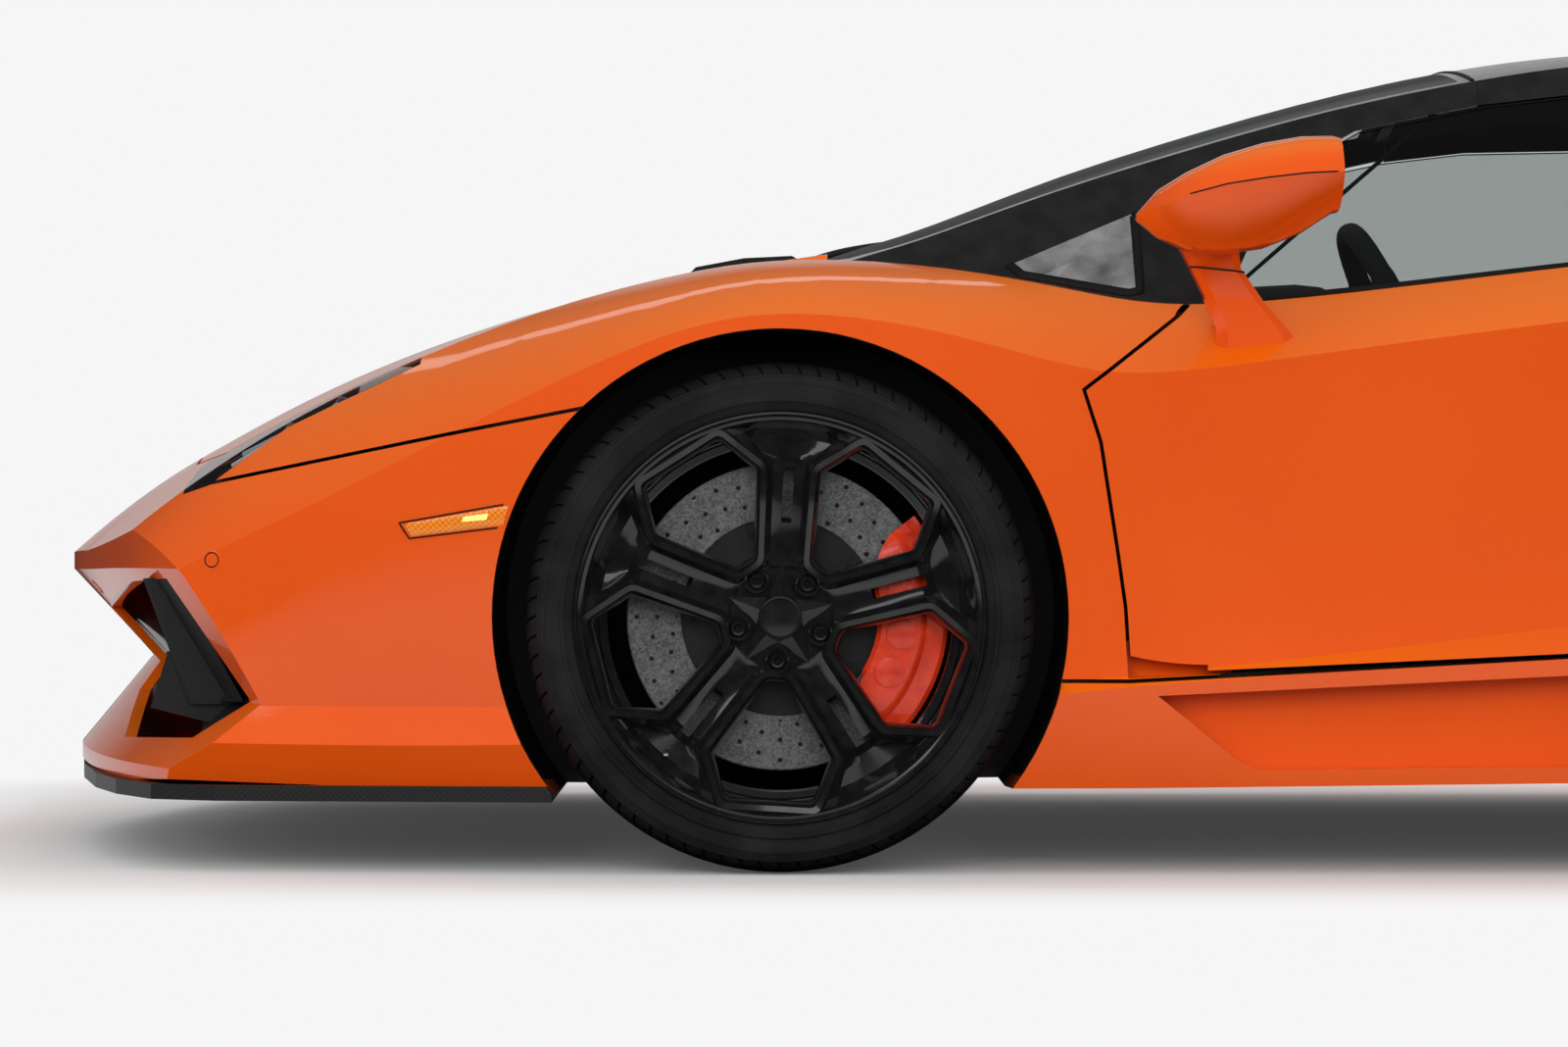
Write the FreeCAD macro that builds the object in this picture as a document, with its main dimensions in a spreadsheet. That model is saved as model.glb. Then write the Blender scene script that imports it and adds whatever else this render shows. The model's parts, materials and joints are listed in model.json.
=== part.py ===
# Mid-engined two-seat roadster with upward swinging doors.
# +X is forward, +Y is the car's left and +Z is up.
# The wheels stand on z = 0 and the middle of the length is at x = 0.

import FreeCAD, Part
import Sketcher
import math
import os
from FreeCAD import Vector, Placement, Rotation

doc = FreeCAD.newDocument("Supercar")

# Driving sizes in millimetres and degrees
SIZES = {
    "front_overhang": 1035,
    "wheelbase": 2700,
    "rear_overhang": 1045,
    "body_half_width": 1015,
    "roof_height": 1136,
    "front_tyre_radius": 330.5,
    "front_tyre_half_width": 127.5,
    "front_half_track": 860,
    "rear_tyre_radius": 354.5,
    "rear_tyre_half_width": 167.5,
    "rear_half_track": 825,
    "front_rim_radius": 266,
    "rear_rim_radius": 279,
    "tyre_seat_depth": 10,
    "rim_wall": 9,
    "flange_width": 9,
    "spoke_depth": 34,
    "dish": 20,
    "spindle_radius": 34,
    "turning_fit": 1,
    "pin_fit": 0.1,
    "disc_radius": 200,
    "disc_bore_radius": 128,
    "disc_thickness": 36,
    "disc_offset": 22,
    "disc_clearance": 5,
    "hat_radius": 82,
    "hat_wall": 8,
    "caliper_radius": 234,
    "kingpin_half_track": 835,
    "kingpin_radius": 11,
    "kingpin_height": 150,
    "arm_radius": 12,
    "arm_spread": 125,
    "arm_eye_radius": 20,
    "upright_depth": 78,
    "upright_half_length": 50,
    "upright_half_height": 118,
    "caliper_inner_wall": 44,
    "caliper_outer_wall": 13.5,
    "caliper_foot_radius": 118,
    "caliper_angle": 66,
    "steering_wheel_radius": 172,
    "steering_wheel_grip": 14,
    "steering_wheel_tilt": 25,
    "steering_hub_radius": 48,
    "exhaust_radius": 62,
    "exhaust_wall": 4,
    "front_well_gap": 42,
    "rear_well_gap": 32,
    "front_well_half_width": 580,
    "rear_well_half_width": 630,
    "lid_drop": 6,
    "bulkhead_front": -330,
    "bulkhead_rear": -470,
    "dash_wall": 905,
    "toe_wall": 1015,
    "floor_height": 165,
    "tub_sill_height": 425,
    "cabin_half_width": 798,
    "dash_half_width": 748,
    "footwell_wall": 32,
    "seat_half_track": 365,
    "seat_width": 500,
    "skin": 16,
    "fit_gap": 0.5,
    "shut_gap": 5,
    "glass": 5,
    "glass_lift": 9,
    "pillar": 38,
    "door_inner_half_width": 800,
    "door_swing_room": 24,
    "door_hinge_x": 803,
    "door_hinge_height": 708,
    "door_hinge_radius": 12,
    "door_hinge_toe": 0.08,
    "door_hinge_lean": 0.10,
    "lid_hinge_radius": 7,
    "lid_hinge_width": 36,
    "bonnet_hinge_x": 1474,
    "bonnet_hinge_height": 806,
    "bonnet_hinge_half_track": 120,
    "cover_hinge_x": -500,
    "cover_hinge_height": 1088,
    "cover_hinge_half_track": 150,
    "wing_hinge_x": -1972,
    "wing_hinge_height": 862,
    "wing_hinge_half_track": 300,
    "recess_half_width": 925,
    "recess_wall": 8,
    "intake_half_width": 800,
    "splitter_bottom": 92,
    "splitter_top": 112,
    "jack_pad_radius": 24,
    "jack_pad_drop": 6,
    "door_swing_radius": 438,
    "door_top_corner_sweep": 38.5,
}
sheet = doc.addObject("Spreadsheet::Sheet", "Sizes")
for row, (alias, value) in enumerate(SIZES.items(), start=1):
    sheet.set("A%d" % row, alias)
    sheet.set("B%d" % row, str(value))
    sheet.setAlias("B%d" % row, alias)
doc.recompute()


def size(alias):
    return float(sheet.get(alias))


half_width = size("body_half_width")
roof_height = size("roof_height")
skin = size("skin")
shut_gap = size("shut_gap")
half_length = (size("front_overhang") + size("wheelbase") + size("rear_overhang")) / 2
front_axle_x = half_length - size("front_overhang")
rear_axle_x = front_axle_x - size("wheelbase")
far = 2 * half_length
LEFT = 1
RIGHT = -1


# Places on the body. Along the car, 0 is the nose, 1 the front axle, 2 the rear axle
# and 3 the tail. Across it, 1 is the widest flank. Upwards, 1 is the roof.
def along(share):
    if share < 1:
        return front_axle_x + (1 - share) * size("front_overhang")
    if share < 2:
        return front_axle_x - (share - 1) * size("wheelbase")
    return rear_axle_x - (share - 2) * size("rear_overhang")


def across(share):
    return share * half_width


def up(share):
    return share * roof_height


# Cross-sections of the lower body: the share along, then (across, up) of the floor edge,
# rocker, sill top, lower crease, shoulder, ridge and valley, the height at the middle,
# and how far the flank and the haunch swell
BODY_SHARES = [
    (-0.058, (0.631, 0.106), (0.749, 0.113), (0.778, 0.132), (0.788, 0.150), (0.788, 0.167),
     (0.552, 0.213), (0.256, 0.270), 0.308, 0, 0),
    (0.087, (0.690, 0.099), (0.818, 0.107), (0.837, 0.145), (0.833, 0.180), (0.837, 0.264),
     (0.650, 0.339), (0.325, 0.395), 0.431, 0, 0.010),
    (0.229, (0.729, 0.095), (0.872, 0.104), (0.892, 0.148), (0.877, 0.188), (0.872, 0.346),
     (0.749, 0.440), (0.414, 0.482), 0.500, 0.010, 0.010),
    (0.425, (0.768, 0.092), (0.901, 0.099), (0.921, 0.145), (0.908, 0.190), (0.931, 0.421),
     (0.709, 0.551), (0.443, 0.577), 0.588, 0.012, 0.018),
    (0.667, (0.788, 0.086), (0.926, 0.091), (0.946, 0.145), (0.934, 0.188), (0.967, 0.537),
     (0.717, 0.643), (0.473, 0.655), 0.666, 0.012, 0.025),
    (0.860, (0.788, 0.086), (0.936, 0.091), (0.956, 0.154), (0.946, 0.190), (0.979, 0.618),
     (0.721, 0.690), (0.493, 0.692), 0.707, 0.010, 0.028),
    (1.000, (0.788, 0.088), (0.941, 0.093), (0.961, 0.167), (0.951, 0.194), (0.986, 0.643),
     (0.727, 0.711), (0.512, 0.707), 0.725, 0.010, 0.028),
    (1.076, (0.788, 0.092), (0.946, 0.097), (0.970, 0.189), (0.956, 0.204), (0.980, 0.621),
     (0.754, 0.701), (0.562, 0.711), 0.735, 0.004, 0.024),
    (1.150, (0.788, 0.093), (0.951, 0.097), (0.975, 0.210), (0.954, 0.222), (0.964, 0.563),
     (0.790, 0.666), (0.601, 0.685), 0.695, -0.008, 0.014),
    (1.200, (0.788, 0.094), (0.954, 0.098), (0.977, 0.220), (0.950, 0.232), (0.958, 0.570),
     (0.820, 0.639), (0.621, 0.647), 0.651, -0.014, 0.008),
    (1.379, (0.788, 0.099), (0.958, 0.104), (0.980, 0.249), (0.944, 0.280), (0.962, 0.632),
     (0.824, 0.695), (0.650, 0.687), 0.687, -0.016, 0.006),
    (1.557, (0.788, 0.102), (0.961, 0.107), (0.985, 0.273), (0.944, 0.339), (0.971, 0.671),
     (0.837, 0.738), (0.690, 0.732), 0.732, -0.014, 0.008),
    (1.724, (0.788, 0.104), (0.966, 0.110), (0.990, 0.299), (0.954, 0.379), (0.986, 0.697),
     (0.839, 0.766), (0.680, 0.766), 0.775, -0.006, 0.014),
    (1.872, (0.788, 0.106), (0.970, 0.113), (0.993, 0.317), (0.973, 0.396), (0.997, 0.706),
     (0.835, 0.782), (0.655, 0.776), 0.775, 0.004, 0.020),
    (2.000, (0.788, 0.110), (0.970, 0.119), (0.993, 0.326), (0.986, 0.401), (1.000, 0.706),
     (0.826, 0.786), (0.635, 0.776), 0.775, 0.006, 0.022),
    (2.340, (0.768, 0.119), (0.956, 0.132), (0.985, 0.326), (0.985, 0.401), (0.991, 0.702),
     (0.810, 0.778), (0.621, 0.769), 0.768, 0.006, 0.020),
    (2.675, (0.729, 0.141), (0.916, 0.158), (0.951, 0.317), (0.951, 0.396), (0.951, 0.695),
     (0.773, 0.764), (0.601, 0.759), 0.761, 0.006, 0.014),
    (3.057, (0.670, 0.167), (0.837, 0.185), (0.867, 0.308), (0.877, 0.387), (0.872, 0.680),
     (0.709, 0.744), (0.552, 0.744), 0.748, 0.006, 0.010),
]

# Cross-sections of the cabin top and the buttresses behind it: the share along,
# then (across, up) of the foot and the rail, and the height at the middle
CABIN_SHARES = [
    (0.744, (0.709, 0.555), (0.670, 0.599), 0.616),
    (0.860, (0.719, 0.572), (0.690, 0.618), 0.680),
    (0.957, (0.737, 0.583), (0.695, 0.658), 0.710),
    (1.026, (0.759, 0.599), (0.693, 0.703), 0.734),
    (1.063, (0.775, 0.609), (0.680, 0.725), 0.758),
    (1.100, (0.788, 0.614), (0.662, 0.759), 0.792),
    (1.149, (0.803, 0.612), (0.636, 0.801), 0.838),
    (1.199, (0.814, 0.612), (0.607, 0.838), 0.876),
    (1.249, (0.818, 0.627), (0.581, 0.874), 0.912),
    (1.300, (0.820, 0.644), (0.559, 0.905), 0.944),
    (1.350, (0.821, 0.660), (0.545, 0.929), 0.970),
    (1.400, (0.822, 0.672), (0.537, 0.948), 0.987),
    (1.465, (0.823, 0.685), (0.532, 0.962), 0.998),
    (1.539, (0.825, 0.698), (0.529, 0.964), 1.001),
    (1.613, (0.830, 0.707), (0.534, 0.949), 0.989),
    (1.724, (0.833, 0.722), (0.554, 0.912), 0.952),
    (1.872, (0.824, 0.731), (0.581, 0.865), 0.900),
    (2.053, (0.794, 0.726), (0.601, 0.826), 0.852),
    (2.435, (0.755, 0.695), (0.603, 0.779), 0.799),
    (2.722, (0.719, 0.643), (0.591, 0.704), 0.726),
]

# The nose in side view, at the middle and at the corners: (along, up) of the upper edge,
# the notch above the intake and the lower lip
NOSE_SHARES = [
    (0, ((-0.022, 0.337), (0.100, 0.233), (0.004, 0.121))),
    (0.30, ((0.050, 0.338), (0.150, 0.225), (0.046, 0.119))),
    (0.62, ((0.135, 0.345), (0.232, 0.206), (0.118, 0.117))),
    (0.90, ((0.228, 0.346), (0.326, 0.190), (0.232, 0.116))),
    (1.10, ((0.400, 0.347), (0.490, 0.180), (0.360, 0.115))),
]
# The tail in side view: (along, up) of the deck lip, lamp panel, bumper and diffuser
TAIL_SHARES = [
    (0, ((2.943, 0.748), (2.895, 0.616), (3.000, 0.458), (2.866, 0.150))),
    (0.55, ((2.928, 0.748), (2.880, 0.616), (2.985, 0.458), (2.850, 0.150))),
    (0.80, ((2.880, 0.745), (2.840, 0.614), (2.930, 0.456), (2.800, 0.150))),
    (1.10, ((2.700, 0.740), (2.680, 0.612), (2.740, 0.454), (2.640, 0.150))),
]

# Outlines in side view as (along, up)
DOOR_SHARES = [
    (1.200, 0.880), (1.200, 0.650), (1.194, 0.636), (1.146, 0.549), (1.154, 0.491), (1.162, 0.370),
    (1.166, 0.303), (1.168, 0.227), (1.375, 0.251), (1.613, 0.283), (1.652, 0.493), (1.694, 0.731),
    (1.702, 0.880),
]
DOOR_GLASS_SHARES = [
    (1.216, 0.616), (1.216, 0.668), (1.244, 0.800), (1.290, 0.862), (1.352, 0.893), (1.400, 0.906),
    (1.480, 0.910), (1.561, 0.903), (1.624, 0.867), (1.687, 0.722), (1.687, 0.616),
]
QUARTER_GLASS_SHARES = [(1.111, 0.698), (1.178, 0.766), (1.179, 0.666), (1.171, 0.662), (1.118, 0.685)]
FRONT_BUMPER_SHARES = [
    (-0.300, -0.053), (-0.300, 0.620), (0.260, 0.620), (0.267, 0.442), (0.763, 0.528), (0.957, 0.528),
    (0.957, -0.053),
]
HEADLAMP_SHARES = [
    (0.232, 0.432), (0.267, 0.442), (0.368, 0.511), (0.537, 0.584), (0.537, 0.704), (0.232, 0.704),
]
SILL_SHARES = [
    (1.094, -0.053), (1.094, 0.217), (1.167, 0.217), (1.375, 0.245), (1.615, 0.277), (1.657, 0.290),
    (1.872, 0.317), (1.872, -0.053),
]
REAR_BUMPER_SHARES = [
    (2.148, -0.053), (2.148, 0.370), (2.435, 0.458), (2.703, 0.493), (2.751, 0.616), (2.818, 0.880),
    (3.297, 0.880), (3.297, -0.053),
]

# The hollow in the sill below the door, and the intake ahead of the rear wheel
RECESS_SHARES = [
    (1.180, 0.203), (1.218, 0.130), (1.229, 0.118), (1.800, 0.132), (1.822, 0.180), (1.806, 0.268),
    (1.657, 0.266), (1.375, 0.226),
]
SIDE_INTAKE_SHARES = [
    (1.680, 0.493), (1.717, 0.595), (1.867, 0.581), (1.846, 0.475), (1.828, 0.352), (1.694, 0.335),
]

# Outlines of the left half seen from above as (along, across)
BONNET_SHARES = [
    (0.193, 0), (0.217, 0.394), (0.271, 0.552), (0.386, 0.640), (0.537, 0.680), (0.821, 0.711),
    (0.845, 0.552), (0.860, 0.296), (0.862, 0),
]
COWL_SHARES = [
    (0.853, 0), (0.851, 0.296), (0.836, 0.552), (0.832, 0.640), (0.918, 0.704), (1.006, 0.705),
    (1.044, 0.680), (1.048, 0.658), (1.034, 0.631), (1.020, 0.512), (1.010, 0.345), (1.006, 0),
]
WINDSCREEN_SHARES = [
    (1.006, 0), (1.011, 0.345), (1.021, 0.512), (1.035, 0.629), (1.056, 0.652), (1.100, 0.636),
    (1.149, 0.611), (1.199, 0.581), (1.249, 0.556), (1.300, 0.533), (1.344, 0.519), (1.346, 0),
]
ENGINE_COVER_SHARES = [(1.694, 0), (1.694, 0.537), (1.872, 0.567), (2.148, 0.581), (2.512, 0.581), (2.560, 0)]
REAR_WING_SHARES = [(2.617, 0), (2.603, 0.591), (2.627, 0.788), (2.789, 0.778), (2.818, 0)]
SPLITTER_SHARES = [
    (0.022, 0), (0.030, 0.158), (0.052, 0.325), (0.100, 0.581), (0.146, 0.739), (0.205, 0.862),
    (0.290, 0.906), (0.715, 0.951), (0.715, 0),
]
BLADE_SHARES = [(0.200, 0.336), (0.226, 0.352), (0.320, 0.192), (0.257, 0.190)]


# Free-form solids
def knots_and_repeats(count, degree):
    repeats = [degree + 1] + [1] * (count - degree - 1) + [degree + 1]
    return [float(knot) for knot in range(len(repeats))], repeats


def strip(columns):
    """A smooth face whose control points run along the stations and across the columns."""
    grid = [list(points) for points in zip(*columns)]
    degree_along = min(3, len(grid) - 1)
    degree_across = len(columns) - 1
    knots_along, repeats_along = knots_and_repeats(len(grid), degree_along)
    knots_across, repeats_across = knots_and_repeats(len(columns), degree_across)
    surface = Part.BSplineSurface()
    surface.buildFromPolesMultsKnots(
        grid, repeats_along, repeats_across, knots_along, knots_across,
        False, False, degree_along, degree_across)
    return surface.toShape()


def end_face(ring, strips):
    edges = []
    for places in strips:
        curve = Part.BezierCurve()
        curve.setPoles([ring[place] for place in places])
        edges.append(curve.toShape())
    return Part.Face(Part.Wire(edges))


def lofted_solid(rings, strips):
    """A closed solid through rings of control points, one face for each group of places."""
    faces = [strip([[ring[place] for ring in rings] for place in places]) for places in strips]
    faces.append(end_face(rings[0], strips))
    faces.append(end_face(rings[-1], strips))
    shell = Part.makeShell(faces)
    shell.sewShape()
    solid = Part.makeSolid(Part.Shell(shell.Faces))
    if solid.Volume < 0:
        solid.reverse()
    return solid


def moved_inward(outline, depth):
    """A closed flat outline with every side moved inward by the depth."""
    count = len(outline)
    area = sum(outline[i][0] * outline[(i + 1) % count][1] - outline[(i + 1) % count][0] * outline[i][1]
               for i in range(count))
    turn = 1 if area > 0 else -1
    result = []
    for i in range(count):
        before, here, after = outline[i - 1], outline[i], outline[(i + 1) % count]
        first = math.atan2(here[1] - before[1], here[0] - before[0])
        second = math.atan2(after[1] - here[1], after[0] - here[0])
        half_turn = math.remainder(second - first, 2 * math.pi) / 2
        middle = first + half_turn + turn * math.pi / 2
        reach = depth / math.cos(half_turn)
        result.append((here[0] + reach * math.cos(middle), here[1] + reach * math.sin(middle)))
    return result


def ring_at(x, outline, depth):
    return [Vector(x, y, z) for y, z in moved_inward(outline, depth)]


def swell(lower, upper, share):
    """The control point between two edges, pushed outward by a share of the half width."""
    run = Vector(upper[0] - lower[0], upper[1] - lower[1], 0)
    out = Vector(run.y, -run.x, 0).normalize() * across(share)
    return (lower[0] + run.x / 2 + out.x, lower[1] + run.y / 2 + out.y)


def both_sides(left_points):
    """Left points from the bottom to the top, then their mirror image back down."""
    return left_points + [(-y, z) for y, z in reversed(left_points)]


def body_solid(depth):
    rings = []
    for row in BODY_SHARES:
        points = [(across(a), up(b)) for a, b in row[1:8]]
        floor_edge, rocker, sill, crease, shoulder, ridge, valley = points
        flank = swell(crease, shoulder, row[9])
        haunch = swell(shoulder, ridge, row[10])
        crown = (valley[0] / 3, (4 * up(row[8]) - valley[1]) / 3)
        left = [floor_edge, rocker, sill, crease, flank, shoulder, haunch, ridge, valley, crown]
        rings.append(ring_at(along(row[0]), both_sides(left), depth))
    strips = [
        (0, 1), (1, 2), (2, 3), (3, 4, 5), (5, 6, 7), (7, 8), (8, 9, 10, 11), (11, 12),
        (12, 13, 14), (14, 15, 16), (16, 17), (17, 18), (18, 19), (19, 0)]
    return lofted_solid(rings, strips)


def cabin_solid(depth):
    rings = []
    for share, foot, rail, middle in CABIN_SHARES:
        foot_place = (across(foot[0]), up(foot[1]))
        rail_place = (across(rail[0]), up(rail[1]))
        side = swell(foot_place, rail_place, 0.012)
        crown = (rail_place[0] / 3, (4 * up(middle) - rail_place[1]) / 3)
        rings.append(ring_at(along(share), both_sides([foot_place, side, rail_place, crown]), depth))
    return lofted_solid(rings, [(0, 1, 2), (2, 3, 4, 5), (5, 6, 7), (7, 0)])


def end_trim(end_shares, direction, depth):
    """What lies beyond the nose or the tail, moved back by the depth."""
    rings = []
    mirrored = [(-share, points) for share, points in reversed(end_shares[1:])]
    for share, points in mirrored + end_shares:
        profile = [(along(a) - direction * depth, up(b)) for a, b in points]
        top = (profile[0][0], 2 * roof_height)
        bottom = (profile[-1][0], -roof_height)
        outside = direction * far
        loop = [(outside, 2 * roof_height), top] + profile + [bottom, (outside, -roof_height)]
        rings.append([Vector(x, across(share), z) for x, z in loop])
    count = len(rings[0])
    return lofted_solid(rings, [(place, (place + 1) % count) for place in range(count)])



def trimmed(solid, depth):
    return solid.cut(end_trim(NOSE_SHARES, 1, depth)).cut(end_trim(TAIL_SHARES, -1, depth))


# Where pieces start, end or lie, as shares of the same three measures
bonnet_bottom_share = 0.36
lid_bottom_share = 0.6
floor_front_share = 0.25
floor_rear_share = 2.62
floor_edge_share = 0.74
floor_top_share = 0.16
fender_rear_share = 1.21
fender_front_share = 0.20
fender_bottom_share = 0.10
fender_inner_share = 0.6
cowl_bottom_share = 0.55
header_share = 1.352
roof_rear_share = 1.594
hoop_rear_share = 1.665
pillar_foot_share = 1.14
door_glass_inner_share = 0.3
door_corner_top_share = 0.45
under_car_edge_share = 0.66
vent_front_share = 2.60
quarter_front_share = 1.60
lamp_front_share = 2.80
lamp_inner_share = 0.30
lamp_outer_share = 0.86
lamp_bottom_share = 0.640
lamp_top_share = 0.705
exhaust_height_share = 0.325
exhaust_front_share = 2.67
quarter_bottom_share = 0.11
toe_limit_share = 1.11
structure_front_share = 0.26
trunk_rear_share = 1.045
trunk_front_share = 0.52
trunk_edge_share = 0.42
trunk_bottom_share = 0.30
bay_rear_share = 2.50
bay_front_share = 1.69
bay_edge_share = 0.54
bay_bottom_share = 0.17
structure_rear_share = 2.72
cabin_inner_share = 0.5
cabin_bottom_share = 0.5
steering_wheel_share = 1.322
steering_wheel_height_share = 0.618
fin_rear_bottom_share = 0.135
fin_front_share = 2.64
fin_front_bottom_share = 0.108
front_pad_share = 1.25
rear_pad_share = 1.76
pad_top_share = 0.2
pad_floor_share = 0.098
mirror_share = 1.222
mirror_height_share = 0.765
engine_rear_share = 1.985
bead_share = 0.86
face_turn = 176.5


# Cutting shapes
def flat_solid(points, run):
    return Part.Face(Part.makePolygon(points + points[:1])).extrude(run)


def side_prism(shares, inner_y, outer_y, grow=0):
    """A side view outline carried across the car from one width to another."""
    outline = moved_inward([(along(a), up(b)) for a, b in shares], -grow)
    return flat_solid([Vector(x, inner_y, z) for x, z in outline], Vector(0, outer_y - inner_y, 0))


def top_prism(shares, bottom, top, grow=0):
    """The outline of a left half and its mirror image, carried upwards."""
    left = [(along(a), across(b)) for a, b in shares]
    right = [(x, -y) for x, y in reversed(left) if y > 0]
    outline = moved_inward(left + right, -grow)
    return flat_solid([Vector(x, y, bottom) for x, y in outline], Vector(0, 0, top - bottom))


def front_prism(shares, rear_x, front_x, grow=0):
    """A front view outline of (across, up) carried along the car."""
    outline = moved_inward([(across(a), up(b)) for a, b in shares], -grow)
    return flat_solid([Vector(rear_x, y, z) for y, z in outline], Vector(front_x - rear_x, 0, 0))


def block(low_x, high_x, low_y, high_y, low_z, high_z):
    return Part.makeBox(high_x - low_x, high_y - low_y, high_z - low_z, Vector(low_x, low_y, low_z))


def other_side(shape):
    return shape.mirror(Vector(0, 0, 0), Vector(0, 1, 0))


def on_both_sides(shape):
    return shape.fuse(other_side(shape))


def rod(start, end, radius):
    run = end - start
    return Part.makeCylinder(radius, run.Length, start, run)


def wheel_well(axle, axle_x):
    radius = size(axle + "_tyre_radius")
    inner_wall = Vector(axle_x, size(axle + "_well_half_width"), radius)
    return on_both_sides(rod(inner_wall, inner_wall + Vector(0, far, 0), radius + size(axle + "_well_gap")))


def largest(shape, count):
    """The biggest solids of a cut, without the crumbs."""
    solids = sorted(shape.Solids, key=lambda solid: -solid.Volume)[:count]
    return Part.makeCompound(solids) if count > 1 else solids[0]


def place_shape(label, shape):
    """A free-form piece as a document object of its own."""
    piece = doc.addObject("Part::Feature", label)
    piece.Label = label
    piece.Shape = shape
    pieces.append(piece)
    return piece


pieces = []
front_wells = wheel_well("front", front_axle_x)
rear_wells = wheel_well("rear", rear_axle_x)
body = trimmed(body_solid(0), 0)
body_inside = trimmed(body_solid(skin), skin)
body_core = trimmed(body_solid(skin + size("fit_gap")), skin + size("fit_gap"))
cabin = cabin_solid(0)
cabin_inside = cabin_solid(skin)

door_inner = size("door_inner_half_width")
door_hole = on_both_sides(side_prism(DOOR_SHARES, door_inner - shut_gap, far, shut_gap))
door_glass_hole = on_both_sides(side_prism(DOOR_GLASS_SHARES, 0, far, shut_gap))
tub_door_hole = on_both_sides(side_prism(DOOR_SHARES, door_inner - size("door_swing_room"), far, shut_gap))
quarter_hole = on_both_sides(side_prism(QUARTER_GLASS_SHARES, across(cabin_inner_share), far, size("fit_gap")))
sky = 2 * roof_height
bonnet_hole = top_prism(BONNET_SHARES, up(bonnet_bottom_share), sky, shut_gap)
cover_hole = top_prism(ENGINE_COVER_SHARES, up(lid_bottom_share), sky, shut_gap)
wing_hole = top_prism(REAR_WING_SHARES, up(lid_bottom_share), sky, shut_gap)
headlamp_hole = on_both_sides(side_prism(HEADLAMP_SHARES, across(cabin_inner_share), far, size("fit_gap")))
headlamp_hole = headlamp_hole.cut(bonnet_hole)

lower_skin = body.cut(body_inside).cut(cabin_inside).cut(front_wells).cut(rear_wells).cut(door_hole)
upper_skin = trimmed(cabin.cut(cabin_inside), 0).cut(body)

def lid_hinges(lid, direction):
    """Two fixed pins across a lid's hinge line, the lugs on the lid and the pockets around them."""
    radius = size("lid_hinge_radius")
    width = size("lid_hinge_width")
    x = size(lid + "_hinge_x")
    z = size(lid + "_hinge_height")
    pins, lugs, pockets = [], [], []
    for side in (LEFT, RIGHT):
        y = side * size(lid + "_hinge_half_track")
        pocket_half = width / 2 + shut_gap
        pins.append(rod(Vector(x, y - pocket_half, z), Vector(x, y + pocket_half, z), radius / 2))
        barrel = rod(Vector(x, y - width / 2, z), Vector(x, y + width / 2, z), radius)
        strap_end = x + direction * 7 * radius
        strap = block(min(x, strap_end), max(x, strap_end), y - width / 2, y + width / 2,
                      z - 2.2 * radius, z - 0.6 * radius)
        bore = rod(Vector(x, y - width, z), Vector(x, y + width, z), radius / 2 + size("pin_fit"))
        lugs.append(barrel.fuse(strap).cut(bore))
        pocket_end = x + direction * 5 * radius
        back = x - direction * 2 * radius
        pockets.append(block(min(back, pocket_end), max(back, pocket_end), y - pocket_half, y + pocket_half,
                             z - 5 * radius, z + 5 * radius))
    return Part.makeCompound(pins), Part.makeCompound(lugs), Part.makeCompound(pockets)


# Front bodywork
INTAKE_SHARES = [
    (0.190, 0.290), (0.630, 0.328), (0.822, 0.334), (0.868, 0.198), (0.828, 0.150), (0.552, 0.140),
    (0.325, 0.190),
]
floor_front_x = along(floor_front_share)
floor_rear_x = along(floor_rear_share)
floor_edge_y = across(floor_edge_share)
floor_top = up(floor_top_share)
floor_zone = block(floor_rear_x, floor_front_x, -floor_edge_y, floor_edge_y, -far, floor_top)
bumper_zone = side_prism(FRONT_BUMPER_SHARES, -far, far)
bumper_hole = side_prism(FRONT_BUMPER_SHARES, -far, far, shut_gap)
sill_zone = side_prism(SILL_SHARES, -far, far).cut(floor_zone)
sill_hole = side_prism(SILL_SHARES, -far, far, shut_gap)
intake_hole = on_both_sides(front_prism(INTAKE_SHARES, front_axle_x, far))
intake_seat = front_prism(INTAKE_SHARES, front_axle_x, far, -size("fit_gap"))
fender_rear_x = along(fender_rear_share)
quarter_front_x = along(quarter_front_share)

bumper = lower_skin.common(bumper_zone).cut(headlamp_hole).cut(bonnet_hole).cut(intake_hole).cut(floor_zone)
place_shape("front_bumper", largest(bumper, 1))

splitter = top_prism(SPLITTER_SHARES, size("splitter_bottom"), size("splitter_top")).cut(body).cut(front_wells)
place_shape("front_splitter", largest(splitter, 1))
blade_zone = side_prism(BLADE_SHARES, across(cabin_inner_share), far)
blade = largest(lower_skin.common(intake_seat).common(blade_zone), 1)
place_shape("intake_blades", Part.makeCompound([blade, other_side(blade)]))

bonnet_zone = top_prism(BONNET_SHARES, up(bonnet_bottom_share), sky)
bonnet_pins, bonnet_lugs, bonnet_pockets = lid_hinges("bonnet", 1)
bonnet = largest(lower_skin.common(bonnet_zone), 1).fuse(bonnet_lugs)
place_shape("bonnet", bonnet.removeSplitter())

headlamp_zone = side_prism(HEADLAMP_SHARES, across(cabin_inner_share), far).cut(bonnet_hole)
lamp = body.cut(body_inside).common(headlamp_zone)
place_shape("headlamps", Part.makeCompound([largest(lamp, 1), other_side(largest(lamp, 1))]))

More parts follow.
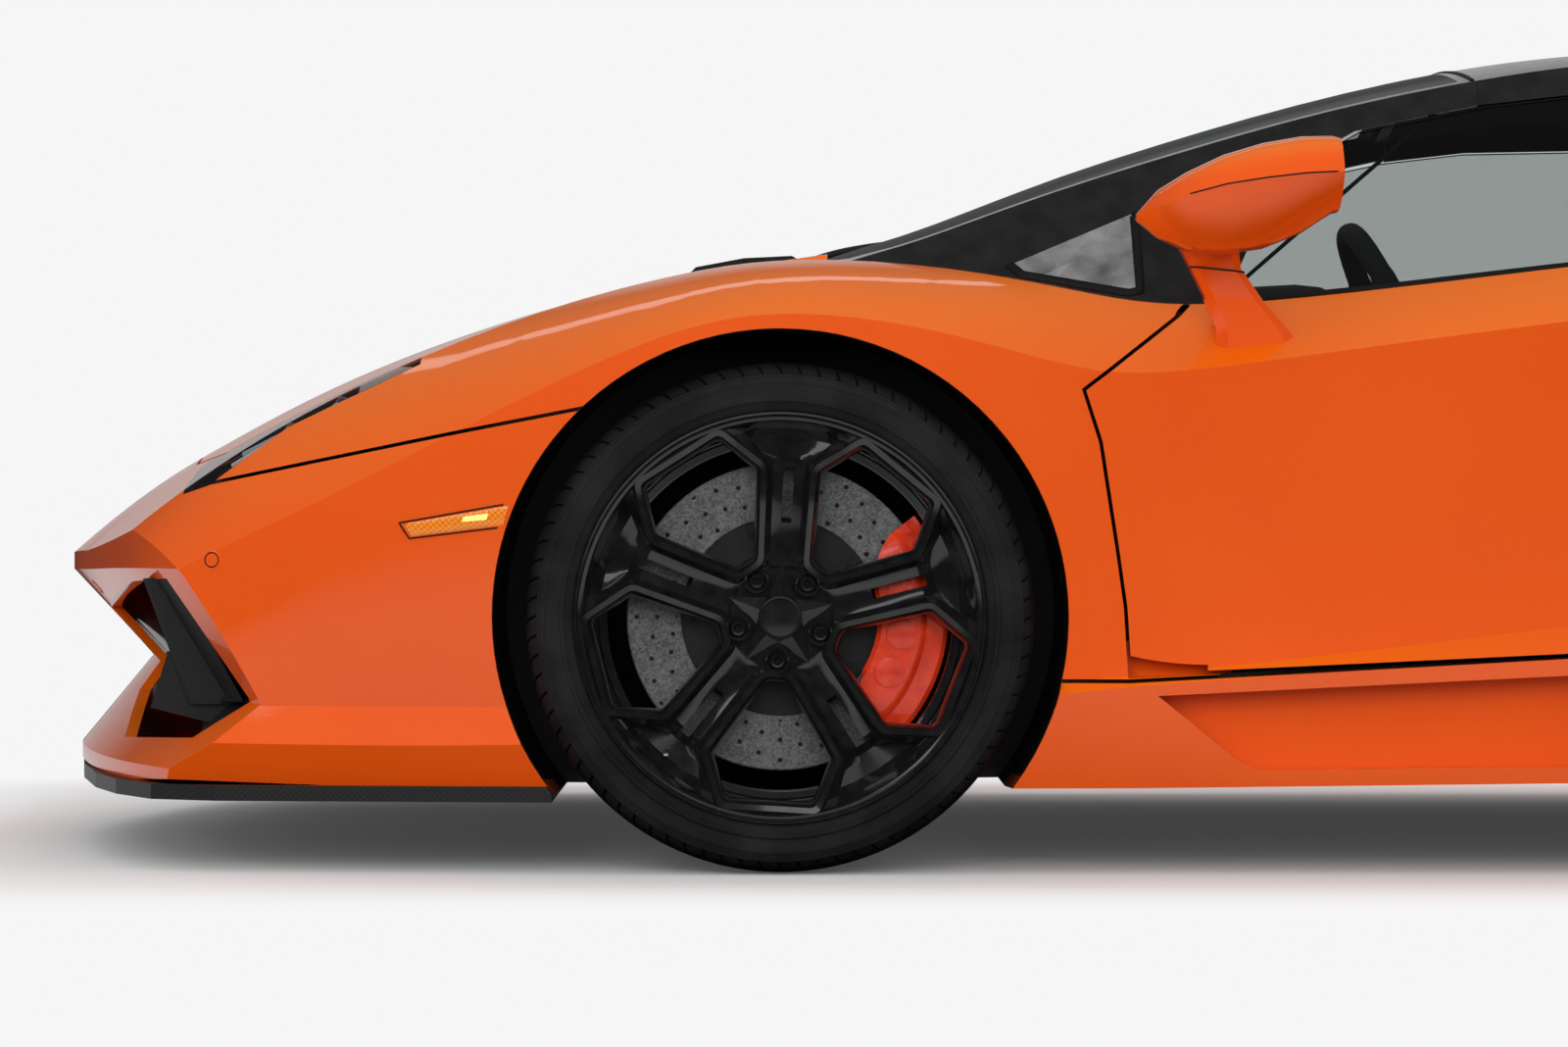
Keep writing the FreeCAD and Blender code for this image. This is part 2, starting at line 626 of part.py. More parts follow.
cowl_zone = top_prism(COWL_SHARES, up(cowl_bottom_share), sky)
cowl_hole = top_prism(COWL_SHARES, up(cowl_bottom_share), sky, size("fit_gap"))
cowl = lower_skin.fuse(upper_skin).common(cowl_zone).cut(bonnet_hole).cut(bonnet_pockets)
place_shape("cowl", largest(cowl, 1))
fender_zone = block(fender_rear_x, along(fender_front_share), 0, far, up(fender_bottom_share), far)
fender_zone = fender_zone.cut(bumper_hole).cut(sill_hole)
fender = lower_skin.common(fender_zone).cut(bonnet_hole).cut(headlamp_hole)
fender = fender.cut(block(-far, far, 0, across(fender_inner_share), -far, up(cabin_bottom_share)))
fender = fender.cut(cabin).cut(cowl_hole)
# The door's top front corner sweeps a small round about its hinge, and the fender stands clear of it
door_sweep = Part.makeCylinder(
    size("door_top_corner_sweep"), far, Vector(size("door_hinge_x"), 0, size("door_hinge_height")), Vector(0, 1, 0))
fender = fender.cut(door_sweep)
fender = largest(fender, 1)
place_shape("front_fenders", Part.makeCompound([fender, other_side(fender)]))

# Sills
recess = side_prism(RECESS_SHARES, size("recess_half_width"), far)
recess_pan = side_prism(RECESS_SHARES, size("recess_half_width") - size("recess_wall"), far, size("recess_wall"))
recess_seat = on_both_sides(side_prism(
    RECESS_SHARES, size("recess_half_width") - size("recess_wall") - size("fit_gap"), far,
    size("recess_wall") + size("fit_gap")))
left_half = block(-far, far, 0, far, -far, far)
sill = lower_skin.common(sill_zone).common(left_half).fuse(body.common(recess_pan)).cut(recess)
sill = largest(sill.removeSplitter(), 1)
place_shape("sills", Part.makeCompound([sill, other_side(sill)]))

# Cabin glass and roof
header_x = along(header_share)
roof_rear_x = along(roof_rear_share)
hoop_rear_x = along(hoop_rear_share)
windscreen_zone = top_prism(WINDSCREEN_SHARES, up(cabin_bottom_share), sky)
windscreen_hole = top_prism(WINDSCREEN_SHARES, up(cabin_bottom_share), sky, size("fit_gap"))
front_half = block(header_x, far, -far, far, -far, far)
above_door = body.translated(Vector(0, 0, shut_gap)).common(door_hole)
frame = upper_skin.common(front_half).cut(windscreen_hole).cut(quarter_hole).cut(cowl_hole).cut(above_door)
frame = frame.cut(door_glass_hole.cut(block(along(pillar_foot_share), far, -far, far, -far, far)))
place_shape("windscreen_frame", largest(frame, 1))
glass = cabin.cut(cabin_solid(size("glass"))).common(windscreen_zone).cut(body).common(front_half)
place_shape("windscreen", largest(glass, 1))
quarter = upper_skin.common(on_both_sides(side_prism(QUARTER_GLASS_SHARES, across(cabin_inner_share), far)))
place_shape("quarter_windows", largest(quarter, 2))
fit_gap = size("fit_gap")
roof = upper_skin.common(block(roof_rear_x, header_x - fit_gap, fit_gap, far, up(cabin_bottom_share), far))
roof = largest(roof.cut(door_glass_hole), 1)
place_shape("roof_panels", Part.makeCompound([roof, other_side(roof)]))
hoop = upper_skin.common(block(hoop_rear_x, roof_rear_x - fit_gap, -far, far, up(cabin_bottom_share), far))
hoop = hoop.cut(door_glass_hole)
place_shape("roll_hoop", largest(hoop.cut(door_hole), 1))

lift = size("glass_lift")
lifted = cabin_solid(-lift).cut(cabin_solid(size("glass") - lift)).cut(body)
pane = lifted.common(side_prism(DOOR_GLASS_SHARES, across(door_glass_inner_share), far))
pane = largest(pane, 1)
place_shape("door_glass_left", pane)
place_shape("door_glass_right", other_side(pane))

# Doors
# The lower front corner is rounded about the hinge, so that it clears the sill as the door swings up
hinge_x = size("door_hinge_x")
hinge_z = size("door_hinge_height")
swing = Part.makeCylinder(size("door_swing_radius"), far, Vector(hinge_x, 0, hinge_z), Vector(0, 1, 0))
corner = block(hinge_x, far, 0, far, -far, up(door_corner_top_share)).cut(swing)
hinge_place = Vector(size("door_hinge_x"), door_inner, size("door_hinge_height"))
hinge_axis = Vector(-size("door_hinge_toe"), 1, -size("door_hinge_lean")).normalize()
bore_reach = hinge_axis * 4 * size("door_hinge_radius")
door_bore = rod(hinge_place - bore_reach, hinge_place + bore_reach, size("door_hinge_radius") + size("pin_fit"))
door = body.common(side_prism(DOOR_SHARES, door_inner, far)).cut(cabin_inside).cut(corner).cut(door_bore)
door = largest(door, 1)
place_shape("door_left", door)
place_shape("door_right", other_side(door))

# Rear bodywork and floor
REAR_VENT_SHARES = [(0.215, 0.440), (0.790, 0.462), (0.838, 0.405), (0.720, 0.292), (0.330, 0.284)]
DIFFUSER_SHARES = [(2.600, 0.105), (2.600, 0.142), (2.940, 0.252), (3.100, 0.252), (3.100, 0.105)]
diffuser_half = across(under_car_edge_share)
diffuser_hole = side_prism(DIFFUSER_SHARES, -diffuser_half, diffuser_half)
place_shape("underbody", largest(lower_skin.common(floor_zone).cut(diffuser_hole), 1))
rear_vents = on_both_sides(front_prism(REAR_VENT_SHARES, -far, along(vent_front_share)))
rear_skin = lower_skin.fuse(upper_skin)
rear_zone = block(-far, quarter_front_x, -far, far, -far, far)
lamp_hole = on_both_sides(block(-far, along(lamp_front_share), across(lamp_inner_share), across(lamp_outer_share),
                                up(lamp_bottom_share), up(lamp_top_share)))
cover_pins, cover_lugs, cover_pockets = lid_hinges("cover", -1)
wing_pins, wing_lugs, wing_pockets = lid_hinges("wing", -1)
side_intake = on_both_sides(side_prism(SIDE_INTAKE_SHARES, size("intake_half_width"), far))
exhaust_height = up(exhaust_height_share)
exhaust_start = Vector(along(exhaust_front_share), 0, exhaust_height)
exhaust_hole = rod(exhaust_start, exhaust_start - Vector(far, 0, 0), size("exhaust_radius") + fit_gap)
quarters = rear_skin.common(block(-far, hoop_rear_x - fit_gap, 0, far, up(quarter_bottom_share), far))
quarters = quarters.cut(cover_hole).cut(wing_hole).cut(cover_pockets).cut(wing_pockets)
quarters = quarters.cut(side_intake).cut(recess_seat).cut(side_prism(REAR_BUMPER_SHARES, -far, far, shut_gap))
quarters = quarters.cut(sill_hole).cut(floor_zone).cut(door_hole).cut(door_glass_hole)
quarters = largest(quarters, 1)
place_shape("rear_quarters", Part.makeCompound([quarters, other_side(quarters)]))
cover = rear_skin.common(top_prism(ENGINE_COVER_SHARES, up(lid_bottom_share), sky))
place_shape("engine_cover", largest(cover, 1).fuse(cover_lugs).removeSplitter())
wing = rear_skin.common(top_prism(REAR_WING_SHARES, up(lid_bottom_share), sky))
place_shape("rear_wing", largest(wing, 1).fuse(wing_lugs).removeSplitter())
tail = rear_skin.common(side_prism(REAR_BUMPER_SHARES, -far, far)).cut(wing_hole).cut(floor_zone).cut(lamp_hole)
tail = tail.cut(exhaust_hole).cut(rear_vents).cut(diffuser_hole)
place_shape("rear_bumper", largest(tail, 1))
tail_lamp = rear_skin.common(lamp_hole).common(side_prism(REAR_BUMPER_SHARES, -far, far)).cut(wing_hole)
place_shape("tail_lamps", largest(tail_lamp, 2))

# Tub and the structures carrying both axles
dropped = body_core.common(body_core.translated(Vector(0, 0, -size("lid_drop"))))
cavity = block(size("bulkhead_front"), size("dash_wall"), -size("cabin_half_width"), size("cabin_half_width"),
               size("tub_sill_height"), far)
seat_well_half = size("seat_half_track") + size("seat_width") / 2 + shut_gap
seat_well = block(size("bulkhead_front"), size("dash_wall"), -seat_well_half, seat_well_half,
                  size("floor_height"), far)
foot_half = size("front_well_half_width") - size("footwell_wall")
footwell = block(size("bulkhead_front"), size("toe_wall"), -foot_half, foot_half, size("floor_height"), far)
toe_limit = along(toe_limit_share)
tub = dropped.common(block(size("bulkhead_rear"), toe_limit, -far, far, -far, far))
tub = tub.cut(cavity).cut(seat_well).cut(footwell).cut(tub_door_hole).cut(front_wells).cut(recess_seat)
place_shape("tub", largest(tub, 1))
nose_x = along(structure_front_share)
trunk_half = across(trunk_edge_share)
trunk = block(along(trunk_rear_share), along(trunk_front_share), -trunk_half, trunk_half, up(trunk_bottom_share), far)
front_structure = dropped.common(block(toe_limit, nose_x, -far, far, -far, far)).cut(trunk).cut(front_wells)
place_shape("front_structure", largest(front_structure, 1))
bay_half = across(bay_edge_share)
bay = block(along(bay_rear_share), along(bay_front_share), -bay_half, bay_half, up(bay_bottom_share), far)
rear_structure = dropped.common(block(along(structure_rear_share), size("bulkhead_rear"), -far, far, -far, far))
rear_structure = rear_structure.cut(bay).cut(rear_wells).cut(tub_door_hole).cut(recess_seat).cut(side_intake)
rear_structure = rear_structure.cut(exhaust_hole).cut(diffuser_hole).cut(cover_pockets).cut(wing_pockets)
place_shape("rear_structure", largest(rear_structure, 1))


# Pieces drawn in outlines bound to the sizes


def value(expression):
    return float(sheet.evalExpression(expression))


def bound_sketch(owner, role, name, corners):
    """A closed outline of straight lines whose corners follow the sizes."""
    sketch = owner.newObject("Sketcher::SketchObject", name)
    plane = [feature for feature in owner.Origin.OriginFeatures if feature.Role == role][0]
    sketch.AttachmentSupport = (plane, [""])
    sketch.MapMode = "FlatFace"
    places = [Vector(value(first), value(second), 0) for first, second in corners]
    for start, end in zip(places, places[1:] + places[:1]):
        sketch.addGeometry(Part.LineSegment(start, end), False)
    for line in range(len(corners)):
        sketch.addConstraint(Sketcher.Constraint("Coincident", line, 2, (line + 1) % len(corners), 1))
    for line, (place, expressions) in enumerate(zip(places, corners)):
        for kind, distance, expression, axis in (
                ("DistanceX", place.x, expressions[0], -2), ("DistanceY", place.y, expressions[1], -1)):
            if abs(distance) < size("fit_gap"):
                sketch.addConstraint(Sketcher.Constraint("PointOnObject", line, 1, axis))
                continue
            rule = sketch.addConstraint(Sketcher.Constraint(kind, -1, 1, line, 1, distance))
            sketch.setExpression("Constraints[%d]" % rule, expression)
    return sketch


def turned(owner, sketch, name):
    """Revolves an outline on the body's XY plane about the body's Y axis."""
    feature = owner.newObject("PartDesign::Revolution", name)
    feature.Profile = sketch
    feature.ReferenceAxis = (sketch, ["V_Axis"])
    feature.Angle = 360
    sketch.Visibility = False
    return feature


AXLE_X = {
    "front": "(Sizes.wheelbase + Sizes.rear_overhang - Sizes.front_overhang) / 2",
    "rear": "(Sizes.rear_overhang - Sizes.front_overhang - Sizes.wheelbase) / 2",
}


def wheel_place(owner, axle):
    owner.setExpression("Placement.Base.x", AXLE_X[axle])
    owner.setExpression("Placement.Base.y", "Sizes.%s_half_track" % axle)
    owner.setExpression("Placement.Base.z", "Sizes.%s_tyre_radius" % axle)


def along_rule(share):
    """A place along the car as a rule on the sheet."""
    if share < 1:
        return "%s + %.4f * Sizes.front_overhang" % (AXLE_X["front"], 1 - share)
    if share < 2:
        return "%s - %.4f * Sizes.wheelbase" % (AXLE_X["front"], share - 1)
    return "%s - %.4f * Sizes.rear_overhang" % (AXLE_X["rear"], share - 2)


def up_rule(share):
    return "%.4f * Sizes.roof_height" % share


def side_rules(corners):
    """Corners of a side view as rules. A corner may hold a rule of its own already."""
    rules = []
    for place, height in corners:
        place = place if isinstance(place, str) else along_rule(place)
        height = height if isinstance(height, str) else up_rule(height)
        rules.append((place, height))
    return rules


def new_body(label, written=True):
    owner = doc.addObject("PartDesign::Body", label)
    owner.Label = label
    if written:
        pieces.append(owner)
    return owner


def padded(owner, corners, width):
    """Carries a side view out to both sides of its plane."""
    pad = owner.newObject("PartDesign::Pad", owner.Label + "_pad")
    pad.Profile = bound_sketch(owner, "XZ_Plane", owner.Label + "_outline", side_rules(corners))
    pad.Midplane = True
    pad.setExpression("Length", width)
    return owner


BASE = {"x": "Placement.Base.x", "y": "Placement.Base.y", "z": "Placement.Base.z"}


def primitive(kind, name, turn=Rotation(), **rules):
    """A plain solid whose sizes and place follow rules on the sheet."""
    item = doc.addObject("Part::" + kind, name)
    item.Placement = Placement(Vector(), turn)
    for word, rule in rules.items():
        item.setExpression(BASE.get(word, word), rule)
    return item


def joined(label, shapes, written=True):
    item = doc.addObject("Part::MultiFuse", label)
    item.Label = label
    item.Shapes = shapes
    item.Refine = True
    if written:
        pieces.append(item)
    return item


def pair(label, source):
    """A piece and its mirror image across the car as one document object."""
    image = doc.addObject("Part::Mirroring", label + "_image")
    image.Source = source
    image.Normal = Vector(0, 1, 0)
    both = doc.addObject("Part::Compound", label)
    both.Label = label
    both.Links = [source, image]
    pieces.append(both)
    return both


def mirrored_piece(source, label):
    piece = doc.addObject("Part::Mirroring", label)
    piece.Label = label
    piece.Source = source
    piece.Normal = Vector(0, 1, 0)
    pieces.append(piece)
    return piece


def tyre(label, axle):
    owner = new_body(label)
    outer = "Sizes.%s_tyre_radius" % axle
    half = "Sizes.%s_tyre_half_width" % axle
    flange = "Sizes.%s_rim_radius" % axle
    wall = "(%s - %s)" % (outer, flange)
    half_outline = [
        ("%s - Sizes.tyre_seat_depth" % flange, "%s * %s" % (bead_share, half)),
        (flange, "%s * %s" % (bead_share, half)),
        ("%s + 0.06 * %s" % (flange, wall), "0.94 * %s" % half),
        ("%s + 0.40 * %s" % (flange, wall), half),
        ("%s + 0.76 * %s" % (flange, wall), "0.96 * %s" % half),
        ("%s + 0.95 * %s" % (flange, wall), "0.86 * %s" % half),
        (outer, "0.70 * %s" % half),
    ]
    inner_half = [(radius, "-" + place) for radius, place in reversed(half_outline)]
    sketch = bound_sketch(owner, "XY_Plane", label + "_outline", half_outline + inner_half)
    turned(owner, sketch, label + "_turned")
    wheel_place(owner, axle)
    return owner


def rim(label, axle):
    owner = new_body(label)
    half = "Sizes.%s_tyre_half_width" % axle
    flange = "Sizes.%s_rim_radius" % axle
    seat = "(%s - Sizes.tyre_seat_depth)" % flange
    inside = "(%s - Sizes.rim_wall)" % seat
    bead = "%s * %s" % (bead_share, half)
    lip = "(%s + Sizes.flange_width)" % bead
    barrel = [
        (flange, bead), (flange, lip), (inside, lip), (inside, "-%s" % lip), (flange, "-%s" % lip),
        (flange, "-%s" % bead), (seat, "-%s" % bead), (seat, bead),
    ]
    turned(owner, bound_sketch(owner, "XY_Plane", label + "_barrel_outline", barrel), label + "_barrel")
    face = [
        ("0", "%s - Sizes.dish" % bead),
        ("0.26 * %s" % inside, "%s - Sizes.dish" % bead),
        ("0.62 * %s" % inside, "%s - 0.3 * Sizes.dish" % bead),
        ("%s + Sizes.rim_wall / 2" % inside, "%s - 0.1 * Sizes.dish" % bead),
        ("%s + Sizes.rim_wall / 2" % inside, "%s - 0.1 * Sizes.dish - Sizes.spoke_depth" % bead),
        ("0.62 * %s" % inside, "%s - 0.3 * Sizes.dish - Sizes.spoke_depth" % bead),
        ("0.26 * %s" % inside, "%s - Sizes.dish - Sizes.spoke_depth" % bead),
        ("0", "%s - Sizes.dish - Sizes.spoke_depth" % bead),
    ]
    turned(owner, bound_sketch(owner, "XY_Plane", label + "_face_outline", face), label + "_face")
    windows = []
    for name, corners in (("window", WINDOW_CORNERS), ("slot", SLOT_CORNERS)):
        outline = []
        for radius, turn in corners:
            angle = math.radians(turn + face_turn)
            outline.append(("%.3f * %s" % (radius * math.sin(angle), inside),
                            "%.3f * %s" % (radius * math.cos(angle), inside)))
        sketch = bound_sketch(owner, "XZ_Plane", label + "_" + name + "_outline", outline)
        pocket = owner.newObject("PartDesign::Pocket", label + "_" + name)
        pocket.Profile = sketch
        pocket.Type = "ThroughAll"
        pocket.Midplane = True
        sketch.Visibility = False
        pattern = owner.newObject("PartDesign::PolarPattern", label + "_" + name + "s")
        pattern.Originals = [pocket]
        pattern.Axis = ([f for f in owner.Origin.OriginFeatures if f.Role == "Y_Axis"][0], [""])
        pattern.Angle = 360
        pattern.Occurrences = 5
        owner.Tip = pattern
        windows.append(pattern)
    wheel_place(owner, axle)
    return owner


# One of the five big windows and one of the five slots of the wheel's face,
# as the share of the inside radius and the turn in degrees from the window's axis.
# The wheels stand with one window at the bottom, a little towards the nose.
WINDOW_CORNERS = [
    (0.33, -9.5), (0.785, -24.3), (0.985, -14), (0.985, 14), (0.785, 24.3), (0.33, 9.5),
]
SLOT_CORNERS = [(0.53, 34.6), (0.80, 33.0), (0.84, 36), (0.80, 39.0), (0.53, 37.4)]


def disc(label, axle):
    owner = new_body(label)
    outer_face = "Sizes.disc_offset + Sizes.disc_thickness / 2"
    hub_face = "%s * Sizes.%s_tyre_half_width - Sizes.dish - Sizes.spoke_depth" % (bead_share, axle)
    bore = "Sizes.spindle_radius + Sizes.turning_fit"
    outline = [
        ("Sizes.disc_radius", "Sizes.disc_offset - Sizes.disc_thickness / 2"),
        ("Sizes.disc_radius", outer_face),
        ("Sizes.disc_bore_radius", outer_face),
        ("Sizes.hat_radius", outer_face),
        ("Sizes.hat_radius", hub_face),
        (bore, hub_face),
        (bore, "%s - Sizes.hat_wall" % hub_face),
        ("Sizes.hat_radius - Sizes.hat_wall", "%s - Sizes.hat_wall" % hub_face),
        ("Sizes.hat_radius - Sizes.hat_wall", "%s - Sizes.hat_wall" % outer_face),
        ("Sizes.disc_bore_radius", "%s - Sizes.hat_wall" % outer_face),
        ("Sizes.disc_bore_radius", "Sizes.disc_offset - Sizes.disc_thickness / 2"),
    ]
    turned(owner, bound_sketch(owner, "XY_Plane", label + "_outline", outline), label + "_turned")
    wheel_place(owner, axle)
    return owner


for axle in ("front", "rear"):
    mirrored_piece(tyre("tyre_%s_left" % axle, axle), "tyre_%s_right" % axle)
    mirrored_piece(rim("rim_%s_left" % axle, axle), "rim_%s_right" % axle)
    mirrored_piece(disc("disc_%s_left" % axle, axle), "disc_%s_right" % axle)
doc.recompute()


# Brakes, uprights and suspension arms
def caliper(label, axle, written=True):
    """A bridge over the disc, turned through part of a circle on the rear side of the axle."""
    owner = new_body(label, written)
    inner_face = "Sizes.disc_offset - Sizes.disc_thickness / 2 - Sizes.disc_clearance"
    outer_face = "Sizes.disc_offset + Sizes.disc_thickness / 2 + Sizes.disc_clearance"
    foot = "Sizes.caliper_foot_radius"
    bridge = "Sizes.disc_radius + Sizes.disc_clearance"
    low = "%s - Sizes.caliper_inner_wall" % inner_face
    high = "%s + Sizes.caliper_outer_wall" % outer_face
    outline = [
        (foot, low), ("Sizes.caliper_radius", low), ("Sizes.caliper_radius", high), (foot, high),
        (foot, outer_face), (bridge, outer_face), (bridge, inner_face), (foot, inner_face),
    ]
    sketch = bound_sketch(owner, "XY_Plane", label + "_outline", outline)
    feature = turned(owner, sketch, label + "_turned")
    feature.Midplane = True
    feature.setExpression("Angle", "Sizes.caliper_angle")
    owner.Placement = Placement(Vector(), Rotation(Vector(0, 1, 0), 180))
    wheel_place(owner, axle)
    return owner


TO_THE_LEFT = Rotation(Vector(1, 0, 0), -90)
KINGPIN_Y = {
    "front": "Sizes.kingpin_half_track",
    "rear": "(Sizes.kingpin_half_track + Sizes.rear_half_track - Sizes.front_half_track)",
}


def knuckle(label, axle, written=True):
    """A carrier with its spindle, its kingpin and the foot that holds the caliper."""
    x = AXLE_X[axle]
    height = "Sizes.%s_tyre_radius" % axle
    disc_face = "Sizes.%s_half_track + Sizes.disc_offset - Sizes.disc_thickness / 2" % axle
    low = "(%s - Sizes.arm_radius - Sizes.upright_depth)" % disc_face
    hub_face = "(Sizes.%s_half_track + %s * Sizes.%s_tyre_half_width" % (axle, bead_share, axle)
    hub_face += " - Sizes.dish - Sizes.spoke_depth)"
    half_length = "Sizes.upright_half_length"
    carrier = primitive(
        "Box", label + "_carrier", Length="2 * " + half_length, Width="Sizes.upright_depth",
        Height="2 * Sizes.upright_half_height", x="%s - %s" % (x, half_length), y=low,
        z=height + " - Sizes.upright_half_height")
    spindle = primitive(
        "Cylinder", label + "_spindle", TO_THE_LEFT, Radius="Sizes.spindle_radius",
        Height="%s - Sizes.turning_fit - %s" % (hub_face, low), x=x, y=low, z=height)
    pin = primitive(
        "Cylinder", label + "_kingpin", Radius="Sizes.kingpin_radius", Height="2 * Sizes.kingpin_height",
        x=x, y=KINGPIN_Y[axle], z=height + " - Sizes.kingpin_height")
    foot = primitive(
        "Box", label + "_caliper_foot", Length="Sizes.caliper_foot_radius + %s / 2" % half_length,
        Width="Sizes.arm_radius", Height="2 * " + half_length,
        x="%s - Sizes.caliper_foot_radius - %s" % (x, half_length),
        y=disc_face + " - Sizes.disc_clearance - Sizes.caliper_inner_wall - Sizes.arm_radius",
        z="%s - %s" % (height, half_length))
    return joined(label, [carrier, spindle, pin, foot], written)


def arms_shape(axle_x, axle_height, kingpin_y, wall_y):
    eye_height = size("upright_half_height") + size("arm_radius") + size("disc_clearance")
    arms = []
    for turn in (1, -1):
        level = axle_height + turn * eye_height
        radius = size("arm_radius")
        eye_bottom = Vector(axle_x, kingpin_y, level - radius)
        eye = Part.makeCylinder(size("arm_eye_radius"), 2 * radius, eye_bottom)
        hole = Part.makeCylinder(size("kingpin_radius") + size("turning_fit"), 2 * radius, eye_bottom)
        joint = Vector(axle_x, kingpin_y - size("arm_eye_radius"), level)
        joint_start = joint + Vector(0, radius, 0)
        arm = eye
        for side in (1, -1):
            foot = Vector(axle_x + side * size("arm_spread"), wall_y, level)
            arm = arm.fuse(rod(foot, joint_start, radius * 0.8))
        arm = arm.cut(hole)
        arms.append(arm.common(block(-far, far, wall_y, far, -far, far)))
    return arms


mirrored_piece(caliper("caliper_front_left", "front"), "caliper_front_right")
mirrored_piece(knuckle("knuckle_front_left", "front"), "knuckle_front_right")
pair("rear_calipers", caliper("caliper_rear", "rear", False))
rear_upright = knuckle("upright_rear", "rear", False)
doc.recompute()
front_arms = arms_shape(front_axle_x, size("front_tyre_radius"), value(KINGPIN_Y["front"]),
                        size("front_well_half_width"))
rear_arms = arms_shape(rear_axle_x, size("rear_tyre_radius"), value(KINGPIN_Y["rear"]),
                       size("rear_well_half_width"))
fixed = [rear_upright.Shape] + [arm.cut(rear_upright.Shape) for arm in rear_arms]
place_shape("suspension_rear", Part.makeCompound(fixed + [other_side(shape) for shape in fixed]))
place_shape("suspension_front", Part.makeCompound(front_arms + [other_side(arm) for arm in front_arms]))

# Cabin furniture
FLOOR = "Sizes.floor_height + Sizes.fit_gap"
BULKHEAD = "Sizes.bulkhead_front + Sizes.fit_gap"
DASH_WALL = "Sizes.dash_wall - Sizes.fit_gap"
SEAT_SHARES = [
    (1.380, 0.272), (1.386, 0.180), (1.500, FLOOR), (BULKHEAD, FLOOR), (BULKHEAD, 0.700), (1.600, 0.728),
    (1.578, 0.700), (1.535, 0.300), (1.500, 0.262),
]
seat = padded(new_body("seat_left", False), SEAT_SHARES, "Sizes.seat_width")
seat.setExpression("Placement.Base.y", "Sizes.seat_half_track")
pair("seats", seat)
DASH_SHARES = [
    (DASH_WALL, 0.440), (DASH_WALL, 0.650), (1.240, 0.656), (1.282, 0.622), (1.294, 0.560), (1.262, 0.470),
    (1.220, 0.430),
]
dash = padded(new_body("dashboard"), DASH_SHARES, "2 * Sizes.dash_half_width")
CONSOLE_SHARES = [
    (1.220, FLOOR), (1.220, 0.429), (1.262, 0.469), (1.290, 0.420), (1.400, 0.360), (1.560, 0.340),
    (BULKHEAD, 0.340), (BULKHEAD, FLOOR),
]
padded(new_body("centre_console"), CONSOLE_SHARES, "2 * Sizes.seat_half_track - Sizes.seat_width - 2 * Sizes.shut_gap")

# The steering wheel lies in its own plane and is then tilted towards the driver
tilt = math.radians(size("steering_wheel_tilt"))
wheel_axis = Vector(-math.cos(tilt), 0, math.sin(tilt))
to_the_left = Vector(0, 1, 0)
wheel_turn = Rotation(to_the_left, wheel_axis.cross(to_the_left), wheel_axis, "ZXY")
wheel_x = along_rule(steering_wheel_share)
wheel_z = up_rule(steering_wheel_height_share)
grip = "Sizes.steering_wheel_grip"
wheel_parts = [
    primitive("Torus", "steering_wheel_rim", Radius1="Sizes.steering_wheel_radius", Radius2=grip),
    primitive("Cylinder", "steering_wheel_hub", Radius="Sizes.steering_hub_radius", Height="2 * " + grip,
              z="-2 * " + grip),
]
for count, spoke_turn in enumerate((0, 90, 180)):
    lying = Rotation(Vector(0, 0, 1), spoke_turn).multiply(Rotation(to_the_left, 90))
    wheel_parts.append(primitive(
        "Cylinder", "steering_wheel_spoke_%d" % count, lying, Radius="0.6 * " + grip,
        Height="Sizes.steering_wheel_radius", z="-0.4 * " + grip))
steering_wheel = joined("steering_wheel", wheel_parts)
steering_wheel.Placement = Placement(Vector(), wheel_turn)
for word, rule in (("x", wheel_x), ("y", "Sizes.seat_half_track"), ("z", wheel_z)):
    steering_wheel.setExpression(BASE[word], rule)
column_gap = "(2 * %s + Sizes.turning_fit)" % grip
column_rod = primitive(
    "Cylinder", "steering_column_rod", Rotation(Vector(0, 0, 1), wheel_axis * -1), Radius="2 * " + grip,
    Height="0.8 * Sizes.steering_wheel_radius", x="%s + cos(Sizes.steering_wheel_tilt) * %s" % (wheel_x, column_gap),
    y="Sizes.seat_half_track", z="%s - sin(Sizes.steering_wheel_tilt) * %s" % (wheel_z, column_gap))
column = doc.addObject("Part::Cut", "steering_column")
column.Label = "steering_column"
column.Base = column_rod
column.Tool = dash
pieces.append(column)

# Engine, exhaust and diffuser
engine = primitive(
    "Box", "engine_block", Length="0.273 * Sizes.wheelbase", Width="0.6 * Sizes.body_half_width",
    Height="0.43 * Sizes.roof_height", x=along_rule(engine_rear_share), y="-0.3 * Sizes.body_half_width",
    z=up_rule(bay_bottom_share) + " + Sizes.fit_gap")
pieces.append(engine)
exhaust = new_body("exhaust")
pipe_wall = "Sizes.exhaust_radius - Sizes.exhaust_wall"
pipe_end = "0.315 * Sizes.rear_overhang"
baffle = "2 * Sizes.skin"
pipe_outline = [("0", "0"), ("Sizes.exhaust_radius", "0"), ("Sizes.exhaust_radius", pipe_end), (pipe_wall, pipe_end),
                (pipe_wall, baffle), ("0", baffle)]
turned(exhaust, bound_sketch(exhaust, "XY_Plane", "exhaust_outline", pipe_outline), "exhaust_turned")
exhaust.Placement = Placement(Vector(), Rotation(Vector(0, 0, 1), 90))
exhaust.setExpression(BASE["x"], along_rule(exhaust_front_share))
exhaust.setExpression(BASE["z"], up_rule(exhaust_height_share))

place_shape("lid_hinge_pins", Part.makeCompound(
    [pin for group in (bonnet_pins, cover_pins, wing_pins) for pin in group.Solids]))

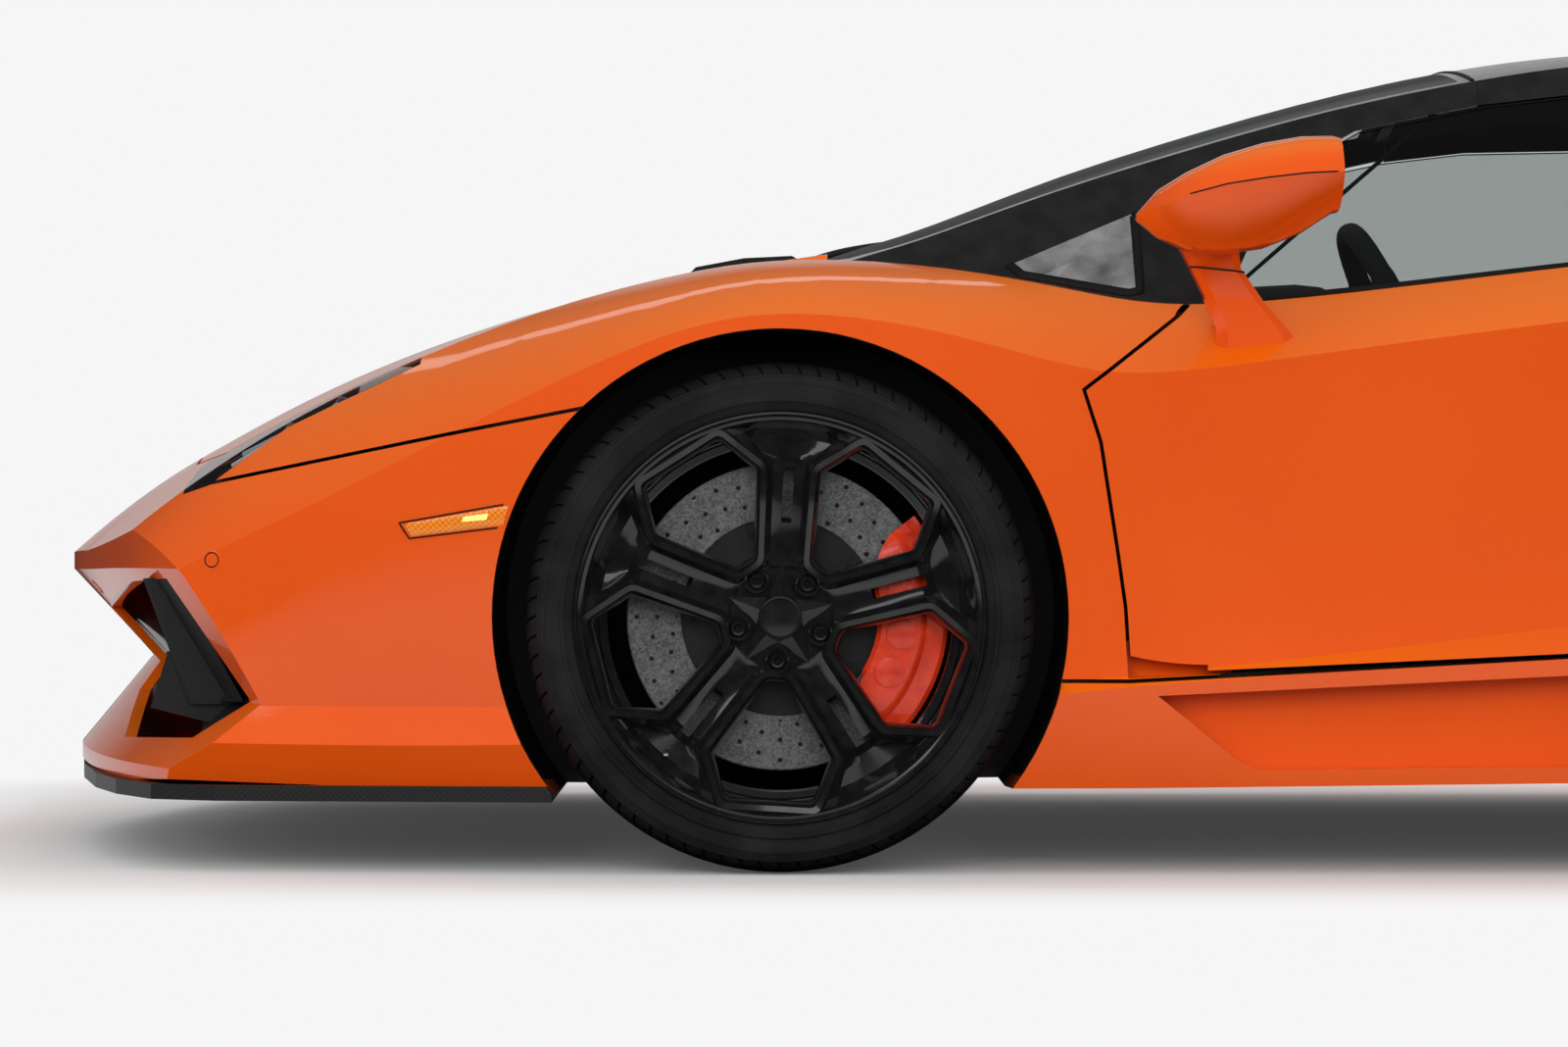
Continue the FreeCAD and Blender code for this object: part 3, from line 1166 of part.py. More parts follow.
plate_drop = 2 * size("lid_drop")
plate_top = [(along(a), up(b) - fit_gap) for a, b in DIFFUSER_SHARES[1:3]]
plate_outline = plate_top + [(x, z - plate_drop) for x, z in reversed(plate_top)]
diffuser_inner = diffuser_half - fit_gap
plate = flat_solid([Vector(x, -diffuser_inner, z) for x, z in plate_outline], Vector(0, 2 * diffuser_inner, 0))
FIN_SHARES = (-0.52, -0.35, -0.18, 0.18, 0.35, 0.52)
fins = []
for share in FIN_SHARES:
    start, end = plate_top
    fin_outline = [
        (start[0], start[1] - plate_drop / 2), (end[0], end[1] - plate_drop / 2),
        (end[0], up(fin_rear_bottom_share)), (along(fin_front_share), up(fin_front_bottom_share)),
    ]
    fin = [Vector(x, across(share), z) for x, z in fin_outline]
    fins.append(flat_solid(fin, Vector(0, size("lid_drop"), 0)))
place_shape("diffuser", plate.fuse(fins).removeSplitter())

# Door hinges: a bracket on the tub, and a pin that the door turns on
hinge_radius = size("door_hinge_radius")
pin_out = hinge_place + hinge_axis * 3 * hinge_radius
pin_in = hinge_place - hinge_axis * 3.6 * hinge_radius
bracket_y = door_inner - size("door_swing_room") - shut_gap
bracket = block(hinge_place.x - 2 * hinge_radius, size("dash_wall"), bracket_y - hinge_radius, bracket_y,
                hinge_place.z - 2 * hinge_radius, hinge_place.z + 2 * hinge_radius)
hinge = bracket.fuse(rod(pin_in, pin_out, hinge_radius)).removeSplitter()
place_shape("door_hinges", Part.makeCompound([hinge, other_side(hinge)]))

# Jacking pads under the floor
pads = []
for pad_x in (along(front_pad_share), along(rear_pad_share)):
    for pad_y in (across(under_car_edge_share), -across(under_car_edge_share)):
        pad_base = Vector(pad_x, pad_y, up(pad_floor_share) - size("jack_pad_drop"))
        stem = rod(pad_base, pad_base + Vector(0, 0, up(pad_top_share)), size("jack_pad_radius"))
        pads.append(stem.cut(body))
place_shape("jack_pads", Part.makeCompound([largest(pad, 1) for pad in pads]))

# Door mirrors
MIRROR_SHARES = [
    (1.1705, 0.746), (1.182, 0.774), (1.197, 0.797), (1.217, 0.815), (1.239, 0.828), (1.262, 0.831),
    (1.267, 0.796), (1.260, 0.747), (1.246, 0.725), (1.226, 0.703), (1.205, 0.712), (1.184, 0.728),
]
MIRROR_RINGS = [(0.905, 0.55), (0.935, 0.86), (0.985, 1.0), (1.060, 0.97), (1.100, 0.84), (1.113, 0.60)]


def mirror_head():
    centre = Vector(along(mirror_share), 0, up(mirror_height_share))
    rings = []
    for width_share, scale in MIRROR_RINGS:
        points = [Vector(centre.x + (along(a) - centre.x) * scale, across(width_share),
                         centre.z + (up(b) - centre.z) * scale) for a, b in MIRROR_SHARES]
        curve = Part.BSplineCurve()
        curve.interpolate(Points=points, PeriodicFlag=True)
        rings.append(Part.Wire(curve.toShape()))
    return Part.makeLoft(rings, True, False)


# The mirror's arm from the door skin to the head, as rings of (along, across, up)
STALK_RING_SHARES = [
    [(1.216, 0.845, 0.590), (1.254, 0.845, 0.590), (1.250, 0.915, 0.590), (1.212, 0.915, 0.590)],
    [(1.213, 0.868, 0.640), (1.246, 0.868, 0.640), (1.241, 0.925, 0.640), (1.208, 0.925, 0.640)],
    [(1.206, 0.915, 0.700), (1.229, 0.915, 0.700), (1.226, 0.945, 0.700), (1.203, 0.945, 0.700)],
    [(1.202, 0.935, 0.740), (1.228, 0.935, 0.740), (1.228, 0.985, 0.740), (1.202, 0.985, 0.740)],
]
stalk_rings = []
for ring in STALK_RING_SHARES:
    stalk_rings.append(Part.makePolygon([Vector(along(a), across(b), up(c)) for a, b, c in ring + ring[:1]]))
stalk = Part.makeLoft(stalk_rings, True, True)
mirror = stalk.cut(body).fuse(mirror_head()).removeSplitter()
mirror = largest(mirror, 1)
place_shape("mirror_left", mirror)
place_shape("mirror_right", other_side(mirror))

# Write every piece
doc.recompute()
problems = [item.Label for item in doc.Objects if "Invalid" in item.State or "Error" in item.State]
problems += [piece.Label for piece in pieces if piece.Shape.isNull() or not piece.Shape.isValid()]
if problems:
    raise SystemExit("faulty pieces: " + ", ".join(problems))
os.makedirs("parts", exist_ok=True)
for piece in pieces:
    piece.Shape.exportStep("parts/" + piece.Label + ".step")
print(len(pieces), "pieces written")
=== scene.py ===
# %% [markdown]
# Supercar
#
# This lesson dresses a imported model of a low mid-engined roadster with upward-swinging doors.
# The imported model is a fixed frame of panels, glass, wheels and structure. The lesson gives every
# panel its finish, rebuilds the wheels with their spokes, tyres and brakes in full detail, and adds
# lamps, grilles, seals, seats and trim. All sizes are in metres: +X is the nose, +Y the car's left
# and +Z up.

# %% Loading the frame
import json
import math

import bmesh
import bpy
from mathutils import Matrix, Vector
from mathutils.bvhtree import BVHTree

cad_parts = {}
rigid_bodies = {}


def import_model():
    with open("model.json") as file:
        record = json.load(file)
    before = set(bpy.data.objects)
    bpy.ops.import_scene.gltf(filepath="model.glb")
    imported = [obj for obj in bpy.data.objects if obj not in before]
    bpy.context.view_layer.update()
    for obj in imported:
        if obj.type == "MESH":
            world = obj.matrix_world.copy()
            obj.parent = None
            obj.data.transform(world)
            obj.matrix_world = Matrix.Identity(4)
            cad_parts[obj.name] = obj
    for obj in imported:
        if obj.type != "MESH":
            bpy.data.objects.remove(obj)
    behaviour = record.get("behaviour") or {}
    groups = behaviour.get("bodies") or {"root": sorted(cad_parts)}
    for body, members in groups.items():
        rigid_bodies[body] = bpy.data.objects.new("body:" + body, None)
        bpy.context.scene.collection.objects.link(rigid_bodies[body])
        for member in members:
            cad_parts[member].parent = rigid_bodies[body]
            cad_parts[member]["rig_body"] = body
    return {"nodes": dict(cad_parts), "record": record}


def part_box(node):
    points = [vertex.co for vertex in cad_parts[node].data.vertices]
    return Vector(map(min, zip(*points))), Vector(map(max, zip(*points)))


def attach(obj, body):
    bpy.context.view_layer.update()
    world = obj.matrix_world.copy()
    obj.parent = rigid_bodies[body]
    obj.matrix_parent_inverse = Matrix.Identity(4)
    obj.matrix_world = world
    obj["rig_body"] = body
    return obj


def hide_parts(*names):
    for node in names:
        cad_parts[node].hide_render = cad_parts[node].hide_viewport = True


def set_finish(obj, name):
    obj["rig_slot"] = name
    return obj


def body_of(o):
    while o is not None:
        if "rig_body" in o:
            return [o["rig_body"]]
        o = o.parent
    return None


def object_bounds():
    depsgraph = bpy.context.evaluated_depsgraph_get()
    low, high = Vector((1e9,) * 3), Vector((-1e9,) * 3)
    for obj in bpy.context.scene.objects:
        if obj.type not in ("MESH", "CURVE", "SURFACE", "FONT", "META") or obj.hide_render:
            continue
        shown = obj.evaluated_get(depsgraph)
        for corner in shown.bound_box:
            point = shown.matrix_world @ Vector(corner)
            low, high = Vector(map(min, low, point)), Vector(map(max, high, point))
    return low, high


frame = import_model()
cad_low, cad_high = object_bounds()
scene = bpy.context.scene

# %% [markdown]
# The photograph was taken from the car's left with a long lens, nearly square to the front wheel and
# just below the height of the bonnet. A long lens keeps the wheel round and the nose unstretched.
# The camera therefore stands 7.8 metres from the middle of the car, and tips down a quarter of a degree.

# %% Camera
PHOTO_WIDTH = 1600
FOCAL_PIXELS = 5423
SENSOR = 36.0
CAMERA_PLACE = Vector((1.35, 7.82, 0.48))
TIP_DOWN = math.radians(0.232)
camera_data = bpy.data.cameras.new("Studio_camera")
camera_data.sensor_width = SENSOR
camera_data.lens = SENSOR * FOCAL_PIXELS / PHOTO_WIDTH
camera = bpy.data.objects.new("Studio_camera", camera_data)
camera.location = CAMERA_PLACE
camera.rotation_euler = (math.pi / 2 - TIP_DOWN, 0, math.pi)
scene.collection.objects.link(camera)
scene.camera = camera
scene.view_settings.view_transform = "Standard"
print("lens:", round(camera_data.lens, 1), "mm")
# %% [markdown]
# The studio is a pale room. Diffuse light comes from the world, at a level that shows colours as they
# are written. Soft lamps overhead, at the sides, the nose and the tail give the body its form. The
# backdrop is the world's own colour, seen by the camera and through glass. Gloss sees it darker
# towards the horizon, as the unlit side of a studio is, and that keeps the orange of the upright
# panels deep. Behind the car gloss sees the pale backdrop again, which gives the white edge along the
# nose. All nodes here are made by one helper, which sets or links the sockets that it is told.

# %% Node helpers
def put(tree, kind, sockets={}, **settings):
    """A new shader node. Sockets are set, or linked where the value is another node's output."""
    node = tree.nodes.new("ShaderNode" + kind)
    for setting, value in settings.items():
        setattr(node, setting, value)
    for socket, value in sockets.items():
        if isinstance(value, bpy.types.NodeSocket):
            tree.links.new(value, node.inputs[socket])
        else:
            node.inputs[socket].default_value = value
    return node


def calculate(tree, operation, *values):
    """A Math node; each value is a number or another node's output."""
    return put(tree, "Math", dict(enumerate(values)), operation=operation).outputs[0]


def times(tree, first, second):
    return calculate(tree, "MULTIPLY", first, second)


def plus(tree, first, second):
    return calculate(tree, "ADD", first, second)


def mixed_by(tree, factor, first, second):
    return put(tree, "MixShader", {0: factor, 1: first.outputs[0], 2: second.outputs[0]})


def smooth_step(tree, value, start, end, low=0.0, high=1.0):
    return put(tree, "MapRange", {"Value": value, "From Min": start, "From Max": end, "To Min": low,
                                  "To Max": high}, interpolation_type="SMOOTHSTEP").outputs[0]


def grey(value):
    return (value, value, value, 1)


print("node helpers ready")

# %% World
BACKDROP = 0.92
FILL = 0.62
HORIZON_GLOSS, SHOULDER_GLOSS, TOP_GLOSS, BEHIND_GLOSS = 0.02, 0.05, 0.12, 0.48
SHOULDER_HEIGHT = 0.45
world = bpy.data.worlds.new("Studio")
scene.world = world
world.use_nodes = True
world.cycles.sampling_method = "NONE"
tree = world.node_tree
tree.nodes.clear()
rays = put(tree, "LightPath")
seen = put(tree, "Background", {"Color": grey(1), "Strength": BACKDROP})
light = put(tree, "Background", {"Color": (1.0, 0.99, 0.98, 1), "Strength": FILL})
place = put(tree, "TexCoord")
split = put(tree, "SeparateXYZ", {0: place.outputs["Generated"]})
ramp = put(tree, "ValToRGB", {"Fac": split.outputs["Z"]})
horizon, top = ramp.color_ramp.elements
horizon.position, horizon.color = 0.06, grey(HORIZON_GLOSS)
top.position, top.color = 0.85, grey(TOP_GLOSS)
ramp.color_ramp.elements.new(SHOULDER_HEIGHT).color = grey(SHOULDER_GLOSS)
behind = smooth_step(tree, split.outputs["Y"], -0.88, -0.985, high=BEHIND_GLOSS)
gloss = put(tree, "Background", {"Color": calculate(tree, "MAXIMUM", behind, ramp.outputs["Color"])})
either = calculate(tree, "MAXIMUM", rays.outputs["Is Camera Ray"], rays.outputs["Is Transmission Ray"])
unseen = mixed_by(tree, rays.outputs["Is Glossy Ray"], light, gloss)
put(tree, "OutputWorld", {"Surface": mixed_by(tree, either, unseen, seen).outputs[0]})
print("world nodes:", len(tree.nodes))

# %% Soft lamps
def softbox(name, place, aim, width, length, power, in_gloss=False):
    data = bpy.data.lights.new(name, "AREA")
    data.shape = "RECTANGLE"
    data.size, data.size_y, data.energy = width, length, power
    lamp = bpy.data.objects.new(name, data)
    lamp.location = place
    lamp.rotation_euler = (Vector(aim) - Vector(place)).to_track_quat("-Z", "Y").to_euler()
    lamp.visible_glossy = in_gloss
    scene.collection.objects.link(lamp)


softbox("Overhead_softbox", (-0.9, 0.3, 4.4), (-0.6, 0.2, 0.0), 4.0, 8.0, 62)
softbox("Side_softbox", (1.2, 6.5, 1.9), (0.8, 0.6, 0.5), 6.0, 2.2, 170)
softbox("Nose_softbox", (6.5, 1.8, 1.8), (2.0, 0.3, 0.4), 3.0, 2.0, 34)
softbox("Tail_softbox", (-6.5, -1.5, 2.4), (-2.0, 0.0, 0.6), 3.0, 2.0, 60)
softbox("Far_side_softbox", (-0.5, -6.5, 2.2), (-0.4, -0.6, 0.5), 6.0, 2.2, 130)
softbox("Edge_strip", (0.2, 4.6, 4.6), (0.4, 0.5, 0.5), 9.0, 0.35, 10, in_gloss=True)
softbox("Far_edge_strip", (0.2, -4.6, 4.6), (0.4, -0.5, 0.5), 9.0, 0.35, 10, in_gloss=True)
softbox("Wheel_strip", (3.0, 5.2, 3.1), (1.35, 0.9, 0.4), 4.0, 1.0, 22, in_gloss=True)
print("lamps:", len(bpy.data.lights))

# %% [markdown]
# The floor is one pale disc under the tyres. Near the car it catches the soft shadow, and away from
# it the camera sees it exactly as pale as the backdrop, so that no horizon shows. Bounced light sees
# it darker, so that the lower panels keep their deep colour, while gloss sees it bright beside the
# car, which gives the pale sheen low on the doors. From below it lets the camera through, so that the
# underside can be looked at too.

# %% Floor
def new_material(name):
    material = bpy.data.materials.new(name)
    material.use_nodes = True
    material.node_tree.nodes.clear()
    return material, material.node_tree


def length_of(tree, across, upward):
    squares = [times(tree, side, side) for side in (across, upward)]
    return calculate(tree, "SQRT", plus(tree, *squares))


FLOOR_SEEN = 0.8
FLOOR_BOUNCE = 0.26
FLOOR_IN_GLOSS = 0.66
GLOSS_REACH = (1.1, 3.4)
SHADOW_LIFT = 0.055
SHADOW_REACH = 0.55
FLOOR_RADIUS = 60.0
floor_material, tree = new_material("Studio_floor")
rays = put(tree, "LightPath")
seen = calculate(tree, "MAXIMUM", rays.outputs["Is Camera Ray"], rays.outputs["Is Transmission Ray"])
tint = put(tree, "Mix", data_type="RGBA")
tint.inputs["A"].default_value, tint.inputs["B"].default_value = grey(FLOOR_BOUNCE), grey(FLOOR_SEEN)
tree.links.new(seen, tint.inputs["Factor"])
matt = put(tree, "BsdfDiffuse", {"Color": tint.outputs["Result"]})
here = put(tree, "NewGeometry")
split = put(tree, "SeparateXYZ", {0: here.outputs["Position"]})
beside = []
for axis, half in (("X", 0.5 * (cad_high.x - cad_low.x)), ("Y", 0.5 * (cad_high.y - cad_low.y) - 0.1)):
    past = calculate(tree, "SUBTRACT", calculate(tree, "ABSOLUTE", split.outputs[axis]), half)
    beside.append(calculate(tree, "MAXIMUM", past, 0.0))
away = length_of(tree, *beside)
fade = smooth_step(tree, away, 0.02, SHADOW_REACH)
# Even in the shadow the floor keeps a little of its glow: a painted lift of the shadow.
bare = times(tree, calculate(tree, "MAXIMUM", fade, SHADOW_LIFT), seen)
glow = put(tree, "Emission", {"Color": grey(1), "Strength": BACKDROP})
dusk = smooth_step(tree, away, *GLOSS_REACH, FLOOR_IN_GLOSS, HORIZON_GLOSS)
sheen = put(tree, "Emission", {"Color": grey(1), "Strength": times(tree, fade, dusk)})
glossed = mixed_by(tree, rays.outputs["Is Glossy Ray"], mixed_by(tree, bare, matt, glow), sheen)
through = mixed_by(tree, here.outputs["Backfacing"], glossed, put(tree, "BsdfTransparent"))
put(tree, "OutputMaterial", {"Surface": through.outputs[0]})
floor_mesh = bpy.data.meshes.new("Floor")
shape = bmesh.new()
bmesh.ops.create_circle(shape, cap_ends=True, radius=FLOOR_RADIUS, segments=64)
shape.to_mesh(floor_mesh)
shape.free()
floor = bpy.data.objects.new("Floor", floor_mesh)
floor.location.z = cad_low.z - 0.0005
floor.data.materials.append(floor_material)
scene.collection.objects.link(floor)
print("floor at", round(floor.location.z, 4))


# %% [markdown]
# Every finish is grown from noise, in metres, so that it keeps its scale on any panel. A helper makes
# a shader with its plain numbers set on its own sockets. Three more give it colour that wanders
# between two shades, gloss that varies, and a fine relief. They share one set of coordinates.

# %% A finish and its grain
def finish_of(name, colour, roughness, **sockets):
    material, tree = new_material(name)
    shader = put(tree, "BsdfPrincipled", {"Base Color": (*colour, 1), "Roughness": roughness})
    for socket, value in sockets.items():
        shader.inputs[socket.replace("_", " ")].default_value = value
    put(tree, "OutputMaterial", {"Surface": shader.outputs["BSDF"]})
    return material, tree, shader


def own_place(tree, output="Object"):
    return put(tree, "TexCoord").outputs[output]


def noise_of(tree, scale, detail=3.0, stretch=(1, 1, 1)):
    spread = put(tree, "Mapping", {"Scale": stretch, "Vector": own_place(tree)})
    grain = put(tree, "TexNoise", {"Scale": scale, "Detail": detail, "Vector": spread.outputs["Vector"]})
    return grain.outputs["Fac"]


def cells_of(tree, scale):
    return put(tree, "TexVoronoi", {"Scale": scale, "Vector": own_place(tree)})


def shades(tree, shader, factor, low, high, start=0.35, end=0.65, socket="Base Color"):
    ramp = put(tree, "ValToRGB", {"Fac": factor})
    first, last = ramp.color_ramp.elements
    first.position, first.color = start, (*low, 1)
    last.position, last.color = end, (*high, 1)
    tree.links.new(ramp.outputs["Color"], shader.inputs[socket])
    return ramp.outputs["Color"]


def overlaid(tree, shader, factor, below, above):
    """The shader's colour is below, and above where the factor is one."""
    mix = put(tree, "Mix", data_type="RGBA")
    mix.inputs["B"].default_value = (*above, 1)
    for source, socket in ((factor, "Factor"), (below, "A")):
        tree.links.new(source, mix.inputs[socket])
    tree.links.new(mix.outputs["Result"], shader.inputs["Base Color"])


def gloss_range(tree, shader, factor, low, high):
    reach = put(tree, "MapRange", {"Value": factor, "From Min": 0.3, "From Max": 0.7, "To Min": low,
                                   "To Max": high})
    tree.links.new(reach.outputs["Result"], shader.inputs["Roughness"])


def relief(tree, shader, height, strength, depth=0.001, socket="Normal"):
    bump = put(tree, "Bump", {"Strength": strength, "Distance": depth, "Height": height})
    tree.links.new(bump.outputs["Normal"], shader.inputs[socket])


print("finish helpers ready")

# %% [markdown]
# The paint is a deep orange pearl under clear lacquer. Under the lacquer, tiny flakes vary in
# brightness, which a cell texture at half a millimetre gives. The faces that look up are painted a
# lighter gold, a painted highlight of the light from overhead. The lacquer's own surface has the faint
# ripple that painters call orange peel, as a low relief on the coat alone.

# %% Orange pearl paint
ORANGE_DEEP = (0.86, 0.088, 0.0012)
ORANGE_LIGHT = (0.94, 0.118, 0.0022)
TOP_HIGHLIGHT_GOLD = (0.96, 0.235, 0.003)
paint, tree, shader = finish_of("Orange_pearl", ORANGE_DEEP, 0.36, Metallic=0.12, Coat_Weight=0.85,
                                Coat_Roughness=0.035, Specular_IOR_Level=0.3)
flakes = put(tree, "SeparateColor", {"Color": cells_of(tree, 2200).outputs["Color"]})
mottled = plus(tree, times(tree, flakes.outputs["Red"], 0.45), times(tree, noise_of(tree, 3.0, 2.0), 0.55))
orange = shades(tree, shader, mottled, ORANGE_DEEP, ORANGE_LIGHT, 0.25, 0.8)
# Faces that look up are painted lighter gold: a painted highlight of the light from overhead.
slope = put(tree, "SeparateXYZ", {0: own_place(tree, "Normal")})
overlaid(tree, shader, smooth_step(tree, slope.outputs["Z"], 0.56, 0.98, high=0.6), orange, TOP_HIGHLIGHT_GOLD)
gloss_range(tree, shader, flakes.outputs["Green"], 0.32, 0.42)
relief(tree, shader, noise_of(tree, 260.0, 1.0), 0.05, 0.0003, "Coat Normal")
print("paint nodes:", len(tree.nodes))

# %% [markdown]
# The blacks differ by their gloss. The trims and the pillars are gloss black, the wheels are a deeper
# gloss with a thin lacquer, and the lower blades and the roof are satin carbon with its weave. The
# weave is two crossed waves, four millimetres apart, that lift in turn.

# %% Gloss blacks
gloss_black, tree, shader = finish_of("Gloss_black_trim", (0.01, 0.01, 0.0105), 0.16, Coat_Weight=0.4,
                                      Coat_Roughness=0.04, Specular_IOR_Level=0.4)
shades(tree, shader, noise_of(tree, 30.0), (0.008, 0.008, 0.0085), (0.014, 0.014, 0.0145))
gloss_range(tree, shader, noise_of(tree, 90.0), 0.12, 0.22)
relief(tree, shader, noise_of(tree, 240.0, 1.0), 0.04, 0.0003)

rim_black, tree, shader = finish_of("Gloss_black_wheel", (0.005, 0.005, 0.0055), 0.14, Coat_Weight=0.7,
                                    Coat_Roughness=0.05, Specular_IOR_Level=0.5)
shades(tree, shader, noise_of(tree, 60.0), (0.0055, 0.0055, 0.006), (0.01, 0.01, 0.0105))
gloss_range(tree, shader, noise_of(tree, 140.0), 0.1, 0.2)
relief(tree, shader, noise_of(tree, 300.0, 1.0), 0.05, 0.0003)
print("gloss blacks:", gloss_black.name, rim_black.name)

# %% Satin carbon
def weave_of(tree, pitch):
    split = put(tree, "SeparateXYZ", {0: own_place(tree)})
    slope = plus(tree, split.outputs["Y"], split.outputs["Z"])
    bands = []
    for source in (split.outputs["X"], slope):
        bands.append(calculate(tree, "SINE", times(tree, source, math.tau / pitch)))
    product = times(tree, bands[0], bands[1])
    return plus(tree, times(tree, product, 0.5), 0.5)


carbon, tree, shader = finish_of("Satin_carbon", (0.012, 0.012, 0.013), 0.45, Coat_Weight=0.25,
                                 Coat_Roughness=0.25, Specular_IOR_Level=0.4)
weave = weave_of(tree, 0.008)
shades(tree, shader, weave, (0.008, 0.008, 0.009), (0.02, 0.02, 0.021), 0.2, 0.8)
gloss_range(tree, shader, weave, 0.38, 0.55)
relief(tree, shader, weave, 0.15, 0.0003)
print("weave pitch: 8 mm over and under")

# %% [markdown]
# The side glass is clear with a light grey tint, and the windscreen is the same. Real car glass is two
# thin sheets, so light is not bent by it: a mix of a transparent and a glossy shader, weighted by
# Fresnel, shows that plainly and keeps the cabin bright. A faint film of dust varies its gloss. The
# windscreen's crown is seen dark at a steep slant, and the lamp covers have a darker tint.

# %% Glass
def glass_of(name, tint, film, haze=0.0, steep_tint=None):
    material, tree = new_material(name)
    clear = put(tree, "BsdfTransparent", {"Color": (*tint, 1)})
    shine = put(tree, "BsdfAnisotropic", {"Color": grey(GLASS_SHINE)})
    if steep_tint:
        slant = put(tree, "LayerWeight", {"Blend": 0.5}).outputs["Facing"]
        shades(tree, clear, slant, tint, steep_tint, 0.84, 0.94, "Color")
        shades(tree, shine, slant, (GLASS_SHINE,) * 3, steep_tint, 0.84, 0.94, "Color")
    gloss_range(tree, shine, noise_of(tree, 25.0), 0.0, film)
    outside = calculate(tree, "SUBTRACT", 1.0, put(tree, "NewGeometry").outputs["Backfacing"])
    edge = times(tree, put(tree, "Fresnel", {"IOR": 1.45}).outputs["Fac"], outside)
    glass = mixed_by(tree, edge, clear, shine)
    if haze:
        dust = put(tree, "BsdfDiffuse", {"Color": (0.62, 0.65, 0.67, 1)})
        patchy = times(tree, noise_of(tree, 22.0, 3.0), 2.0 * haze)
        glass = mixed_by(tree, times(tree, patchy, outside), glass, dust)
    put(tree, "OutputMaterial", {"Surface": glass.outputs[0]})
    return material


GLASS_SHINE = 0.9
window_glass = glass_of("Side_glass", (0.755, 0.775, 0.77), 0.03)
screen_glass = glass_of("Screen_glass", (0.755, 0.775, 0.77), 0.03, steep_tint=(0.16, 0.17, 0.18))
quarter_glass = glass_of("Quarter_glass", (0.6, 0.62, 0.62), 0.03, haze=0.3)
lamp_glass = glass_of("Lamp_cover", (0.62, 0.64, 0.66), 0.02)
print("glass:", window_glass.name, lamp_glass.name)

# %% [markdown]
# The tail lenses and the amber side markers are coloured plastic over a reflector, moulded inside
# with small square prisms. The prisms are a checked relief, and a little glow stands for the lamp
# behind the amber one, which the photograph shows half lit.

# %% Lamp plastics
def prism_plastic(name, low, high, glow, pitch):
    material, tree, shader = finish_of(name, low, 0.18, Coat_Weight=0.8, Coat_Roughness=0.03)
    prisms = weave_of(tree, pitch)
    shades(tree, shader, prisms, low, high, 0.1, 0.9)
    gloss_range(tree, shader, prisms, 0.12, 0.3)
    relief(tree, shader, prisms, 0.35, 0.0006)
    shader.inputs["Emission Color"].default_value = (*high, 1)
    shader.inputs["Emission Strength"].default_value = glow
    return material


tail_lens = prism_plastic("Red_lens", (0.1, 0.001, 0.001), (0.26, 0.003, 0.002), 0.05, 0.012)
tail_glow = prism_plastic("Red_light_guide", (0.85, 0.015, 0.008), (1.0, 0.04, 0.02), 0.9, 0.006)
amber_lens = prism_plastic("Amber_lens", (0.62, 0.115, 0.003), (0.86, 0.27, 0.012), 0.14, 0.008)
amber_bulb = prism_plastic("Amber_bulb", (1.0, 0.42, 0.04), (1.0, 0.72, 0.22), 0.75, 0.006)
print("lenses:", tail_lens.name, amber_lens.name)

# %% [markdown]
# Rubber is a dark grey with a dull bloom. The tyre's own origin is at its hub, so a fine serration on
# a ring of the sidewall is grown from the angle round it. Noise gives the shade that handling leaves.

# %% Rubber
def polar(tree):
    """The radius and the angle round the piece's own Y axis, in metres and radians."""
    split = put(tree, "SeparateXYZ", {0: own_place(tree)}).outputs
    return length_of(tree, split["X"], split["Z"]), calculate(tree, "ARCTAN2", split["Z"], split["X"])


def band(tree, value, low, high):
    return times(tree, calculate(tree, "GREATER_THAN", value, low), calculate(tree, "LESS_THAN", value, high))


SERRATIONS = 540
tyre_rubber, tree, shader = finish_of("Tyre_rubber", (0.011, 0.011, 0.0115), 0.62, Specular_IOR_Level=0.25)
radius, angle = polar(tree)
ridges = calculate(tree, "SINE", times(tree, angle, SERRATIONS))
ring = times(tree, ridges, band(tree, radius, 0.3035, 0.3095))
shades(tree, shader, noise_of(tree, 14.0, 6.0), (0.007, 0.007, 0.0075), (0.015, 0.015, 0.0155))
gloss_range(tree, shader, noise_of(tree, 50.0), 0.52, 0.72)
relief(tree, shader, plus(tree, ring, noise_of(tree, 500.0)), 0.25, 0.0006)
print("rubber nodes:", len(tree.nodes))

# %% [markdown]
# The brake disc is carbon ceramic: grey, matt and speckled like granite, with rows of drilled holes
# that curve outwards. The rows are worked out from the radius and the angle. Forty holes' worth of
# angle go round, each a step further in than the last, and the row starts again every 27 millimetres.

# %% Brake disc with its drilled rows
DRILL_STEPS = 40
DRILL_STEP_IN = 0.008
DRILL_ROW = DRILL_STEPS * DRILL_STEP_IN / 12
DRILL_RADIUS = 0.003
brake_disc, tree, shader = finish_of("Ceramic_disc", (0.16, 0.16, 0.165), 0.5, Specular_IOR_Level=0.4)
radius, angle = polar(tree)
steps = times(tree, angle, DRILL_STEPS / math.tau)
nearest = calculate(tree, "ROUND", steps)
sideways = times(tree, calculate(tree, "SUBTRACT", steps, nearest), radius)
sideways = times(tree, sideways, math.tau / DRILL_STEPS)
rows = calculate(tree, "DIVIDE", plus(tree, radius, times(tree, nearest, DRILL_STEP_IN)), DRILL_ROW)
upward = times(tree, calculate(tree, "SUBTRACT", rows, calculate(tree, "ROUND", rows)), DRILL_ROW)
round_hole = calculate(tree, "LESS_THAN", length_of(tree, sideways, upward), DRILL_RADIUS)
hole_shade_and_dent = times(tree, round_hole, band(tree, radius, 0.134, 0.193))
chips = put(tree, "SeparateColor", {"Color": cells_of(tree, 420).outputs["Color"]})
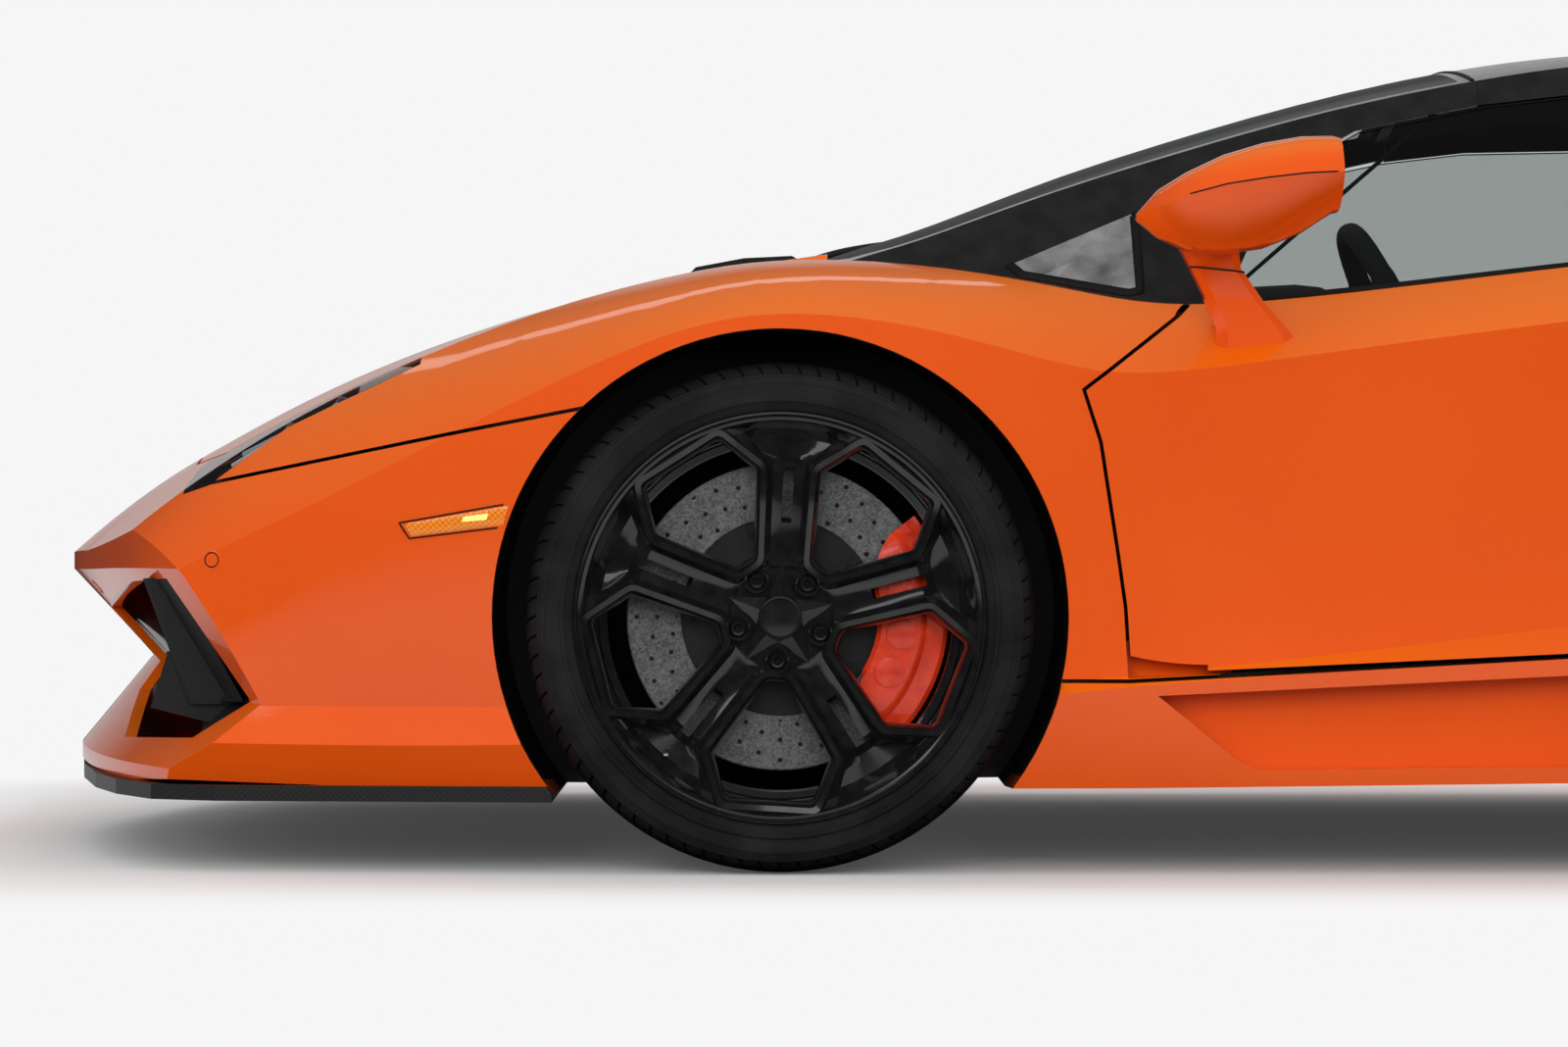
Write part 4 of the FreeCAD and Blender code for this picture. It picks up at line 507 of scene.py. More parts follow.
worn = plus(tree, times(tree, chips.outputs["Red"], 0.6), times(tree, noise_of(tree, 40.0), 0.4))
stone = shades(tree, shader, worn, (0.05, 0.051, 0.053), (0.16, 0.163, 0.167), 0.15, 0.85)
# The holes are not cut: each is painted near black, a painted shade of its depth, and sunk a little by the relief.
overlaid(tree, shader, hole_shade_and_dent, stone, (0.004, 0.004, 0.004))
gloss_range(tree, shader, chips.outputs["Green"], 0.4, 0.62)
relief(tree, shader, calculate(tree, "SUBTRACT", worn, times(tree, hole_shade_and_dent, 4.0)), 0.2, 0.0004)
print("drilled rows:", 12, "of holes", round(2000 * DRILL_RADIUS, 1), "mm wide")

# %% [markdown]
# The calipers are red enamel on cast metal, so the relief is the faint grain of the casting. The
# metals are told apart by colour and by how they were made: cast alloy is mottled, steel is darker,
# plated metal is paler, and the exhaust's steel is tanned by heat.

# %% Enamel and metals
caliper_red, tree, shader = finish_of("Caliper_enamel", (0.62, 0.022, 0.006), 0.25, Coat_Weight=0.6,
                                      Coat_Roughness=0.06)
shades(tree, shader, noise_of(tree, 35.0), (0.62, 0.026, 0.006), (0.8, 0.05, 0.01))
gloss_range(tree, shader, noise_of(tree, 120.0), 0.2, 0.34)
relief(tree, shader, noise_of(tree, 350.0), 0.12, 0.0004)


def grained(name, low, high, rough_low, rough_high, scale, bump, detail=5.0, depth=0.0005, **sockets):
    material, tree, shader = finish_of(name, low, rough_low, **sockets)
    grain = noise_of(tree, scale, detail)
    shades(tree, shader, grain, low, high)
    gloss_range(tree, shader, grain, rough_low, rough_high)
    relief(tree, shader, grain, bump, depth)
    return material


def metal_of(name, low, high, rough_low, rough_high, scale, bump=0.12):
    return grained(name, low, high, rough_low, rough_high, scale, bump, 4.0, 0.0003, Metallic=1.0)


alloy = metal_of("Cast_alloy", (0.36, 0.36, 0.37), (0.52, 0.52, 0.53), 0.35, 0.55, 220)
engine_alloy = metal_of("Engine_alloy", (0.2, 0.2, 0.21), (0.36, 0.36, 0.37), 0.4, 0.6, 150, 0.2)
steel = metal_of("Steel", (0.22, 0.22, 0.23), (0.34, 0.34, 0.35), 0.28, 0.5, 300)
bright_metal = metal_of("Bright_metal", (0.72, 0.72, 0.74), (0.86, 0.86, 0.87), 0.1, 0.22, 400, 0.05)
burnt_steel = metal_of("Burnt_steel", (0.3, 0.26, 0.22), (0.46, 0.42, 0.38), 0.22, 0.4, 90, 0.1)
print("metals:", len([alloy, engine_alloy, steel, bright_metal, burnt_steel]))

# %% [markdown]
# The cabin is lined in black leather, with fine creased grain: a cell texture, blurred by noise, as
# the relief. Thread, roof cloth, rubber and dark plastics each have their own grain.

# %% Cabin finishes
leather, tree, shader = finish_of("Black_leather", (0.012, 0.012, 0.013), 0.5, Specular_IOR_Level=0.4,
                                  Sheen_Weight=0.05)
creases = plus(tree, cells_of(tree, 520).outputs["Distance"], times(tree, noise_of(tree, 60.0), 0.6))
shades(tree, shader, creases, (0.008, 0.008, 0.009), (0.02, 0.02, 0.021), 0.2, 1.0)
gloss_range(tree, shader, creases, 0.42, 0.6)
relief(tree, shader, creases, 0.4, 0.0005)
thread = grained("Orange_thread", (0.62, 0.1, 0.01), (0.8, 0.16, 0.02), 0.5, 0.7, 900, 0.4)
carpet = grained("Floor_carpet", (0.01, 0.01, 0.011), (0.028, 0.028, 0.03), 0.85, 0.95, 900, 0.9)
dark_plastic = grained("Dark_plastic", (0.01, 0.01, 0.011), (0.022, 0.022, 0.023), 0.5, 0.68, 600, 0.3,
                       Specular_IOR_Level=0.35)
seal_rubber = grained("Seal_rubber", (0.006, 0.006, 0.006), (0.012, 0.012, 0.012), 0.45, 0.6, 400, 0.2,
                      Specular_IOR_Level=0.3)
mirror_glass = metal_of("Mirror_glass", (0.8, 0.81, 0.82), (0.84, 0.85, 0.86), 0.01, 0.03, 20, 0.0)
white_light = grained("White_light_guide", (0.72, 0.74, 0.76), (0.86, 0.88, 0.9), 0.2, 0.3, 200, 0.1,
                      Coat_Weight=0.8)
screen_dark = grained("Dark_screen", (0.004, 0.005, 0.007), (0.008, 0.01, 0.014), 0.06, 0.12, 10, 0.0,
                      Coat_Weight=0.6)
print("cabin finishes:", leather.name, thread.name, carpet.name)

# %% [markdown]
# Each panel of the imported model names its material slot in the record. The finishes go on by that
# name, and the same table dresses the new pieces.

# %% Dressing the panels
FINISH_OF_SLOT = {
    "paint": paint, "carbon": carbon, "gloss_black": gloss_black, "window_glass": window_glass,
    "lamp_glass": lamp_glass, "tail_lens": tail_lens, "tyre_rubber": tyre_rubber, "rim_black": rim_black,
    "brake_disc": brake_disc, "caliper_red": caliper_red, "alloy": alloy, "engine_alloy": engine_alloy,
    "steel": steel, "leather_black": leather,
}
OWN_FINISH = {"quarter_windows": quarter_glass, "windscreen": screen_glass, "intake_blades": dark_plastic}
slot_of_node = {row["node"]: row["material_slot"] for row in frame["record"]["subparts"]}
body_of_node = {}
for name, node in frame["nodes"].items():
    node.data.materials.clear()
    node.data.materials.append(OWN_FINISH.get(name, FINISH_OF_SLOT[slot_of_node[name]]))
    body_of_node[name] = body_of(node)[0]
print("dressed:", len(body_of_node), "panels")

# %% [markdown]
# New pieces are written as points and faces in the car's own frame. One helper makes the mesh, keeps
# creases sharp where two faces meet at more than a set angle, tells the frame which body carries the
# piece and which slot it is finished as, and hides the imported nodes that it stands for. A second one
# also makes the twin on the other side of the car, by turning the sign of Y.

# %% Making a piece
def enrol(piece, body, slot, stands_for):
    scene.collection.objects.link(piece)
    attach(piece, body)
    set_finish(piece, slot)
    if stands_for:
        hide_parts(*stands_for)
    return piece


def make_piece(name, form, finish, slot, body="body", stands_for=(), origin=(0, 0, 0), crease=32, thick=0.0,
               round_edge=0.0, padding=None):
    points, faces = form
    mesh = bpy.data.meshes.new(name)
    shift = Vector(origin)
    mesh.from_pydata([Vector(point) - shift for point in points], [], faces)
    shape = bmesh.new()
    shape.from_mesh(mesh)
    bmesh.ops.remove_doubles(shape, verts=shape.verts, dist=1e-6)
    bmesh.ops.recalc_face_normals(shape, faces=shape.faces)
    for face in shape.faces:
        face.smooth = True
    for edge in shape.edges:
        if edge.is_manifold and edge.calc_face_angle(0) > math.radians(crease):
            edge.smooth = False
    shape.to_mesh(mesh)
    shape.free()
    mesh.materials.append(finish)
    piece = bpy.data.objects.new(name, mesh)
    piece.location = shift
    if thick:
        piece.modifiers.new("Thickness", "SOLIDIFY").thickness = thick
    if round_edge:
        bevel = piece.modifiers.new("Edges", "BEVEL")
        bevel.width = round_edge
        bevel.segments = 2
        bevel.limit_method = "ANGLE"
        bevel.harden_normals = True
    return enrol(piece, body, slot, stands_for)


def twin(piece, name, body, stands_for):
    """The same piece on the car's other side."""
    mesh = piece.data.copy()
    mesh.name = name
    mesh.transform(Matrix.Diagonal((1, -1, 1, 1)))
    mesh.flip_normals()
    other = bpy.data.objects.new(name, mesh)
    place = piece.matrix_world.translation
    other.location = (place.x, -place.y, place.z)
    for modifier in piece.modifiers:
        copy = other.modifiers.new(modifier.name, modifier.type)
        for key in ("thickness", "width", "segments", "limit_method", "harden_normals"):
            if hasattr(modifier, key):
                setattr(copy, key, getattr(modifier, key))
    return enrol(other, body, piece["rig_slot"], stands_for)


def pair(name, form, finish, slot, body="body", stands_for=(), padding=None, **more):
    """A piece on the car's left and its twin on the right, each on its own side's body."""
    left = make_piece(name + "_left", form, finish, slot, body, stands_for, padding=padding, **more)
    bpy.context.view_layer.update()
    twins_nodes = [node.replace("left", "right") for node in stands_for if "left" in node]
    twin(left, name + "_right", body.replace("left", "right"), twins_nodes)
    return left


# %% [markdown]
# Most pieces are one of three surfaces: a grid of points joined by quads, a ring of rings (a loft),
# or a profile turned round an axis. The first gives the faces for all of them.

# %% Grids, lofts and turned profiles
def grid_faces(rows, columns, close_rows=False, close_columns=False, start=0, skip=()):
    faces = []
    for row in range(rows if close_rows else rows - 1):
        for column in range(columns if close_columns else columns - 1):
            if (row, column) in skip:
                continue
            next_row, next_column = (row + 1) % rows, (column + 1) % columns
            faces.append((start + row * columns + column, start + row * columns + next_column,
                          start + next_row * columns + next_column, start + next_row * columns + column))
    return faces


def loft(rings, cap=True, start=0):
    """Closed rings of equally many points, joined one to the next, with flat ends."""
    points = [point for ring in rings for point in ring]
    count = len(rings[0])
    faces = grid_faces(len(rings), count, close_columns=True, start=start)
    if cap:
        faces.append(tuple(start + index for index in range(count)))
        faces.append(tuple(start + (len(rings) - 1) * count + index for index in range(count)))
    return points, faces


def join_parts(*parts):
    points, faces = [], []
    for part_points, part_faces in parts:
        shift = len(points)
        points += list(part_points)
        faces += [tuple(shift + index for index in face) for face in part_faces]
    return points, faces


def turned(profile, centre, axis, steps=48, close_profile=False):
    """A profile of (radius, way along the axis) turned round the axis through the centre."""
    along = Vector(axis).normalized()
    side = along.orthogonal().normalized()
    other = along.cross(side)
    points = []
    for step in range(steps):
        turn = math.tau * step / steps
        out = side * math.cos(turn) + other * math.sin(turn)
        points += [Vector(centre) + out * radius + along * way for radius, way in profile]
    return points, grid_faces(steps, len(profile), close_rows=True, close_columns=close_profile)


def tube(path, radius, steps=10):
    """A round bar along a path of points, with flat ends."""
    rings = []
    for index, point in enumerate(path):
        before = Vector(path[max(index - 1, 0)])
        after = Vector(path[min(index + 1, len(path) - 1)])
        along = (after - before).normalized()
        side = along.cross(Vector((0, 0, 1)) if abs(along.z) < 0.9 else Vector((1, 0, 0))).normalized()
        other = along.cross(side)
        rings.append([Vector(point) + side * radius * math.cos(math.tau * step / steps)
                      + other * radius * math.sin(math.tau * step / steps) for step in range(steps)])
    return loft(rings)


def between(table, value):
    """Reads a table of (place, amount) pairs, in a straight line from one to the next."""
    if value <= table[0][0]:
        return table[0][1]
    for (start, low), (end, high) in zip(table, table[1:]):
        if value <= end:
            return low + (high - low) * (value - start) / (end - start)
    return table[-1][1]


print("helpers ready")

# %% [markdown]
# # Wheels
# The wheel is what the photograph shows best, so it gets the most care. A place on a wheel is given by
# its radius, its turn as the photograph shows it (0 to the tail, 90 straight up) and how far outward
# it lies from the wheel's middle plane. Each axle has its own tyre, rim and track.

# %% Places on a wheel
AXLES = {
    "front": {"x": 1.355, "track": 0.86, "tyre": 0.3305, "half": 0.1275, "flange": 0.266, "inside": 0.247},
    "rear": {"x": -1.345, "track": 0.825, "tyre": 0.3545, "half": 0.1675, "flange": 0.279, "inside": 0.26},
}
BEAD_SHARE = 0.86
FIRST_WINDOW = -93.5
WINDOWS = 5
WINDOW_STEP = 360 / WINDOWS


def wheel_centre(axle):
    return Vector((axle["x"], axle["track"], axle["tyre"]))


def on_wheel(axle, radius, turn, outward):
    angle = math.radians(turn)
    return wheel_centre(axle) + Vector((-radius * math.cos(angle), outward, radius * math.sin(angle)))


def wheel_turned(axle, profile, steps, close_profile=False):
    points = [on_wheel(axle, radius, 360 * step / steps, outward) for step in range(steps)
              for radius, outward in profile]
    return points, grid_faces(steps, len(profile), close_rows=True, close_columns=close_profile)


def raised(profile, level):
    """A profile of (radius, outward) pairs, moved outward by a level."""
    return [(radius, level + way) for radius, way in profile]


print("front wheel centre:", [round(value, 3) for value in wheel_centre(AXLES["front"])])

# %% [markdown]
# Each wheel has five windows. A window is a six-sided opening: narrow at the hub, widest at
# four fifths of the radius and closing again towards the rim. A raised rib runs all round it. So the
# face is built from loops that follow the window at growing distances, each at its own depth: the
# back edge, the bevel, the flat top of the rib, and its foot. Corners are rounded by a small arc, and
# the long sides get extra points, so that every loop has the same count.

# %% Window loops
WINDOW_CORNERS = [(0.33, 9.5), (0.785, 24.3), (0.995, 13.6)]
SIDE_STEPS = (0, 9, 4, 2)
RIB_LOOPS = [(-3.0, -34.0), (-3.0, -11.0), (-0.5, -5.0), (3.5, 0.0), (10.5, 0.6), (14.0, -4.5)]


def half_window(inside, grow):
    """Half of a window's outline as (across, out) pairs in metres, from the hub end to the rim end."""
    corners = []
    for share, turn in WINDOW_CORNERS:
        radius = share * inside
        corners.append(Vector((radius * math.sin(math.radians(turn)), radius * math.cos(math.radians(turn)))))
    line = [Vector((-corners[0].x, corners[0].y)), *corners, Vector((-corners[2].x, corners[2].y))]
    moved = []
    for before, corner, after in zip(line, line[1:], line[2:]):
        first = (corner - before).normalized()
        second = (after - corner).normalized()
        normal = Vector((first.y, -first.x)) + Vector((second.y, -second.x))
        normal = normal.normalized()
        miter = grow / max(normal.dot(Vector((first.y, -first.x))), 0.3)
        moved.append(corner + normal * miter)
    stops = [Vector((0, moved[0].y)), *moved, Vector((0, moved[2].y))]
    soft = 0.006 + 0.35 * max(grow, 0.0)
    points = [stops[0]]
    for index in range(1, 4):
        before, corner, after = stops[index - 1], stops[index], stops[index + 1]
        start = corner + (before - corner).normalized() * min(soft, 0.45 * (before - corner).length)
        end = corner + (after - corner).normalized() * min(soft, 0.45 * (after - corner).length)
        gap_start = points[-1]
        for step in range(SIDE_STEPS[index - 1]):
            points.append(gap_start.lerp(start, (step + 1) / (SIDE_STEPS[index - 1] + 1)))
        for step in range(4):
            share = step / 3
            points.append((1 - share) ** 2 * start + 2 * share * (1 - share) * corner + share ** 2 * end)
    gap_start = points[-1]
    for step in range(SIDE_STEPS[3]):
        points.append(gap_start.lerp(stops[4], (step + 1) / (SIDE_STEPS[3] + 1)))
    points.append(stops[4])
    return points


print("points on half a window:", len(half_window(0.247, 0.0)))

# %% [markdown]
# Between two windows the twin ribs run outward side by side, with a deep trough between them, an open
# slot through its middle, and a pocket behind the rim at its end. The trough is a grid that spans from
# one window's foot loop to its neighbour's, at depths read from a table of radii.

# %% The spoked face
FACE_DEPTH = [(0.0, -0.02), (0.064, -0.02), (0.153, -0.006), (0.24, -0.001), (0.258, 0.0035), (0.3, 0.0035)]
TROUGH_DEPTH = [(0.06, 0.0045), (0.072, 0.009), (0.11, 0.015), (0.19, 0.019), (0.205, 0.034), (0.238, 0.036),
                (0.249, 0.012), (0.256, 0.003)]
TROUGH_SHARES = [0.0, 0.1, 0.24, 0.36, 0.5, 0.64, 0.76, 0.9, 1.0]
TROUGH_WEIGHTS = [0.0, 0.75, 0.97, 1.0, 1.0, 1.0, 0.97, 0.75, 0.0]
SLOT_SPAN = (0.118, 0.2)
FACE_BACK = 0.034


def face_depth(axle, radius):
    scale = 0.247 / axle["inside"]
    return BEAD_SHARE * axle["half"] + between(FACE_DEPTH, radius * scale)


def window_point(axle, axis, across, out, depth):
    radius = math.hypot(across, out)
    return on_wheel(axle, radius, axis + math.degrees(math.atan2(across, out)), face_depth(axle, radius) + depth)


def spoked_face(axle):
    points, faces = [], []
    halves = [half_window(axle["inside"], grow / 1000) for grow, depth in RIB_LOOPS]
    count = len(halves[0])
    for window in range(WINDOWS):
        axis = FIRST_WINDOW + WINDOW_STEP * window
        start = len(points)
        for half, (grow, depth) in zip(halves, RIB_LOOPS):
            whole = half + [Vector((-point.x, point.y)) for point in reversed(half[1:-1])]
            points += [window_point(axle, axis, point.x, point.y, depth / 1000) for point in whole]
        faces += grid_faces(len(RIB_LOOPS), 2 * count - 2, close_columns=True, start=start)
        start = len(points)
        slot_rows = []
        for row, point in enumerate(halves[-1]):
            radius = math.hypot(point.x, point.y)
            lean = math.degrees(math.atan2(point.x, point.y))
            edge_depth = RIB_LOOPS[-1][1] / 1000
            drop = between(TROUGH_DEPTH, radius * 0.247 / axle["inside"])
            for share, weight in zip(TROUGH_SHARES, TROUGH_WEIGHTS):
                turn = axis + lean + (WINDOW_STEP - 2 * lean) * share
                depth = edge_depth * (1 - weight) - drop * weight if weight else edge_depth
                points.append(on_wheel(axle, radius, turn, face_depth(axle, radius) + depth))
            if SLOT_SPAN[0] < radius * 0.247 / axle["inside"] < SLOT_SPAN[1]:
                slot_rows.append(row)
        columns = len(TROUGH_SHARES)
        first, last = slot_rows[0], slot_rows[-1]
        skip = {(row, column) for row in range(first, last) for column in (3, 4)}
        faces += grid_faces(count, columns, start=start, skip=skip)
        ring = [(row, 3) for row in range(first, last + 1)] + [(last, 4)]
        ring += [(row, 5) for row in range(last, first - 1, -1)] + [(first, 4)]
        wall = len(points)
        for row, column in ring:
            point = points[start + row * columns + column].copy()
            point.y = axle["track"] + face_depth(axle, 0.15) - FACE_BACK
            points.append(point)
        for index in range(len(ring)):
            follow = (index + 1) % len(ring)
            faces.append((start + ring[index][0] * columns + ring[index][1],
                          start + ring[follow][0] * columns + ring[follow][1], wall + follow, wall + index))
    return points, faces


# %% [markdown]
# The hub is a shallow dish between the ribs' feet. In it stand the plain centre cap, a five-pointed
# star whose arms point along the spokes, and five bolts in round cups, one on each window's axis.

# %% Hub, star, cap and bolts
HUB_EDGE = 0.0665
HUB_DROP = 0.0095
CAP_RADIUS = 0.0285
STAR_TIP = 0.071
BOLT_CIRCLE = 0.056
STAR = [(CAP_RADIUS - 0.001, 0, 0.0012), (STAR_TIP, 0, 0.007), (CAP_RADIUS + 0.003, -WINDOW_STEP / 2, 0.0075),
        (CAP_RADIUS + 0.003, WINDOW_STEP / 2, 0.0075), (STAR_TIP + 0.002, 0, 0.0105),
        (CAP_RADIUS + 0.005, -WINDOW_STEP / 2, 0.011), (CAP_RADIUS + 0.005, WINDOW_STEP / 2, 0.011)]


def hub_dish(axle):
    scale = axle["inside"] / 0.247
    level = face_depth(axle, 0.0)
    profile = [(HUB_EDGE * scale + 0.0015, level - 0.005), (HUB_EDGE * scale - 0.002, level - HUB_DROP),
               (0.045, level - HUB_DROP - 0.001), (0.03, level - HUB_DROP), (0.0004, level - HUB_DROP)]
    return wheel_turned(axle, profile, 60)


def hub_star(axle):
    level = face_depth(axle, 0.0)
    points, faces = [], []
    for arm in range(WINDOWS):
        axis = FIRST_WINDOW + WINDOW_STEP * (arm + 0.5)
        start = len(points)
        points += [on_wheel(axle, radius, axis + turn, level - drop) for radius, turn, drop in STAR]
        faces += [(start, start + 1, start + 2), (start, start + 3, start + 1),
                  (start + 1, start + 4, start + 5, start + 2), (start + 3, start + 6, start + 4, start + 1)]
    return points, faces


def hub_cap(axle):
    profile = [(CAP_RADIUS, -0.01), (CAP_RADIUS, 0.001), (CAP_RADIUS - 0.0014, 0.0024), (CAP_RADIUS - 0.0032, 0.0022),
               (CAP_RADIUS - 0.0046, 0.0008), (0.018, 0.0014), (0.009, 0.002), (0.0004, 0.0022)]
    return wheel_turned(axle, raised(profile, face_depth(axle, 0.0)), 60)


def wheel_bolts(axle):
    level = face_depth(axle, 0.0)
    parts = []
    for bolt in range(WINDOWS):
        centre = on_wheel(axle, BOLT_CIRCLE, FIRST_WINDOW + WINDOW_STEP * bolt, 0.0)
        socket = [(0.0004, -0.0085), (0.005, -0.0085), (0.0052, -0.0022), (0.0062, -0.0012), (0.0086, -0.0014),
                  (0.0094, -0.0026), (0.0096, -0.012), (0.0118, -0.0125), (0.0132, -0.006), (0.014, -0.0004),
                  (0.0152, 0.0004), (0.0164, -0.0008), (0.0168, -0.012)]
        parts.append(turned(raised(socket, level), centre, (0, 1, 0), 24))
    return join_parts(*parts)


# %% [markdown]
# Behind the face is the barrel. Its mouth slopes inward to a step, and on the slope each window has a
# raised arched pad, which the photograph shows as two bright arcs. The flange's lip stands proud of
# the tyre's bead all round, and a plain valve stands in the barrel.

# %% Barrel and lip
def barrel(axle):
    bead = BEAD_SHARE * axle["half"]
    inside, flange = axle["inside"], axle["flange"]
    profile = [
        (inside + 0.0085, bead + 0.003), (inside + 0.012, bead + 0.0045), (flange - 0.005, bead + 0.006),
        (flange - 0.0034, bead + 0.0088), (flange - 0.0008, bead + 0.0094), (flange + 0.0004, bead + 0.008),
        (flange + 0.0004, bead + 0.0005), (flange - 0.01, bead - 0.0015), (flange - 0.01, -bead),
        (flange, -bead), (flange, -bead - 0.0085), (inside, -bead - 0.0085), (inside - 0.006, -bead + 0.01),
        (inside - 0.009, 0.0), (inside - 0.0095, bead - 0.062), (inside - 0.0235, bead - 0.052),
        (inside - 0.0225, bead - 0.045), (inside - 0.004, bead - 0.036), (inside - 0.001, bead - 0.018),
        (inside + 0.006, bead - 0.002),
    ]
    return wheel_turned(axle, profile, 144, close_profile=True)


def arched_pads(axle):
    bead = BEAD_SHARE * axle["half"]
    inside = axle["inside"]
    parts = []
    for window in range(WINDOWS):
        axis = FIRST_WINDOW + WINDOW_STEP * window
        for low, high, reach in ((0.0205, 0.0115, 15.5), (0.0085, 0.0045, 14.0)):
            rings = []
            for step in range(17):
                turn = axis - reach + 2 * reach * step / 16
                base_low = bead - 0.036 - 0.009 * (low - 0.004) / 0.0185
                base_high = bead - 0.036 - 0.009 * (high - 0.004) / 0.0185
                rings.append([on_wheel(axle, inside - low, turn, base_low - 0.002),
                              on_wheel(axle, inside - low + 0.0008, turn, base_low + 0.003),
                              on_wheel(axle, inside - high - 0.0008, turn, base_high + 0.003),
                              on_wheel(axle, inside - high, turn, base_high - 0.002)])
            parts.append(loft(rings))
    return join_parts(*parts)


def wheel_valve(axle):
    bead = BEAD_SHARE * axle["half"]
    centre = on_wheel(axle, axle["inside"] - 0.017, FIRST_WINDOW - 36.5, 0.0)
    profile = [(0.0004, -0.02), (0.003, -0.0205), (0.0036, -0.0225), (0.0036, -0.034), (0.0026, -0.035),
               (0.0026, -0.046), (0.005, -0.047), (0.0055, -0.056)]
    return turned(raised(profile, bead), centre, (0, 1, 0), 16)


print("barrel points:", len(barrel(AXLES["front"])[0]))

# %% [markdown]
# The tyre is one profile turned round the hub, but its tread is cut as it goes: eighty slanted
# grooves cross the shoulder, and four straight ones run round the tread. Around each slanted groove
# the mesh has its own close columns, so that the groove's walls stand steep. The sidewall carries a
# rim guard, two fine rings and, towards the tread, a low step.

# %% Tyre
TREAD_BLOCKS = 80
GROOVE_COLUMNS = (0.0, 0.1, 0.62, 0.72, 2.6)
GROOVE_DEPTH = 0.0042
GROOVE_SLANT = 62.0


def tyre_profile(axle):
    """Half the section, from the bead to the middle of the tread, as (radius, outward)."""
    flange, half, outer = axle["flange"], axle["half"], axle["tyre"]
    wall = outer - flange
    shares = [(-0.06, 0.87), (0.01, 0.905), (0.06, 0.93), (0.12, 0.948), (0.17, 0.966), (0.215, 0.988),
              (0.26, 0.99), (0.29, 0.976), (0.32, 0.974), (0.4, 0.984), (0.5, 0.992), (0.545, 0.994),
              (0.555, 0.999), (0.575, 0.999), (0.585, 0.992), (0.65, 0.985), (0.69, 0.978), (0.7, 0.984),
              (0.735, 0.979), (0.745, 0.97), (0.8, 0.945), (0.85, 0.912), (0.895, 0.868), (0.93, 0.815),
              (0.96, 0.745), (0.982, 0.665), (0.985, 0.63)]
    profile = [(flange + share * wall, out * half) for share, out in shares]
    for low, high in ((0.53, 0.47), (0.18, 0.12)):
        profile += [(outer - 0.0008, (low + 0.01) * half), (outer - 0.0068, low * half - 0.0006),
                    (outer - 0.0068, high * half + 0.0006), (outer - 0.0006, (high - 0.01) * half)]
    profile.append((outer, 0.0))
    return profile


def tyre_shape(axle):
    half_profile = tyre_profile(axle)
    profile = half_profile + [(radius, -out) for radius, out in reversed(half_profile[:-1])]
    cut_from = axle["flange"] + 0.79 * (axle["tyre"] - axle["flange"])
    points = []
    for block in range(TREAD_BLOCKS):
        for place, offset in enumerate(GROOVE_COLUMNS):
            turn = 360 * block / TREAD_BLOCKS + offset
            for radius, out in profile:
                low = 1.0 if place in (1, 2) and radius > cut_from and abs(out) > 0.2 * axle["half"] else 0.0
                slant = max(abs(out) / axle["half"] - 0.3, 0.0) * axle["half"] * 1000 * GROOVE_SLANT / 1000
                way = 1 if out > 0 else -1
                points.append(on_wheel(axle, radius - low * GROOVE_DEPTH, turn - way * slant,
                                       out - way * GROOVE_DEPTH * low * 0.5))
    return points, grid_faces(TREAD_BLOCKS * len(GROOVE_COLUMNS), len(profile), close_rows=True)


print("tyre columns:", TREAD_BLOCKS * len(GROOVE_COLUMNS))

# %% [markdown]
# Behind the spokes sits the brake disc: a friction ring with a vented edge, and a darker bell that is
# held to the ring by small round bobbins. The ring and the bell are two pieces, since the ring alone
# is drilled.

# %% Discs
DISC_FACE = 0.04


RING_PROFILE = [(0.129, 0.0), (0.13, 0.0006), (0.198, 0.0006), (0.1998, -0.0012), (0.1998, -0.01), (0.194, -0.0115),
                (0.194, -0.0255), (0.1998, -0.027), (0.1998, -0.036), (0.13, -0.0365), (0.129, -0.035)]
BELL_PROFILE = [(0.1288, -0.03), (0.1288, -0.003), (0.108, -0.0036), (0.096, -0.002), (0.086, 0.001)]
BOBBIN_PROFILE = [(0.0004, 0.0012), (0.004, 0.001), (0.0052, -0.0004), (0.0078, -0.0006), (0.0084, -0.004)]


def disc_ring(axle):
    return wheel_turned(axle, raised(RING_PROFILE, DISC_FACE), 96, close_profile=True)


def disc_bell(axle):
    hub = face_depth(axle, 0.0) - FACE_BACK
    profile = raised(BELL_PROFILE, DISC_FACE) + raised(
        [(0.0815, -0.008), (0.078, -0.0015), (0.03, -0.0012), (0.03, -0.008)], hub)
    parts = [wheel_turned(axle, profile, 96)]
    for bobbin in range(10):
        centre = on_wheel(axle, 0.1185, 36 * bobbin, 0.0)
        parts.append(turned(raised(BOBBIN_PROFILE, DISC_FACE), centre, (0, 1, 0), 16))
    return join_parts(*parts)


# %% [markdown]
# The caliper straddles the disc on the tail side of the axle. Its shape is a section like a U, swept
# along the disc's edge and tapered to both ends. The outer face has a broad plain field, where the
# real one is lettered and this one is bare, then a step down to the bridge. Two bolts, three round
# bosses and the dark pads inside finish it.

# %% Calipers
CALIPER_SECTION = [
    (0.0, 0.0455), (0.0, 0.0525), (0.006, 0.0565), (0.052, 0.0578), (0.058, 0.056), (0.064, 0.051),
    (0.086, 0.0475), (0.0915, 0.043), (0.0915, -0.02), (0.084, -0.028), (0.006, -0.028), (0.0, -0.024),
    (0.0, -0.0015), (0.0765, -0.0015), (0.0765, 0.0455),
]
CALIPER_FOOT = 0.127
CALIPER_TAPER = [(0.0, 0.0), (0.55, 0.0), (0.8, 0.012), (0.93, 0.03), (1.0, 0.052)]


